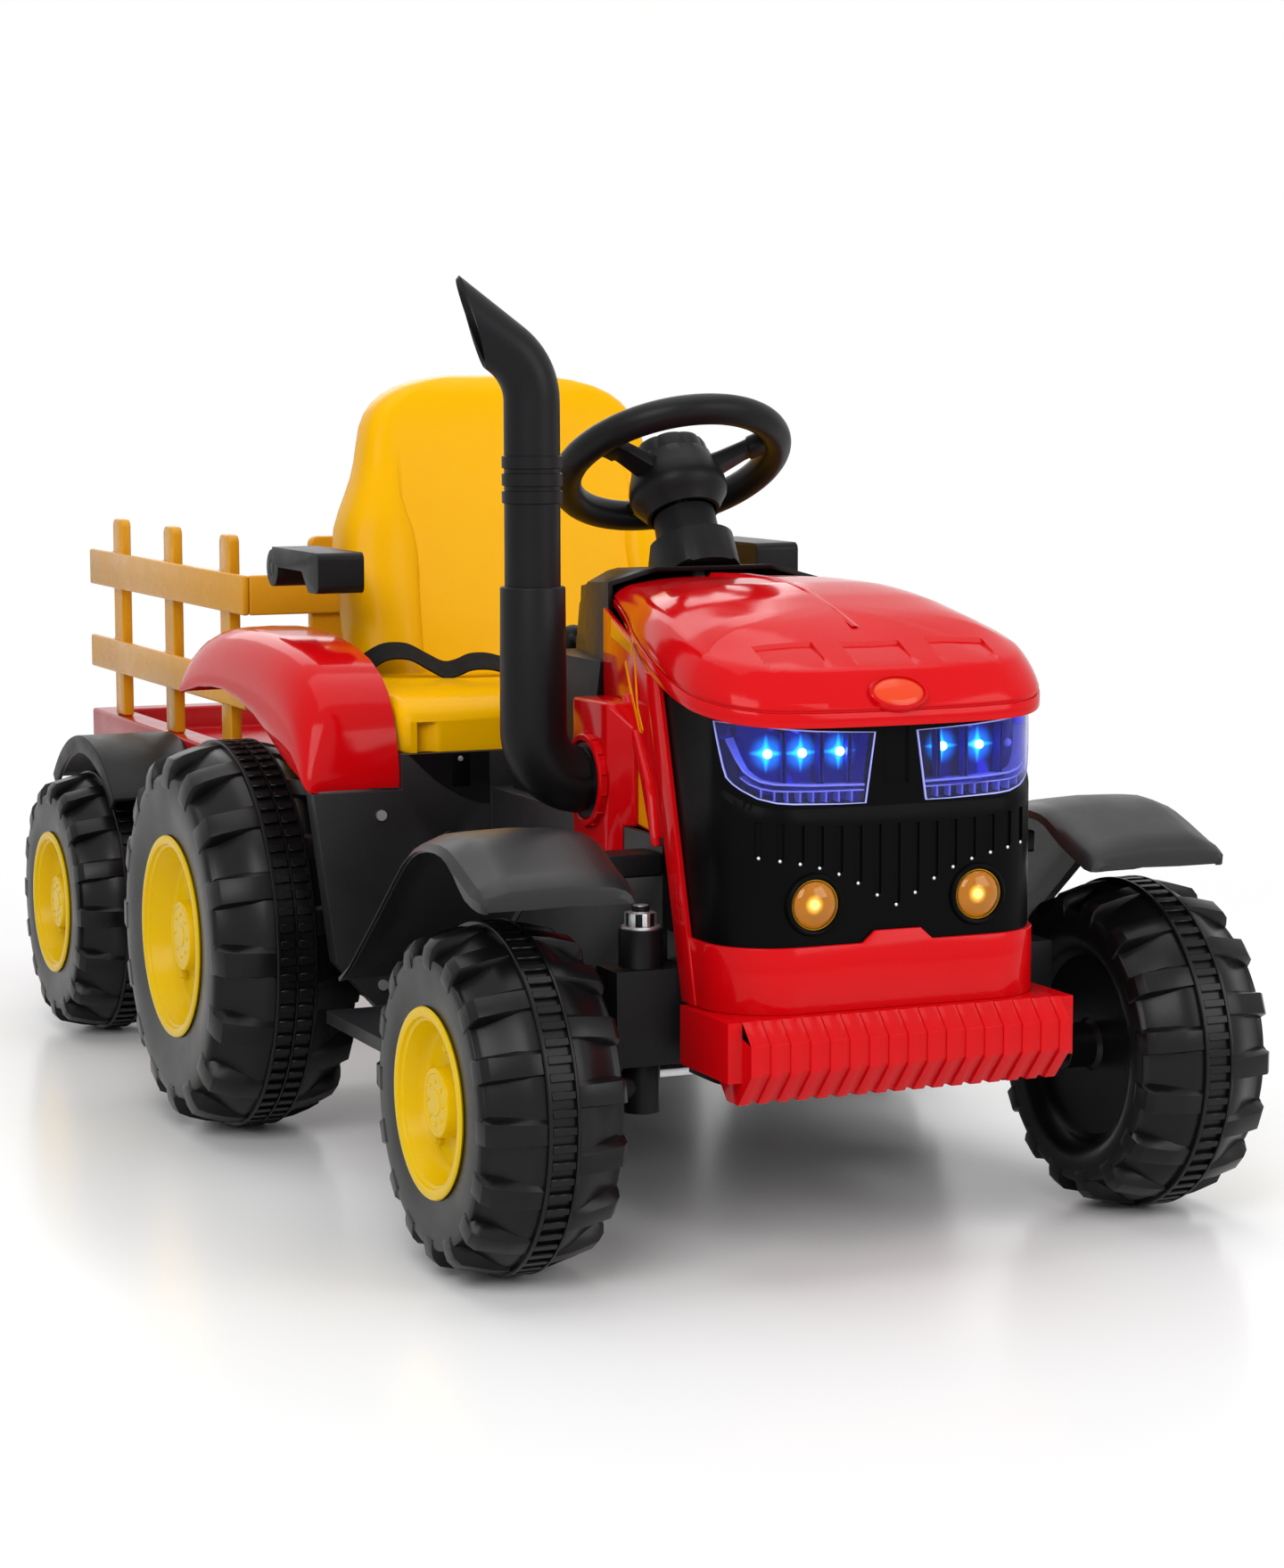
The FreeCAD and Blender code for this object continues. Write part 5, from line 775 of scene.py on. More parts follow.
@dataclass
class Wheel:
    """A blow-moulded tyre with lugs and a ribbed band, and its dished rim insert. Sizes in mm."""

    kind: str
    track: float
    behind: float
    radius: float
    half: float
    band: float
    bulge: float
    face: float
    seat: float
    opening: float
    disc: float
    neck: float
    boss: float
    boss_reach: float
    ribs: int
    rows: int
    dish_depth: float
    dish: float
    hub: float
    nut_circle: float
    lugs: int = 16
    nuts: int = 5
    lug_share: float = 0.42
    shoulder_fall: float = 16
    lug_fall: float = 7
    lug_stand: float = 2.2

    def crown(self, fall: float, lift: float) -> list[Flat]:
        """Draws the tread's section from the band to the sidewall.

        Args:
            fall: Drop of the tread from the band to the shoulder.
            lift: How far the line stands off the carcass.

        Returns:
            Points as (along the axle, radius).
        """
        top = self.radius - 4 + lift
        edge = self.half * 0.86 + lift * 0.5
        return bezier(((self.band, top), (self.band + 12, top - 0.5), (edge - 14, top - fall * 0.55),
                       (edge, top - fall)),
                      ((edge, top - fall), (edge + 5, top - fall - 2.5),
                       (self.half + lift * 0.4, self.bulge + 14), (self.half + lift * 0.3, self.bulge)))

    def carcass(self) -> Shape:
        """Spins the tyre's skin, from the boss inside to the rim's seat outside."""
        crown = self.crown(self.shoulder_fall, 0)
        wall = bezier((crown[-1], (self.half, self.bulge - 12), (self.face + 1.5, self.seat + 12),
                       (self.face, self.seat - 1)), steps=7)
        rail = self.radius
        floor = self.radius - 3.2
        half_band = [(0, floor), (self.band - 3, floor), (self.band - 2.4, rail), (self.band - 0.8, rail),
                     (self.band, rail - 0.8)]
        outer = half_band + crown + wall[1:] + [(self.face - 5, self.opening),
                                                (self.face - 5, self.opening - 4)]
        inner_wall = bezier(((-self.half, self.bulge), (-self.half, self.bulge - 10),
                             (-self.half + 2, self.neck + 8), (-self.half + 8, self.neck + 2)),
                            ((-self.half + 8, self.neck + 2), (-self.half + 12, self.neck),
                             (-self.disc - 4, self.neck), (-self.disc, self.neck - 4)), steps=6)
        inner = ([(-x, r) for x, r in half_band[1:] + crown] + inner_wall[1:]
                 + [(-self.disc, self.boss + 3), (-self.disc - 3, self.boss),
                    (-self.boss_reach + 1, self.boss), (-self.boss_reach, self.boss - 1),
                    (-self.boss_reach, 6.5)])
        shape = Shape()
        shape.spin(inner[::-1] + outer, steps=112)
        return shape

    def lug(self, side: int) -> Shape:
        """Makes one row of lugs.

        Args:
            side: 1 for the outer row, -1 for the inner one.

        Returns:
            The ring of lugs, staggered by half a pitch from the other row.
        """
        top = self.crown(self.lug_fall, self.lug_stand)
        floor = self.crown(self.shoulder_fall, -1.2)
        width = math.tau / self.lugs * self.lug_share
        rings = []
        for share in (0, 0.25, 0.45, 0.6, 0.72, 0.82, 0.9, 0.94):
            high = along_line(top, share)
            low = along_line(floor, share)
            lean = 0.10 * width * share * share
            flare = 0.5 * width * (0.86 + 0.14 * share)
            corners = ((low, -flare - 0.10 * width), (high, -flare), (high, flare - 0.16 * width + lean),
                       (low, flare + lean + 0.10 * width))
            rings.append([(along * side, radius * math.sin(turn), radius * math.cos(turn))
                          for (along, radius), turn in corners])
        end = along_line(floor, 0.97)
        rings.append([(end[0] * side, (end[1] - 1) * math.sin(turn), (end[1] - 1) * math.cos(turn))
                      for turn in (-0.5 * width, -0.42 * width, 0.36 * width, 0.56 * width)])
        shape = Shape()
        shape.loft(rings)
        bmesh.ops.recalc_face_normals(shape.bm, faces=shape.bm.faces)
        shape.soften(1.5, 2, 24)
        if side < 0:
            shape.turn(Matrix.Rotation(math.pi / self.lugs, 3, "X"))
        return shape.ring_of(self.lugs)

    def rib_ring(self) -> Shape:
        """Makes the cross ribs of the centre band, in one row or two."""
        shape = Shape()
        pitch = math.tau * self.radius / self.ribs
        room = self.band - 2.6
        for row in range(self.rows):
            start = -room + row * (room + 1.3)
            end = start + (2 * room if self.rows == 1 else room - 1.3)
            shape.box((start, -0.24 * pitch, self.radius - 4), (end, 0.24 * pitch, self.radius - 0.3))
        shape.soften(0.6, 1)
        shape.ring_of(self.ribs)
        if self.rows > 1:
            high = self.radius - 0.2
            shape.spin([(-1.1, high - 2.4), (-0.7, high), (0.7, high), (1.1, high - 2.4)], steps=112)
        return shape

    def rim(self) -> Shape:
        """Spins the rim and sets its nuts round the hub."""
        lip, wide = self.face, self.seat
        front = self.face - self.dish_depth
        section = [(lip - 1, wide - 6), (lip + 0.2, wide - 1), (lip + 1.6, wide), (lip + 2.8, wide - 0.8),
                   (lip + 3.2, wide - 2.2), (lip + 3, wide - 6), (lip + 2.2, wide - 7),
                   (lip + 0.2, wide - 7.4), (lip - 0.6, wide - 8), (lip - 1, wide - 9.6),
                   (lip - 3.5, wide - 10.4), (front + 7, self.dish + 1.6), (front + 2.4, self.dish + 0.2),
                   (front + 0.6, self.dish - 1.4), (front, self.dish - 3.6), (front, self.nut_circle + 7.6),
                   (front + 1.2, self.nut_circle + 6.6), (front + 1.2, self.hub + 1.4),
                   (front + 2.4, self.hub), (front + 12, self.hub - 0.6), (front + 13.4, self.hub - 1.2),
                   (front + 14, self.hub - 2.6), (front + 14, self.hub - 4.4),
                   (front + 13.2, self.hub - 5.2), (front + 13.2, 9), (front + 14, 8.2), (front + 14, 0)]
        shape = Shape()
        shape.spin(section, steps=96)
        nut = Shape()
        nut.rod((front, 0, self.nut_circle), (front + 5, 0, self.nut_circle), 5.4, segments=6)
        nut.rod((front + 5, 0, self.nut_circle), (front + 7.6, 0, self.nut_circle), 4, 2.2, segments=16)
        nut.soften(0.6, 2)
        shape.join(nut.ring_of(self.nuts))
        stud = Shape()
        stud.rod((front + 12.6, 0, self.hub * 0.6), (front + 14.2, 0, self.hub * 0.6), 1.5, 1, segments=10)
        return shape.join(stud.ring_of(8))

    def build(self) -> None:
        """Puts the left and right wheel of this kind in place."""
        for name, side in (("left", 1), ("right", -1)):
            spot = (self.track * side, self.behind, self.radius)
            body = f"{self.kind}_wheel_{name}_body"
            tyre = self.carcass().join(self.lug(1)).join(self.lug(-1)).join(self.rib_ring())
            rim = self.rim()
            for shape in (tyre, rim):
                if side < 0:
                    shape.flip()
                shape.move(spot)
            tyre.piece(f"{self.kind}_tyre_{name}", Look.TYRE_BLACK, body, f"{self.kind}_wheel_{name}",
                       edge=38, facing=False)
            rim.piece(f"{self.kind}_rim_dish_{name}", Look.RIM_YELLOW, body, f"{self.kind}_rim_{name}",
                      edge=40, facing=False)


def make_wheels() -> None:
    """Builds all six wheels; the trailer has the front pair's sizes."""
    small = dict(radius=118, half=50, band=11, bulge=88, face=48, seat=64, opening=60, disc=34,
                 neck=68, boss=16, boss_reach=58, ribs=64, rows=1, dish_depth=17, dish=50, hub=24,
                 nut_circle=36)
    Wheel(kind="front", track=243, behind=0, **small).build()
    Wheel(kind="trailer", track=253, behind=967, **small).build()
    Wheel(kind="rear", track=262, behind=521, radius=153.5, half=58, band=16, bulge=116, face=54,
          seat=80, opening=76, disc=38, neck=90, boss=20, boss_reach=70, ribs=76, rows=2,
          dish_depth=20, dish=62, hub=28, nut_circle=44, shoulder_fall=19.5, lug_fall=8.5).build()


# Hood

@dataclass
class Hood:
    """The red hood: an upright rim, a groove, a full brow and a low crown. Sizes in mm."""

    nose: float = -106
    rear: float = 186
    lip_front: float = 365
    lip_rear: float = 427
    turn_in: float = 4
    # Height above the lip, and distance in from the edge at the sides and at the creased front
    rise: Line = (
        (0, 0.3, 0.3), (0.8, 0, 0), (8.6, 0, 0), (9.4, 0.5, 0.5), (9.6, 1.9, 1.9), (10.8, 2, 2),
        (11.4, 0.9, 0.9), (12.6, 0.7, 0.7), (16, 1.6, 2.6), (20, 3.2, 5.4), (24, 5.6, 8.6), (28, 8.8, 12),
        (31.8, 13, 15), (33.2, 16.5, 17), (34.2, 20, 20.4), (36, 24, 29), (38.4, 31, 42), (40.4, 38, 56),
        (41.8, 46, 70), (42.8, 56, 84), (43.3, 70, 97), (43.5, 88, 107), (43.5, 200, 200))
    rim: float = 12.6
    # How the rim and the crown change to the rear: distance behind the axle, share of the height
    rim_share: FlatLine = ((40, 1), (186, 0.6))
    crown_share: FlatLine = (
        (-106, 0.98), (-60, 1.08), (-20, 1.2), (20, 1.25), (60, 1.2), (100, 1.02), (140, 0.76), (186, 0.42))
    crease_start: float = -56
    crease_run: float = 38
    recess_rear: float = -58
    recess_front: float = -88
    recesses: FlatLine = ((-86, -42), (-22, 22), (42, 86))
    recess_depth: float = 2.6
    # Where the crown is pressed: span behind the axle, and the least height
    press_span: Flat = (-98, -45)
    press_level: float = 385
    # Ridge along the crown: distance behind the axle, half width, height
    crown_ridge: Line = (
        (-40, 0.3, 0.3), (-10, 1, 1.4), (30, 1.7, 2.2), (80, 2.4, 2.8), (130, 3.1, 3.2), (184, 3.8, 3.6))
    # The bare oval plate on the brow
    badge_place: Point = (0, -101.5, 386)
    badge_tilt_deg: float = 52
    badge_stretch: Point = (1.42, 0.86, 1)

    def edge(self) -> list[Flat]:
        """Draws the plan's edge, from the rear on the right to the rear on the left."""
        half = bezier(((0, self.nose), (42, self.nose), (72, -105), (91, -100)),
                      ((91, -100), (111, -94), (125, -78), (129, -54)),
                      ((129, -54), (133, -14), (117, 58), (101, 107)),
                      ((101, 107), (94, 130), (85, 158), (80, self.rear)), steps=26)
        return [(-x, y) for x, y in reversed(half[1:])] + half

    def lip(self, y: float) -> float:
        """Height of the hood's lower edge."""
        return self.lip_front + (self.lip_rear - self.lip_front) * (y - self.nose) / (self.rear - self.nose)

    def height(self, y: float, up: float) -> float:
        """Height of the skin where the section is that far above the lip."""
        low = min(up, self.rim) * along_graph(self.rim_share, y)
        return self.lip(y) + low + max(0, up - self.rim) * along_graph(self.crown_share, y)

    def surface(self, spot: Flat, row: Point) -> Point:
        """Gives the hood's point on one row of its section, in from a point of its edge.

        Args:
            spot: Point of the edge.
            row: Height above the lip, and the distance in at the sides and at the front.

        Returns:
            The point.
        """
        goal = (0, max(spot[1], self.turn_in))
        crease = min(1, max(0, (self.crease_start - spot[1]) / self.crease_run))
        distance = row[1] + (row[2] - row[1]) * crease
        share = min(1, distance / math.dist(spot, goal))
        x = spot[0] + (goal[0] - spot[0]) * share
        y = spot[1] + (goal[1] - spot[1]) * share
        return x, y, self.height(y, row[0])

    def press(self, shape: Shape) -> None:
        """Presses the three shallow panels into the front of the crown.

        Args:
            shape: The hood's top skin.
        """
        cuts = [((0, self.recess_rear, 0), (0, 1, 0)), ((0, self.recess_rear - 1, 0), (0, 1, 0)),
                ((0, self.recess_front, 0), (0, 1, 0))]
        for low, high in self.recesses:
            cuts += [((x, 0, 0), (1, 0, 0)) for x in (low, low + 1, high - 1, high)]
        for point, normal in cuts:
            near = [f for f in shape.bm.faces
                    if self.press_span[0] < f.calc_center_median().y < self.press_span[1]
                    and f.calc_center_median().z > self.press_level]
            geom = list({item for f in near for item in (*f.verts, *f.edges)}) + near
            bmesh.ops.bisect_plane(shape.bm, geom=geom, plane_co=point, plane_no=normal, dist=0.01)
        for spot in shape.bm.verts:
            x, y = spot.co.x, spot.co.y
            inside = any(low + 0.9 < x < high - 0.9 for low, high in self.recesses)
            if inside and self.recess_front < y < self.recess_rear - 0.9 and spot.co.z > self.press_level:
                run = self.recess_rear - self.recess_front
                spot.co.z -= self.recess_depth * (y - self.recess_front) / run

    def build(self) -> None:
        """Makes the hood, its centre ridge and its bare badge plate."""
        edge = self.edge()
        shape = Shape()
        last = len(edge) - 1
        rows = len(self.rise) - 1
        shape.sheet(last, rows, lambda u, v: self.surface(edge[round(u * last)], self.rise[round(v * rows)]))
        bmesh.ops.remove_doubles(shape.bm, verts=shape.bm.verts, dist=0.05)
        self.press(shape)
        shape.face_to((0, 0, 1))
        shape.piece("hood_skin", Look.RED, "tractor", "hood", edge=34, facing=False)
        under = Shape()
        under.sheet(last, 1, lambda u, v: self.surface(edge[round(u * last)], (1, 2 + 40 * v, 2 + 40 * v)))
        under.piece("hood_underside", Look.RED, "tractor")
        self.ridge()
        self.badge()

    def ridge(self) -> None:
        """Lays the tapering ridge along the crown's middle."""
        rings = []
        for y, half, high in self.crown_ridge:
            floor = self.height(y, self.rise[-1][0]) - 1.2
            rings.append([(-half - 2.4, y, floor), (-half, y, floor + high), (half, y, floor + high),
                          (half + 2.4, y, floor)])
        shape = Shape()
        shape.loft(rings)
        shape.piece("hood_ridge", Look.RED, "tractor", edge=50)

    def badge(self) -> None:
        """Sets a bare oval plate in a raised rim on the brow."""
        for name, look, section in (("rim", Look.RED, ((-4, 15.2), (1.8, 15.2), (2.8, 14.4), (2.8, 13.4),
                                                       (1.4, 12.8), (-4, 12.8))),
                                    ("plate", Look.BADGE, ((-4, 12.7), (1.2, 12.7), (2, 11.4), (2.8, 8),
                                                           (3.1, 4), (3.2, 0)))):
            shape = Shape()
            shape.spin(section, 48)
            shape.turn(Matrix.Rotation(math.radians(-90), 3, "Y"))
            bmesh.ops.scale(shape.bm, vec=self.badge_stretch, verts=shape.bm.verts)
            shape.turn(Matrix.Rotation(math.radians(self.badge_tilt_deg), 3, "X"))
            shape.move(self.badge_place)
            shape.piece(f"hood_badge_{name}", look, "tractor", edge=40)


# Fenders

def skin(name: str, rows: Sequence[Sequence[Point]], look: Look, thickness: float, edge: float, side: int,
         body: str, *nodes: str) -> None:
    """Skins rows of points as a thin moulding on one side of the toy.

    Args:
        name: Name of the piece.
        rows: Rows of points, drawn for the left side.
        look: Its finish.
        thickness: Wall thickness, behind the drawn face.
        edge: Angle above which edges stay crisp.
        side: 1 left, -1 right.
        body: Body of the frame that carries it.
        *nodes: Nodes of the frame that it stands for.
    """
    shape = Shape()
    high, wide = len(rows) - 1, len(rows[0]) - 1
    shape.sheet(wide, high, lambda u, v: rows[round(v * high)][round(u * wide)])
    shape.wall(thickness)
    if side < 0:
        shape.flip()
    shape.piece(name, look, body, *nodes, edge=edge)


@dataclass
class FrontFender:
    """A black mudguard with a faceted plateau and an upright skirt. Sizes in mm, drawn for the left."""

    inner: float = 168
    outer: float = 280
    # Crest from the front lip to the rear: distance behind the axle, height, height of the skirt's lower edge
    crest: Line = (
        (-61.5, 252, 251), (-63, 258, 251.2), (-62, 265, 251.6), (-57, 270.5, 252.4), (-48, 274.5, 254),
        (-36, 279, 257), (-24, 283.5, 264), (-14, 287, 271), (-4, 290.2, 276.5), (6, 292, 279.4),
        (20, 292.8, 280.6), (40, 291.2, 279.4), (56, 288.6, 276.6), (70, 284, 271.4), (82, 277.6, 264.6),
        (96, 267.4, 254.2), (116, 251.6, 238.6), (140, 232.4, 219.8), (168, 210, 198.4), (196, 187.6, 177.2),
        (216, 171.6, 164.6), (219, 166, 163))
    slope: float = 11
    fold: float = 17
    # Corners of the arm that carries it
    arm_low: Point = (116, 16, 256)
    arm_high: Point = (173, 46, 272)

    def rows(self) -> list[list[Point]]:
        """Draws the guard across, station by station."""
        made = []
        last = len(self.crest) - 1
        for number, (y, top, low) in enumerate(self.crest):
            ease = min(1, number / 4, (last - number) / 2)
            slope = min(self.slope, (top - low) * 0.8) * ease
            low_side = min(low, top - 1)
            pull = 1 - min(1, number / 4)
            wide = self.outer - 7 * pull * pull
            inner = self.inner + 12 * pull * pull
            fold = min(self.fold, max(0.4, top - low_side - 0.6))
            row = [(wide - 0.5, y, low_side), (wide, y, max(low_side + 0.4, top - slope - 3 * ease)),
                   (wide - 1.2, y, top - slope - 1.2 * ease), (wide - 4.5, y, top - slope * 0.72),
                   (wide - 17, y, top - slope * 0.20), (wide - 22, y, top - slope * 0.05),
                   (wide - 30, y, top), (wide - 60, y, top + 0.8), (inner + 26, y, top - fold * 0.04),
                   (inner + 14, y, top - fold * 0.16), (inner + 6, y, top - fold * 0.36),
                   (inner + 2, y, top - fold * 0.62), (inner, y, top - fold)]
            made.append(row)
        return made

    def build(self) -> None:
        """Puts both front fenders in place, with their arms."""
        for name, side in (("left", 1), ("right", -1)):
            skin(f"front_mudguard_{name}", self.rows(), Look.GUARD_BLACK, 2.6, 26, side, "tractor",
                 f"front_fender_{name}")
            arm = Shape()
            arm.box(self.arm_low, self.arm_high)
            arm.soften(2.5, 3)
            if side < 0:
                arm.flip()
            arm.piece(f"front_mudguard_arm_{name}", Look.SATIN_BLACK, "tractor")


@dataclass
class RearFender:
    """A full, rounded red fender over the rear wheel. Sizes in mm, drawn for the left."""

    inner: float = 188.3
    outer: float = 263
    round_over: float = 34
    side_drop: float = 44
    foot_pull: float = 11
    # Crest from the front foot to the rear: distance behind the axle, height, height of the lower edge
    crest: Line = (
        (344, 284.6, 283.6), (343.2, 292, 284), (344.5, 304, 285.4), (349, 322, 289), (356, 340, 293),
        (366, 354, 296), (382, 366, 300), (406, 376, 308), (436, 383, 320), (470, 387.5, 331.5),
        (510, 390.5, 340), (550, 391.6, 344.6), (590, 390.6, 344), (622, 387, 341), (646, 381.4, 337),
        (660, 374.6, 334.6), (670, 365, 333), (675, 353, 332.2), (676.6, 343, 331.8), (676.8, 333, 331.6))

    def rows(self) -> list[list[Point]]:
        """Draws the fender across, station by station."""
        made = []
        for number, (y, top, low) in enumerate(self.crest):
            drop = max(0, min(top - low - 0.5, self.side_drop))
            side = top - low - drop
            lift = min(1, drop / 10)
            outer = self.outer - self.foot_pull * max(0, 1 - number / 3) ** 2
            row = [(outer - 3 * lift, y, low - 0.6 * lift), (outer - 0.6 * lift, y, low),
                   (outer, y, low + 1.6 * lift), (outer, y, low + 0.5 * side + 2 * lift)]
            for turn in (12, 24, 36, 48, 60, 72, 82, 90):
                across = outer - self.round_over * (1 - math.cos(math.radians(turn)))
                row.append((across, y, top - drop + drop * math.sin(math.radians(turn)) ** 0.9))
            row += [((self.outer - self.round_over + self.inner) / 2, y, top + 0.5), (self.inner, y, top)]
            made.append(row)
        return made

    def build(self) -> None:
        """Puts both rear fenders in place."""
        for name, side in (("left", 1), ("right", -1)):
            skin(f"rear_guard_{name}", self.rows(), Look.RED, 3, 50, side, "tractor", f"rear_fender_{name}")


# Seat and belt

@dataclass
class Seat:
    """The one-piece yellow seat with bolsters on its back and a rolled front edge. Sizes in mm."""

    base: float = 352
    top: float = 592
    back_front: float = 536
    lean: float = 70
    wall: float = 5
    skirt: float = 310
    # The two grooves down the front panel
    groove_side: float = 165
    groove_depth: float = 6.5
    groove_half: float = 7.5
    groove_fade: float = 0.12
    # The armrests' pins: place from the side, and reach and radius of boss and pin
    pin: Flat = (590, 438)
    boss_span: Flat = (147, 169.6)
    boss_radius: float = 11
    pin_span: Flat = (169, 208)
    pin_radius: float = 6
    # Height, half width, thickness, depth of the side bolsters, half width inside them, roll of the top edge
    back: tuple[tuple[float, ...], ...] = (
        (345, 150, 44, 8, 97, 0), (375, 150.5, 44, 9, 96, 0), (403, 151, 44, 10, 95, 0),
        (430, 152.5, 43, 10, 93, 0), (450, 153, 42, 10, 92, 0), (468, 150, 41, 9.5, 94, 0),
        (482, 144.5, 40, 8, 98, 0), (496, 137.5, 40, 6, 101, 0), (509, 131.8, 39, 3, 101, 0),
        (521, 128, 38, 1, 100, 0), (536, 124.5, 37, 0.3, 98, 0), (550, 121, 36, 0, 96, 0),
        (561, 115.5, 35.5, 0, 92, 0.2), (570, 108, 35, 0, 85, 0.7), (577, 99, 34.5, 0, 78, 1.5),
        (583, 87, 34, 0, 68, 3), (588, 70, 33.5, 0, 52, 6), (590.8, 54, 33, 0, 40, 11),
        (592, 42, 33, 0, 30, 18), (592.2, 36, 33, 0, 26, 30))
    # Cushion from front to rear: distance behind the axle, half width, height of the top
    cushion: Line = (
        (346, 178, 333), (347.2, 181, 336.5), (350, 183.6, 340.5), (355, 185.2, 344.5), (363, 186, 348),
        (376, 186, 351), (396, 186, 352.6), (430, 186, 353), (500, 186, 353), (600, 184, 354))

    def back_ring(self, height: float, half: float, thick: float, bolster: float, inside: float,
                  roll: float) -> list[Point]:
        """Draws the open-backed seat back at one height: its outer face, then its inner face back again."""
        front = self.back_front + self.lean * (height - self.base) / (self.top - self.base) + roll
        rear = front - roll + thick
        corner = min(14, (rear - front) * 0.45)
        wide = half - corner
        side = [(inside * share, front) for share in (0, 0.3, 0.6, 0.85, 0.97, 1)]
        for share in (0.08, 0.2, 0.36, 0.56, 0.8):
            push = bolster * math.sin(math.pi * (0.1 + 0.75 * share)) ** 0.8
            side.append((inside + (wide - inside) * share, front - push))
        for turn in (-70, -45, -20, 0):
            bend = math.radians(turn)
            push = bolster * 0.45 * math.sin(-bend)
            side.append((wide + corner * math.cos(bend), front + corner + corner * math.sin(bend) - push))
        side += [(half, (front + corner + rear) / 2), (half, rear - 4), (half - 1.2, rear - 1.2),
                 (half - 2.5, rear)]
        outer = [(-x, y, height) for x, y in reversed(side[1:])] + [(x, y, height) for x, y in side]
        depth = self.wall if roll < 3 else thick
        inner = [(x * (half - self.wall) / half, min(rear, y + depth), height) for x, y, _ in reversed(outer)]
        return outer + inner

    def build_back(self) -> Shape:
        """Lofts the seat back; its rear is open."""
        shape = Shape()
        shape.loft([self.back_ring(*station) for station in self.back])
        return shape

    def build_cushion(self) -> Shape:
        """Lofts the cushion and closes its front with a grooved panel."""
        rings = []
        for y, half, top in self.cushion:
            side = [(half - 2, self.skirt), (half, self.skirt + 2), (half, top - 9), (half - 1.4, top - 4.4),
                    (half - 4.6, top - 1.4), (half - 9, top)]
            across = [(x, y, z) for x, z in side] + [(half * 0.5, y, top), (0, y, top)]
            rings.append(across + [(-x, y, z) for x, y, z in reversed(across[:-1])])
        shape = Shape()
        shape.loft(rings, caps=(False, True))
        half = self.cushion[0][1]

        def front(u: float, v: float) -> Point:
            """Gives a point of the front panel."""
            across = half * (2 * u - 1)
            gap = abs(abs(across) - self.groove_side)
            groove = self.groove_depth * math.sqrt(max(0, 1 - (gap / self.groove_half) ** 2))
            fade = min(1, (1 - v) / self.groove_fade)
            level = self.skirt + (self.cushion[0][2] - self.skirt) * v
            return across, self.cushion[0][0] + groove * fade, level

        shape.sheet(140, 8, front)
        return shape

    def build(self) -> None:
        """Puts the seat in place."""
        shape = self.build_back().join(self.build_cushion())
        shape.piece("seat_shell", Look.SEAT_YELLOW, "tractor", "seat", edge=44)
        bosses, pins = Shape(), Shape()
        for side in (-1, 1):
            bosses.rod(*((x * side, *self.pin) for x in self.boss_span), self.boss_radius, segments=32)
            pins.rod(*((x * side, *self.pin) for x in self.pin_span), self.pin_radius, segments=24)
        bosses.soften(0.8, 2).piece("armrest_bosses", Look.SEAT_YELLOW, "tractor")
        pins.soften(0.8, 2).piece("armrest_pins", Look.SATIN_BLACK, "tractor")


@dataclass
class Belt:
    """Two black straps that lie loosely over the cushion to a small buckle. Sizes in mm."""

    width: float = 25
    thickness: float = 1.4
    buckle_low: Point = (-17, 470, 353.6)
    buckle_high: Point = (17, 496, 363.2)
    # From the back of the seat to the buckle
    line: Line = (
        (-158, 528, 361), (-150, 520, 369), (-138, 514, 376), (-122, 506, 376), (-108, 498, 368),
        (-97, 491, 362), (-88, 487, 363.5), (-77, 484, 368), (-62, 483, 368), (-46, 483, 364),
        (-30, 483, 362), (-16, 483, 362.6))

    def strap(self, side: int) -> Shape:
        """Sweeps one strap along its line; side is 1 left, -1 right."""
        shape = Shape()
        last = len(self.line) - 1
        steps = last * 4

        def place(u: float, v: float) -> Point:
            """Gives a point of the strap's face."""
            reach = u * last
            at = min(last - 1, int(reach))
            spots = [Vector(self.line[max(0, min(last, number))]) for number in (at - 1, at, at + 1, at + 2)]
            t = reach - at
            spot = 0.5 * (2 * spots[1] + (spots[2] - spots[0]) * t
                          + (2 * spots[0] - 5 * spots[1] + 4 * spots[2] - spots[3]) * t * t
                          + (3 * spots[1] - spots[0] - 3 * spots[2] + spots[3]) * t ** 3)
            twist = 0.25 * math.sin(3 * u) * (v - 0.5) * self.width
            lift = 0.45 * (v - 0.5) * self.width
            return spot.x + twist, spot.y + 0.85 * (v - 0.5) * self.width, spot.z - 2.5 + lift

        shape.sheet(steps, 4, place)
        shape.wall(self.thickness)
        return shape if side < 0 else shape.flip()

    def build(self) -> None:
        """Lays the straps and the buckle."""
        straps = self.strap(-1).join(self.strap(1))
        straps.piece("belt_straps", Look.WEBBING, "tractor", "seat_belt", edge=60)
        shape = Shape()
        shape.box(self.buckle_low, self.buckle_high)
        shape.soften(2.4, 3)
        shape.piece("belt_buckle", Look.GLOSS_BLACK, "tractor")


# Dash and steering wheel

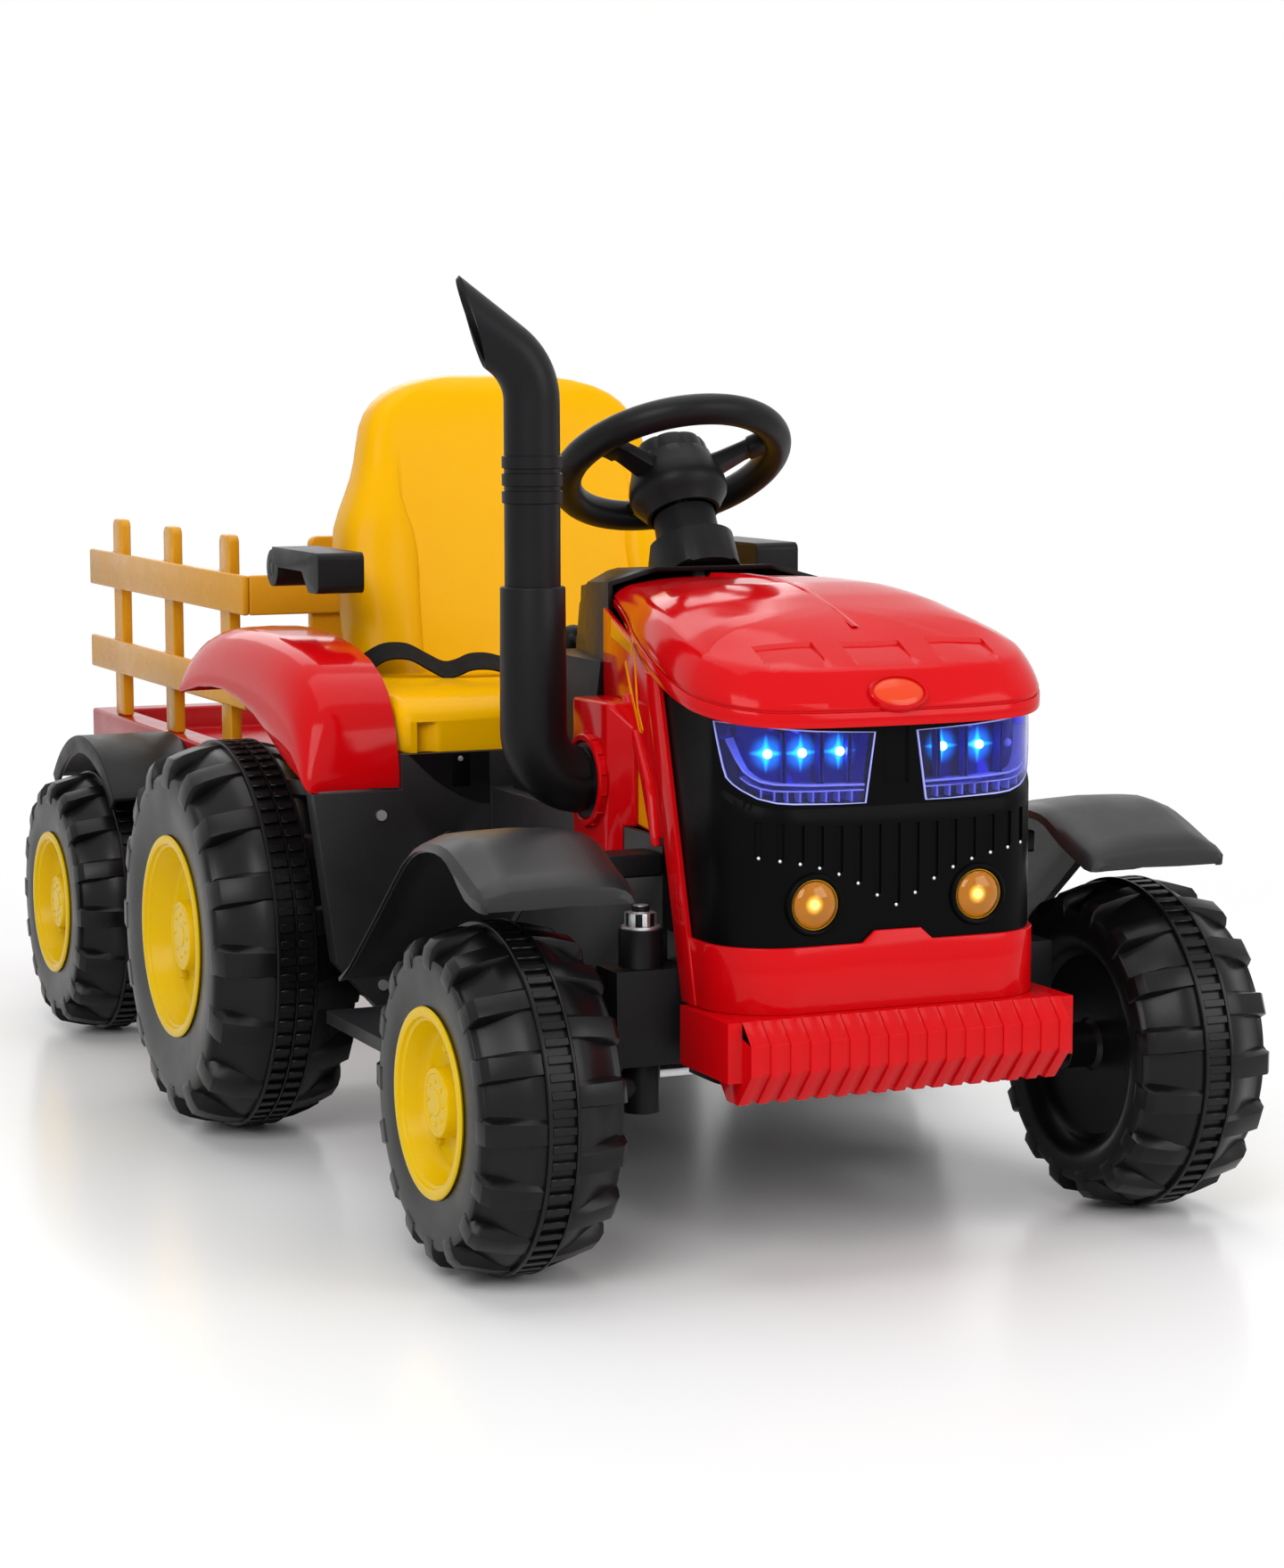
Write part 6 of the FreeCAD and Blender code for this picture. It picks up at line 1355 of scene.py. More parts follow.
@dataclass
class Dash:
    """The dash console: the solid's own walls and slots, drawn in to a narrow facetted top. Sizes in mm."""

    middle: float = 54
    ridge: float = 46
    side_drop: float = 10
    ledge: float = 388
    low_half: float = 104
    low_shoulder: float = 90
    top_half: float = 88
    # Height of the solid's top, how far the visible top lies below it, and its half width, by distance
    top: FlatLine = ((186, 452), (258, 466), (298, 440))
    drop: FlatLine = ((186, -3), (258, 15), (298, 8))
    half: FlatLine = ((186, 84), (235, 78), (258, 70), (298, 60))

    def build(self) -> None:
        """Cuts the copy where it folds, draws its points in and rounds its edges."""
        shape = Shape.of_node("dash_console")
        for x in (-self.middle, -self.ridge, self.ridge, self.middle):
            geom = [*shape.bm.verts, *shape.bm.edges, *shape.bm.faces]
            bmesh.ops.bisect_plane(shape.bm, geom=geom, plane_co=(x, 0, 0), plane_no=(1, 0, 0), dist=0.01)
        for spot in shape.bm.verts:
            self.draw_in(spot.co)
        shape.soften(2, 3, 24)
        shape.piece("dash_moulded", Look.SATIN_BLACK, "tractor", "dash_console", edge=30, facing=False)

    def draw_in(self, spot: Vector) -> None:
        """Moves one point of the copy to its place on the facetted form.

        Args:
            spot: Point in mm, changed in place.
        """
        side = abs(spot.x)
        sign = math.copysign(1, spot.x)
        if abs(spot.z - along_graph(self.top, spot.y)) < 6:
            slope = min(1, max(0, (side - self.ridge) / (self.top_half - self.ridge)))
            spot.z -= along_graph(self.drop, spot.y) + self.side_drop * slope
        if side > self.top_half + 1 and spot.z > self.ledge - 10:
            spot.x = sign * (side - self.low_half + self.low_shoulder)
        elif side > self.middle and spot.z > self.ledge - 10:
            share = (side - self.middle) / (self.top_half - self.middle)
            spot.x = sign * (self.middle + (along_graph(self.half, spot.y) - self.middle) * share)


@dataclass
class SteeringWheel:
    """The three-spoke wheel, drawn about its own axis and stood on the column. Sizes in mm."""

    centre: Point = (0, 263, 527)
    tilt: float = 31
    ring: float = 80
    grip: float = 11.4
    # Along the axis and radius, from the scalloped crown down to the neck
    hub: FlatLine = (
        (14, 13.4), (14, 24), (12.6, 26.4), (9, 28), (2, 29), (1, 30), (-5, 31.4), (-13, 34.6), (-20, 36.4),
        (-26, 36.8), (-31, 35.6), (-35, 32.4), (-40, 29), (-43.4, 27.4), (-43.4, 24.8))
    lobes: int = 9
    lobe_depth: float = 1.5
    spokes: tuple[float, ...] = (-64, 64, 180)

    def stand(self, shape: Shape) -> Shape:
        """Turns a mesh drawn about the X axis onto the column.

        Args:
            shape: The mesh, with its top towards +X and its front towards +Z.

        Returns:
            The same mesh.
        """
        shape.turn(Matrix.Rotation(math.radians(-90), 3, "Y"))
        shape.turn(Matrix.Rotation(math.radians(90), 3, "Z"))
        shape.turn(Matrix.Rotation(math.radians(-self.tilt), 3, "X"))
        return shape.move(self.centre)

    def spoke(self, angle: float) -> Shape:
        """Makes one spoke: a tapering web that rises to the ring, with a collar at its end.

        Args:
            angle: Turn from the front, in degrees.

        Returns:
            The spoke.
        """
        shape = Shape()
        rings = []
        for radius, level, half, thick in ((24, -11, 12, 7), (36, -8, 10.5, 6), (54, -3, 9, 5),
                                           (58, -2, 9, 5), (58.6, -2, 10.4, 6.2), (66, -0.5, 10.4, 6.2),
                                           (74, 0, 11, 6.4)):
            rings.append([(level - thick, -half * 0.8, radius), (level - thick, half * 0.8, radius),
                          (level + thick * 0.5, half, radius), (level + thick, half * 0.7, radius),
                          (level + thick, -half * 0.7, radius), (level + thick * 0.5, -half, radius)])
        shape.loft(rings)
        shape.soften(0.8, 2, 30)
        return shape.turn(Matrix.Rotation(math.radians(angle), 3, "X"))

    def build(self) -> None:
        """Makes the ring, the hub and the spokes."""
        whole = Shape()
        around = [math.tau * step / 28 for step in range(29)]
        whole.spin([(self.grip * math.sin(a), self.ring + self.grip * math.cos(a)) for a in around], 112)
        hub = Shape()
        for spot in hub.spin(self.hub, 108):
            radius = math.hypot(spot.co.y, spot.co.z)
            if spot.co.x > 1.5 and radius > 20:
                lobe = abs(math.sin(math.atan2(spot.co.y, spot.co.z) * self.lobes / 2)) ** 0.5
                spot.co.yz *= (radius - self.lobe_depth * (1 - lobe)) / radius
        whole.join(hub)
        for angle in self.spokes:
            whole.join(self.spoke(angle))
        self.stand(whole).piece("steering_wheel_moulded", Look.SATIN_BLACK, "steering", "steering_wheel",
                                edge=34)


# Nose: grille face, headlamps and fog lamps

@dataclass
class Nose:
    """The black face of the nose, drawn flat and then wrapped. Sizes in mm.

    A flat point is the way round from the middle, the depth and the height.
    """

    half: float = 118
    reach: float = 101
    corner: float = 45
    slot_pitch: float = 14.1
    slot_half: float = 2.8
    slot_depth: float = 1.5
    slot_ends: tuple[float, ...] = (247, 254.2, 262.9, 269.6, 274.4, 277.8, 280.3, 282.3)
    slot_tops: tuple[float, ...] = (300, 300, 300, 300.4, 301, 302, 303.6, 305)
    base: float = 221
    shoulder: float = 134.5
    rear: float = 213
    field_top: float = 376
    cheek_top: float = 398
    lens_middle: Flat = (74, 341)
    rib_first: float = 31
    rib_pitch: float = 9.4
    rib_count: int = 8
    cell_span: Flat = (328, 362.4)
    diode_radius: float = 3
    stud_radius: float = 1.35
    lamp_depth: float = 2.4
    # Lower and upper line of the ledge under the lamps
    ledge_low: FlatLine = (
        (0, 305.4), (50, 305.6), (68, 306), (85, 307.5), (101.5, 310), (110, 312.6), (116, 315.2),
        (125, 321), (134.5, 329))
    ledge_top: FlatLine = (
        (0, 312), (59, 312), (86, 312.9), (100, 314.8), (112, 318.5), (123, 323.6), (134.5, 329.6))
    # Lens outline, and the edge of the black field round it, point by point
    lens: FlatLine = (
        (15, 361), (21.8, 314.2), (40, 314.2), (60, 314.8), (75, 315.4), (87, 316.5), (100, 319.6),
        (112, 325.2), (118, 328.6), (123, 332.9), (125.6, 340), (128, 348.8), (130.6, 359), (133, 369.6),
        (112, 368.8), (95, 367.2), (77, 365.4), (59, 363.6), (36, 362))
    field: FlatLine = (
        (12.5, 376), (12.5, 312), (40, 312), (60, 312), (75, 312.5), (87, 313), (100, 314.8), (112, 318.5),
        (118, 321.3), (123, 323.6), (134.5, 329.6), (134.5, 345), (134.5, 360), (134.5, 376), (112, 376),
        (95, 376), (77, 376), (59, 376), (36, 376))
    bowl_depth: float = 11
    diodes: tuple[float, ...] = (38, 65.5, 93)
    diode_height: float = 348.5
    # Shelves inside the lamp, from the outer end to the inner one
    shelf: FlatLine = (
        (124.5, 358.3), (117, 347), (110.5, 338.6), (104.5, 334.6), (98, 331.8), (88, 330), (60, 328.2),
        (22.6, 327.2))
    lower_shelf: FlatLine = ((112.5, 333.6), (106, 329.6), (98, 326.8), (88, 325.2), (60, 324), (22.9, 323.4))
    fog_side: float = 60.5
    fog_height: float = 249.5

    def spot(self, way: float, depth: float, height: float) -> Point:
        """Wraps one point round the nose.

        Args:
            way: Way round the nose from its middle, positive to the left.
            depth: Depth behind the face.
            height: Height above the ground.

        Returns:
            The point in space.
        """
        flat = self.half - self.corner
        bend = self.corner * math.pi / 2
        side, far = math.copysign(1, way), abs(way)
        radius = self.corner - depth
        if far <= flat:
            return way, depth - self.reach, height
        if far <= flat + bend:
            angle = (far - flat) / self.corner
            return (side * (flat + radius * math.sin(angle)),
                    self.corner - self.reach - radius * math.cos(angle), height)
        return side * (self.half - depth), self.corner - self.reach + far - flat - bend, height

    def wrap(self, shape: Shape) -> Shape:
        """Cuts a flat shape into strips at the corner and wraps it round the nose."""
        flat = self.half - self.corner
        for number in range(16):
            for side in (-1, 1):
                geom = [*shape.bm.verts, *shape.bm.edges, *shape.bm.faces]
                bmesh.ops.bisect_plane(shape.bm, geom=geom, plane_co=(side * (flat + 4.5 * number), 0, 0),
                                       plane_no=(1, 0, 0), dist=0.02)
        for corner in shape.bm.verts:
            corner.co = self.spot(*corner.co)
        return shape

    def both(self, build: Callable[[], Shape]) -> Shape:
        """Builds a flat shape for the left and its mirror image for the right, and wraps both."""
        return self.wrap(build().join(build().flip()))

    def recess(self, way: float) -> float:
        """Depth of the lamp field, which runs out at the shoulder."""
        return self.lamp_depth * min(1, max(0, (self.shoulder - abs(way)) / 14.5))

    def apron(self) -> Shape:
        """Lays the lower face with its slots and the ledge under the lamps."""
        count = len(self.slot_ends) - 1
        edges = [self.slot_pitch * n + self.slot_half * s for n in range(-count, count + 1) for s in (-1, 1)]
        outer = [105.5, 110, 116, 120, 125, 130, self.shoulder]
        columns = [-way for way in reversed(outer)] + edges + outer

        def level(row: int, way: float) -> float:
            """Height of a row of the grid."""
            near = min(count, round(abs(way) / self.slot_pitch))
            heights = (self.base, self.slot_ends[near], self.slot_tops[near],
                       along_graph(self.ledge_low, abs(way)), along_graph(self.ledge_top, abs(way)))
            return heights[row]

        def place(u: float, v: float) -> Point:
            """Gives a point of the grid."""
            way, row = columns[round(u * (len(columns) - 1))], round(v * 4)
            return way, self.recess(way) if row == 4 else 0, level(row, way)

        shape = Shape()
        shape.sheet(len(columns) - 1, 4, place)
        slots = []
        for face in shape.bm.faces:
            middle = face.calc_center_median()
            near = round(middle.x / self.slot_pitch)
            inside = abs(middle.x - near * self.slot_pitch) < 0.5 and abs(near) <= count
            if inside and self.slot_ends[abs(near)] < middle.z < self.slot_tops[abs(near)]:
                slots.append(face)
        sunk = bmesh.ops.extrude_discrete_faces(shape.bm, faces=slots)["faces"]
        bmesh.ops.translate(shape.bm, vec=(0, self.slot_depth, 0),
                            verts=list({v for f in sunk for v in f.verts}))
        return self.wrap(shape)

    def field_shape(self) -> Shape:
        """Makes the black field round one lens."""
        shape = Shape()
        shape.loft([[(way, self.recess(way), z) for way, z in self.field],
                    [(way, self.recess(way), z) for way, z in self.lens],
                    [(way, self.recess(way) + 3, z) for way, z in self.lens]], caps=(False, False))
        return shape

    def middle_plate(self) -> Shape:
        """Makes the strip between the lamps with its sunken plate."""
        deep = self.lamp_depth
        rings = []
        for half, low, depth in ((12.5, 312, deep), (9.6, 326.2, deep), (9.6, 326.2, deep + 0.6),
                                 (8.6, 328, deep + 1.8)):
            rings.append([(-half, depth, low), (half, depth, low), (half, depth, self.field_top),
                          (-half, depth, self.field_top)])
        shape = Shape()
        shape.loft(rings, caps=(False, True))
        return self.wrap(shape)

    def cheek(self) -> Shape:
        """Makes the plain side of the nose behind one shoulder."""
        shape = Shape()
        levels = (self.base, self.ledge_low[-1][1], self.ledge_top[-1][1], self.cheek_top)
        shape.sheet(8, 3,
                    lambda u, v: (self.shoulder + (self.rear - self.shoulder) * u, 0, levels[round(v * 3)]))
        return shape

    def drawn_in(self, width: float) -> list[Flat]:
        """Draws the lens outline in by a width, towards its middle."""
        middle = Vector(self.lens_middle)
        return [tuple(Vector(spot) + (middle - Vector(spot)).normalized() * width) for spot in self.lens]

    def bowl(self) -> Shape:
        """Makes one lamp's bright bowl."""
        shape = Shape()
        shape.loft([[(way, self.recess(way) + 0.8, z) for way, z in self.drawn_in(0.3)],
                    [(way, self.bowl_depth - 2, z) for way, z in self.drawn_in(1.4)],
                    [(way, self.bowl_depth, z) for way, z in self.drawn_in(4)]], caps=(False, True))
        return shape

    def pane(self) -> Shape:
        """Makes one lamp's clear tinted pane."""
        shape = Shape()
        front = [(way, self.recess(way) - 0.9, z) for way, z in self.drawn_in(0.4)]
        shape.loft([[(way, depth + 1.6, z) for way, depth, z in front], front], caps=(True, True))
        return shape

    def band(self, line: Sequence[Flat], width: float, depth: Flat) -> Shape:
        """Makes a rib inside the lamp along a line, hanging down by a width."""
        shape = Shape()
        for first, second in zip(line, line[1:]):
            shape.prism([first, second, (second[0], second[1] - width), (first[0], first[1] - width)], "XZ",
                        depth)
        return shape

    def painted_edge_highlights(self) -> Shape:
        """Makes one lamp's edge, its two shelves and the ribs of its lower strip, in a pale colour that
        paints highlights along them.
        """
        shape = Shape()
        outer, inner = self.drawn_in(0.2), self.drawn_in(1.2)
        rings = []
        for line, lift in ((outer, 0), (outer, -1.3), (inner, -1.3), (inner, 0)):
            rings.append([(way, self.recess(way) + lift, z) for way, z in line])
        shape.loft(rings, caps=(False, False))
        shape.join(self.band(self.shelf, 1.5, (3, self.bowl_depth)))
        shape.join(self.band(self.lower_shelf, 0.9, (3, self.bowl_depth)))
        for number in range(self.rib_count):
            way = self.rib_first + self.rib_pitch * number
            top = along_graph(tuple(reversed(self.lower_shelf)), way)
            low = along_graph(self.lens[1:9], way) + 1.6
            shape.prism([(way, low), (way + 1.2, low), (way + 1.2, top), (way, top)], "XZ",
                        (3.4, self.bowl_depth))
        return shape

    def dividers(self) -> Shape:
        """Makes the walls between one lamp's cells."""
        shape = Shape()
        base, top = self.cell_span
        for way, tilt in ((31.6, -1), (51.6, 0), (79, 0.6)):
            for gap in (0, 2.6):
                low, high = way + gap, way + gap + tilt
                shape.prism([(low, base), (low + 0.9, base), (high + 0.9, top), (high, top)], "XZ",
                            (4.6, self.bowl_depth))
        return shape

    def diode_domes(self, ways: Sequence[float]) -> Shape:
        """Sets a small dome at each diode's place."""
        shape = Shape()
        for way in ways:
            x, y, z = self.spot(way, self.bowl_depth - 2.4, self.diode_height)
            made = bmesh.ops.create_uvsphere(shape.bm, u_segments=20, v_segments=12,
                                             radius=self.diode_radius)["verts"]
            bmesh.ops.translate(shape.bm, vec=(x, y, z), verts=made)
        return shape

    def slot_studs(self) -> Shape:
        """Sets a bright stud at the lower end of every slot."""
        shape = Shape()
        count = len(self.slot_ends) - 1
        for number in range(-count, count + 1):
            x, y, z = self.spot(self.slot_pitch * number, 0.6, self.slot_ends[abs(number)] - 1.2)
            made = bmesh.ops.create_uvsphere(shape.bm, u_segments=12, v_segments=8,
                                             radius=self.stud_radius)["verts"]
            bmesh.ops.translate(shape.bm, vec=(x, y, z), verts=made)
        return shape

    def fog_lamp(self, section: Sequence[Flat]) -> Shape:
        """Spins a section of the fog lamps and stands it at both places."""
        both = Shape()
        for side in (-1, 1):
            shape = Shape()
            shape.spin(section, steps=56)
            shape.turn(Matrix.Rotation(math.radians(-90), 3, "Z"))
            shape.move((self.fog_side * side, -self.reach, self.fog_height))
            both.join(shape)
        return both

    def build(self) -> None:
        """Puts the nose's face and all lamps in place."""
        face = self.apron().join(self.both(self.field_shape))
        face = face.join(self.middle_plate()).join(self.both(self.cheek))
        bezel = [(-2, 21.4), (0.4, 21), (2.2, 20.2), (3, 18.9), (2.6, 17.6), (1.2, 16.8), (-1, 16.4)]
        face.join(self.fog_lamp(bezel))
        face.piece("grille_face", Look.GRILLE_BLACK, "tractor", "grille", edge=28)
        self.slot_studs().piece("grille_studs", Look.STEEL, "tractor")
        # The bowls carry painted light round the diodes
        self.both(self.bowl).piece("headlamp_bowls", Look.LAMP_BOWL, "tractor", "headlamp_reflectors",
                                   edge=40)
        # Lens edges, shelves and ribs in pale painted highlights
        self.both(self.painted_edge_highlights).piece("headlamp_bright_work", Look.LAMP_EDGE, "tractor")
        self.both(self.dividers).piece("headlamp_dividers", Look.LAMP_DARK, "tractor")
        self.both(self.pane).piece("headlamp_panes", Look.LENS, "tractor", "headlamp_lenses", edge=40)
        lit = [-way for way in self.diodes] + list(self.diodes[:2])
        self.diode_domes(lit).piece("headlamp_diodes", Look.DIODE, "tractor", "headlamp_leds")
        # The unlit diode takes the same pale colour as the painted highlights
        self.diode_domes(self.diodes[2:]).piece("headlamp_diode_dark", Look.LAMP_EDGE, "tractor")
        bowl = [(1.5, 16.6), (0.9, 12), (0.6, 6), (0.5, 0)]
        # The fog bowls carry painted light: a halo round each bulb and a faint glow
        self.fog_lamp(bowl).piece("fog_lamp_bowls", Look.AMBER, "tractor", edge=60)
        bulb = [(0.4, 3.4), (2.6, 3), (3.8, 2), (4.2, 0)]
        self.fog_lamp(bulb).piece("fog_lamp_bulbs", Look.BULB, "tractor", edge=60)
        glass = [(6.2, 0), (5.9, 4.5), (5, 8.9), (3.5, 12.5), (1.5, 14.9), (-0.2, 15.6), (-0.2, 16.4),
                 (0.8, 16.4), (2.2, 15.8), (4.4, 13.2), (6, 9.4), (6.9, 4.8), (7.2, 0)]
        self.fog_lamp(glass).piece("fog_lamp_glass", Look.AMBER_GLASS, "tractor", "fog_lamp_lenses", edge=60)


# Pieces that take their form from the solid, with moulded rounds on every edge

@dataclass
class Moulding:
    """A softened copy of one node of the frame. Sizes in mm."""

    node: str
    look: Look
    body: str = "tractor"
    round: float = 1.5
    segments: int = 2
    edge: float = 36
    flat: float = 1
    sharp: float = 30
    # Level and size of the round on a post's top, seen along its thin way
    post_top: float = 0
    post_round: float = 7

    def build(self) -> None:
        """Rounds the copy's edges and puts it in the node's place."""
        shape = Shape.of_node(self.node, self.flat)
        if self.post_top:
            self.round_posts(shape)
        shape.soften(self.round, self.segments, self.sharp)
        shape.piece(f"{self.node}_moulded", self.look, self.body, self.node, edge=self.edge, facing=False)

    def round_posts(self, shape: Shape) -> None:
        """Rounds the tops of upright posts.

        Args:
            shape: The copy of the node.
        """
        thin = 1 if "front" in self.node else 0
        tops = [edge for edge in shape.bm.edges
                if all(abs(spot.co.z - self.post_top) < 0.1 for spot in edge.verts)
                and abs((edge.verts[0].co - edge.verts[1].co)[thin]) > 5]
        bmesh.ops.bevel(shape.bm, geom=tops, offset=self.post_round, offset_type="OFFSET", segments=5,
                        profile=0.5, affect="EDGES", clamp_overlap=True, material=-1)


MOULDINGS = (
    Moulding("chassis_shell", Look.GUARD_BLACK, round=3, segments=3),
    Moulding("belly_pan", Look.SATIN_BLACK),
    Moulding("nose_frame", Look.RED, round=1.2),
    Moulding("bumper", Look.RED, round=1.6, segments=3),
    Moulding("side_panel_left", Look.RED, round=0.8),
    Moulding("side_panel_right", Look.RED, round=0.8),
    Moulding("exhaust_mount", Look.RED, round=2.4, segments=3),
    Moulding("armrest_left", Look.SATIN_BLACK, "armrest_left_body", round=2, segments=3),
    Moulding("armrest_right", Look.SATIN_BLACK, "armrest_right_body", round=2, segments=3),
    Moulding("horn_button", Look.BUTTON_RED, "horn", round=1),
    Moulding("accelerator_pedal", Look.SATIN_BLACK, "pedal", round=1.4),
    Moulding("gear_lever", Look.SATIN_BLACK, "lever", round=1),
    Moulding("power_button", Look.BUTTON_RED, "power", round=0.8),
    Moulding("trailer_tray", Look.TRAY_RED, "trailer", round=2.5, segments=3),
    Moulding("trailer_fence_left", Look.FENCE_YELLOW, "trailer", round=1.8, post_top=455),
    Moulding("trailer_fence_right", Look.FENCE_YELLOW, "trailer", round=1.8, post_top=455),
    Moulding("trailer_fence_front", Look.FENCE_YELLOW, "trailer", round=1.8, post_top=455),
    Moulding("trailer_drawbar", Look.SATIN_BLACK, "trailer", round=2),
    Moulding("trailer_fenders", Look.SATIN_BLACK, "trailer", round=1.2),
    Moulding("trailer_axle", Look.STEEL, "trailer", round=0.8),
    Moulding("tow_hitch", Look.STEEL, round=1),
    Moulding("front_axle_beam", Look.SATIN_BLACK, round=1.6),
    Moulding("knuckle_left", Look.SATIN_BLACK, "knuckle_left_body", round=0.8),
    Moulding("knuckle_right", Look.SATIN_BLACK, "knuckle_right_body", round=0.8),
    Moulding("tie_rod", Look.STEEL, "tie_rod_body", round=0.8),
    Moulding("charge_socket", Look.GLOSS_BLACK, round=0.8),
)


# Exhaust stack

@dataclass
class ExhaustStack:
    """The upright pipe with three raised bands, a lean outward and a slashed mouth. Sizes in mm."""

    foot: Point = (-167, 124, 446)
    turned: float = 12
    radius: float = 19.5
    wall: float = 3
    bend_height: float = 575
    bend: float = 45
    lean: float = 52
    tip_run: float = 72
    # Mouth's upper and lower end: distance out from the pipe's axis, and height
    mouth: tuple[Flat, Flat] = ((50, 660.8), (34, 602.8))
    bands: tuple[float, ...] = (505, 517, 529)
    band_width: float = 9
    band_rise: float = 1.6
    sides: int = 48
    elbow_swell: float = 2.4
    flange_face: float = -131

    def ring(self, out: float, height: float, lean: float, radius: float) -> list[Point]:
        """Draws one circle round the pipe's centre line.

        Args:
            out: Distance of its middle out from the upright axis.
            height: Height of its middle.
            lean: Lean of the centre line there, in radians.
            radius: Its radius.

        Returns:
            The circle's points.
        """
        turn = math.radians(self.turned)
        spots = []
        for step in range(self.sides):
            angle = math.tau * step / self.sides
            along = out + radius * math.cos(angle) * math.cos(lean)
            across = radius * math.sin(angle)
            spots.append((self.foot[0] - along * math.cos(turn) + across * math.sin(turn),
                          self.foot[1] + along * math.sin(turn) + across * math.cos(turn),
                          height - radius * math.cos(angle) * math.sin(lean)))
        return spots

    def rings(self) -> list[list[Point]]:
        """Draws the circles from the foot to past the mouth."""
        levels = [(self.foot[2], self.radius)]
        for low in self.bands:
            high = low + self.band_width
            big = self.radius + self.band_rise
            levels += [(low, self.radius), (low + 0.5, big), (high - 0.5, big), (high, self.radius)]
        made = [self.ring(0, height, 0, radius) for height, radius in levels]
        end = math.radians(self.lean)
        for step in range(13):
            lean = end * step / 12
            made.append(self.ring(self.bend * (1 - math.cos(lean)),
                                  self.bend_height + self.bend * math.sin(lean), lean, self.radius))
        out = self.bend * (1 - math.cos(end)) + self.tip_run * math.sin(end)
        made.append(self.ring(out,
                              self.bend_height + self.bend * math.sin(end) + self.tip_run * math.cos(end),
                              end, self.radius))
        return made

    def elbow(self) -> None:
        """Swells the elbow's pipe behind its flange, as the moulded one is, into a socket for the stack."""
        shape = Shape.of_node("exhaust_elbow")
        shape.bm.normal_update()
        moves = [(spot, spot.normal * self.elbow_swell) for spot in shape.bm.verts
                 if spot.co.x < self.flange_face]
        for spot, push in moves:
            spot.co += push
        shape.soften(1.2, 3)
        shape.piece("exhaust_elbow_moulded", Look.SATIN_BLACK, "tractor", "exhaust_elbow", edge=36,
                    facing=False)

    def build(self) -> None:
        """Makes the elbow and the pipe, slashes the pipe's mouth and gives it its wall."""
        self.elbow()
        shape = Shape()
        shape.loft(self.rings(), caps=(False, False))
        (out, top), (low_out, low) = self.mouth
        turn = math.radians(self.turned)
        spot = (self.foot[0] - out * math.cos(turn), self.foot[1] + out * math.sin(turn), top)
        away = ((low - top) * math.cos(turn), (top - low) * math.sin(turn), low_out - out)
        upper = [face for face in shape.bm.faces if face.calc_center_median().z > self.bend_height]
        geom = list({item for face in upper for item in (*face.verts, *face.edges)}) + upper
        bmesh.ops.bisect_plane(shape.bm, geom=geom, plane_co=spot, plane_no=away, dist=0.01, clear_outer=True)
        bmesh.ops.recalc_face_normals(shape.bm, faces=shape.bm.faces)
        bmesh.ops.solidify(shape.bm, geom=list(shape.bm.faces), thickness=self.wall)
        shape.piece("exhaust_pipe", Look.SATIN_BLACK, "tractor", "exhaust_stack", edge=34)


# Trim and small fittings

@dataclass
class SideTrim:
    """The raised ribbon and the plain yellow film on each side panel. Sizes in mm, drawn for the left."""

    front: Flat = (118, 14.3)
    rear: Flat = (88, 186)
    film: float = 0.5
    relief: float = 5
    # Rear and front edge of the ribbon, from its upper end down: distance behind the axle and height
    ribbon: tuple[tuple[float, float, float, float], ...] = (
        (117, 368, 103, 373), (92, 346, 77, 350), (73, 330, 55, 332), (60, 317, 40, 320),
        (51, 305, 31.5, 308), (38, 288, 25, 290), (30, 276, 20, 276))
    corner_film: FlatLine = ((79, 284), (32, 284), (45, 298), (56, 311), (63, 320), (74, 331), (79, 333))
    rim_film: FlatLine = ((160, 420), (128, 413.5), (98, 407), (96, 399), (128, 404), (160, 408))
    line_width: float = 2.6
    lines: tuple[FlatLine, ...] = (
        ((119, 392), (100, 371), (80, 349), (68, 348)), ((68, 348), (83, 362), (92, 400)))

    def out(self, y: float) -> float:
        """How far out the panel's face stands at that distance behind the axle."""
        share = (y - self.front[1]) / (self.rear[1] - self.front[1])
        return self.front[0] + (self.rear[0] - self.front[0]) * share

    def patch(self, outline: Sequence[Flat]) -> Shape:
        """Lays a flat film on the panel.

        Args:
            outline: Corners as distance behind the axle and height.

        Returns:
            The film.
        """
        shape = Shape()
        for spot in shape.prism(outline, "YZ", (-self.film, self.film)):
            spot.co.x += self.out(spot.co.y)
        return shape

    def line(self, run: Sequence[Flat]) -> Shape:
        """Lays a narrow film along a run of points."""
        wide = self.line_width
        return self.patch([*run, *((y - wide, z + wide) for y, z in reversed(run))])

    def build(self) -> None:
        """Trims both side panels."""
        for name, side in (("left", 1), ("right", -1)):
            band = Shape()
            band.loft([[(self.out(rear) - 1, rear, low), (self.out(rear) + self.relief, rear - 2, low + 0.8),
                        (self.out(ahead) + self.relief, ahead + 2, high - 0.8),
                        (self.out(ahead) - 1, ahead, high)]
                       for rear, low, ahead, high in self.ribbon])
            band.soften(1.6, 3, 30)
            films = self.patch(self.corner_film).join(self.patch(self.rim_film))
            for run in self.lines:
                films.join(self.line(run))
            if side < 0:
                band.flip()
                films.flip()
            band.piece(f"side_ribbon_{name}", Look.RED, "tractor", edge=40)
            films.piece(f"side_film_{name}", Look.DECAL_YELLOW, "tractor", edge=30)


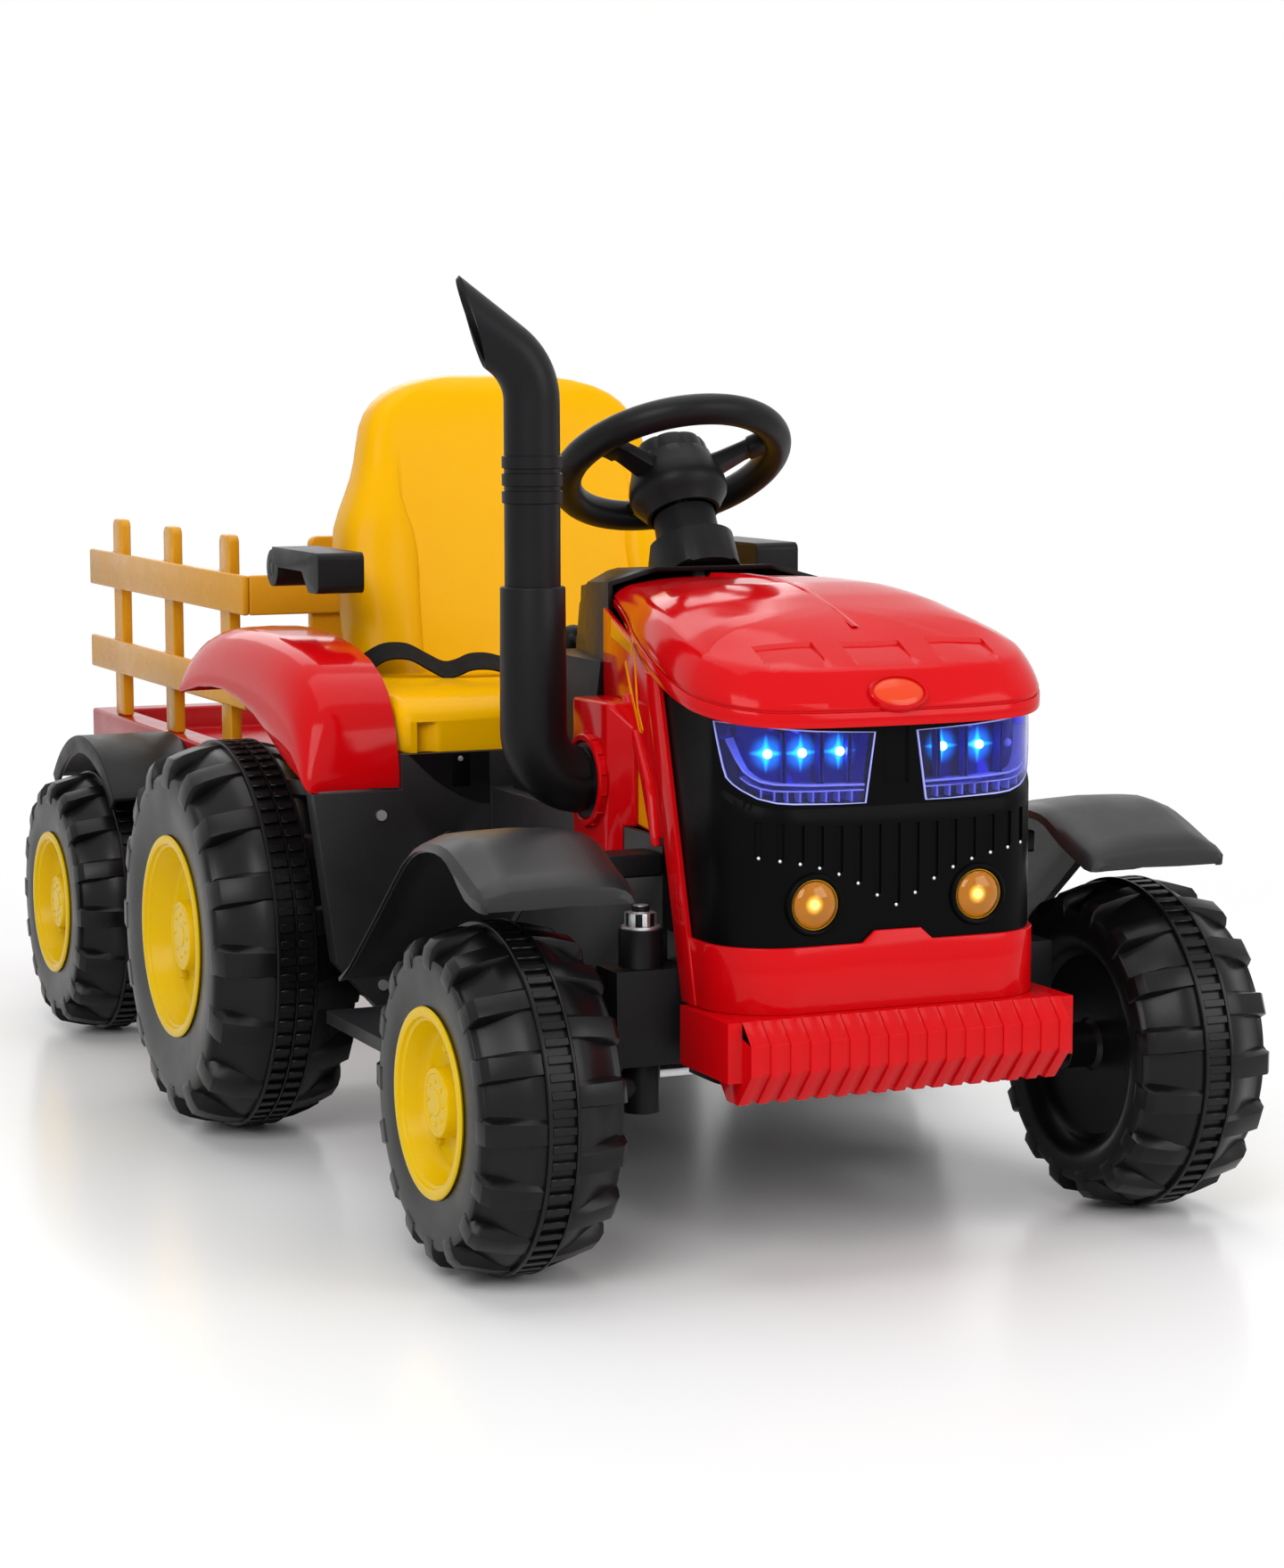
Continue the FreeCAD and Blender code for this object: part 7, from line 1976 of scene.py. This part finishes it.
@dataclass
class Fittings:
    """Small fittings: exhaust collar, a dark patch of painted shade for the seat latch's hollow, and kingpin
    nuts. Sizes in mm.
    """

    exhaust: Flat = (124, 311)
    mount_face: float = -125
    collar: FlatLine = ((0, 32.6), (-4.6, 32.6), (-5.6, 31.6), (-5.6, 28.2), (-4.4, 27.4), (0, 27.4))
    collar_ribs: int = 14
    # Outline of the flat dark patch that paints the hollow's shade
    hollow: FlatLine = (
        (-183, 309.6), (-176, 303), (-169, 296), (-161, 289), (-152, 283), (-142, 277), (-133, 273),
        (-124, 270.5), (-118, 270), (-118, 309.6))
    seat_box_front: float = 338
    kingpin: float = 140

    def build(self) -> None:
        """Makes every fitting."""
        self.exhaust_collar()
        self.latch_hollow_painted_shade()
        for name, side in (("left", 1), ("right", -1)):
            self.kingpin_nut(side).piece(f"kingpin_nut_{name}", Look.STEEL, f"knuckle_{name}_body", edge=30)

    def exhaust_collar(self) -> None:
        """Makes the ribbed red collar that the exhaust pipe stands in."""
        shape = Shape()
        shape.box((-4.4, -0.7, 31), (-0.2, 0.7, 34))
        shape.soften(0.5, 2)
        shape.ring_of(self.collar_ribs)
        shape.spin(self.collar, 72)
        shape.move((self.mount_face, *self.exhaust))
        shape.piece("exhaust_collar", Look.RED, "tractor", edge=34)

    def latch_hollow_painted_shade(self) -> None:
        """Lays a flat gloss black patch under the cushion's front, whose dark colour is painted shade for the
        hollow, with the seat latch in it.
        """
        # A flat dark sheet in place of the hollow: painted shade
        hollow = Shape()
        hollow.prism(self.hollow, "XZ", (self.seat_box_front - 0.5, self.seat_box_front + 1))
        hollow.piece("seat_latch_hollow", Look.GLOSS_BLACK, "tractor")
        latch = Shape()
        latch.box((-148, self.seat_box_front - 1, 284), (-134, self.seat_box_front + 1, 309))
        latch.soften(0.4, 2)
        latch.piece("seat_latch_slot", Look.GRILLE_BLACK, "tractor")
        screw = Shape()
        screw.rod((-141.5, self.seat_box_front, 305), (-141.5, self.seat_box_front - 2.4, 305), 2.4, 1.6, 20)
        screw.piece("seat_latch_screw", Look.STEEL, "tractor")

    def kingpin_nut(self, side: int) -> Shape:
        """Makes the plated washer, nut and pin end over one kingpin.

        Args:
            side: 1 left, -1 right.

        Returns:
            The three of them.
        """
        x = self.kingpin * side
        shape = Shape()
        shape.rod((x, 0, 224.2), (x, 0, 226.6), 13.3, segments=40)
        shape.rod((x, 0, 226.5), (x, 0, 235.6), 11.2, segments=6)
        shape.rod((x, 0, 235), (x, 0, 240.4), 6.2, 5.4, segments=24)
        return shape.soften(0.6, 2, 25)


# Pieces inside the body that keep their solid

PLAIN = {
    "rear_axle": Look.STEEL, "gearboxes": Look.GREY, "drive_motors": Look.STEEL, "battery": Look.GREY,
    "steering_shaft": Look.STEEL, "body_screws": Look.STEEL,
}


def paint(node: str, look: Look) -> None:
    """Gives a frame node its finish, in every material slot it has.

    Args:
        node: Name of the node.
        look: Its finish.
    """
    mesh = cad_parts[node].data
    for number in range(len(mesh.materials)):
        mesh.materials[number] = look.material()
    LOG.info("%s keeps its solid", node)


def main() -> None:
    """Dresses the whole toy and sets the stage."""
    logging.basicConfig(level=logging.INFO, format="%(message)s")
    make_wheels()
    Hood().build()
    FrontFender().build()
    RearFender().build()
    Seat().build()
    Belt().build()
    Dash().build()
    SteeringWheel().build()
    Nose().build()
    for moulding in MOULDINGS:
        moulding.build()
    ExhaustStack().build()
    SideTrim().build()
    Fittings().build()
    for node, look in PLAIN.items():
        paint(node, look)
    Studio().build()


if __name__ == "__main__":
    main()
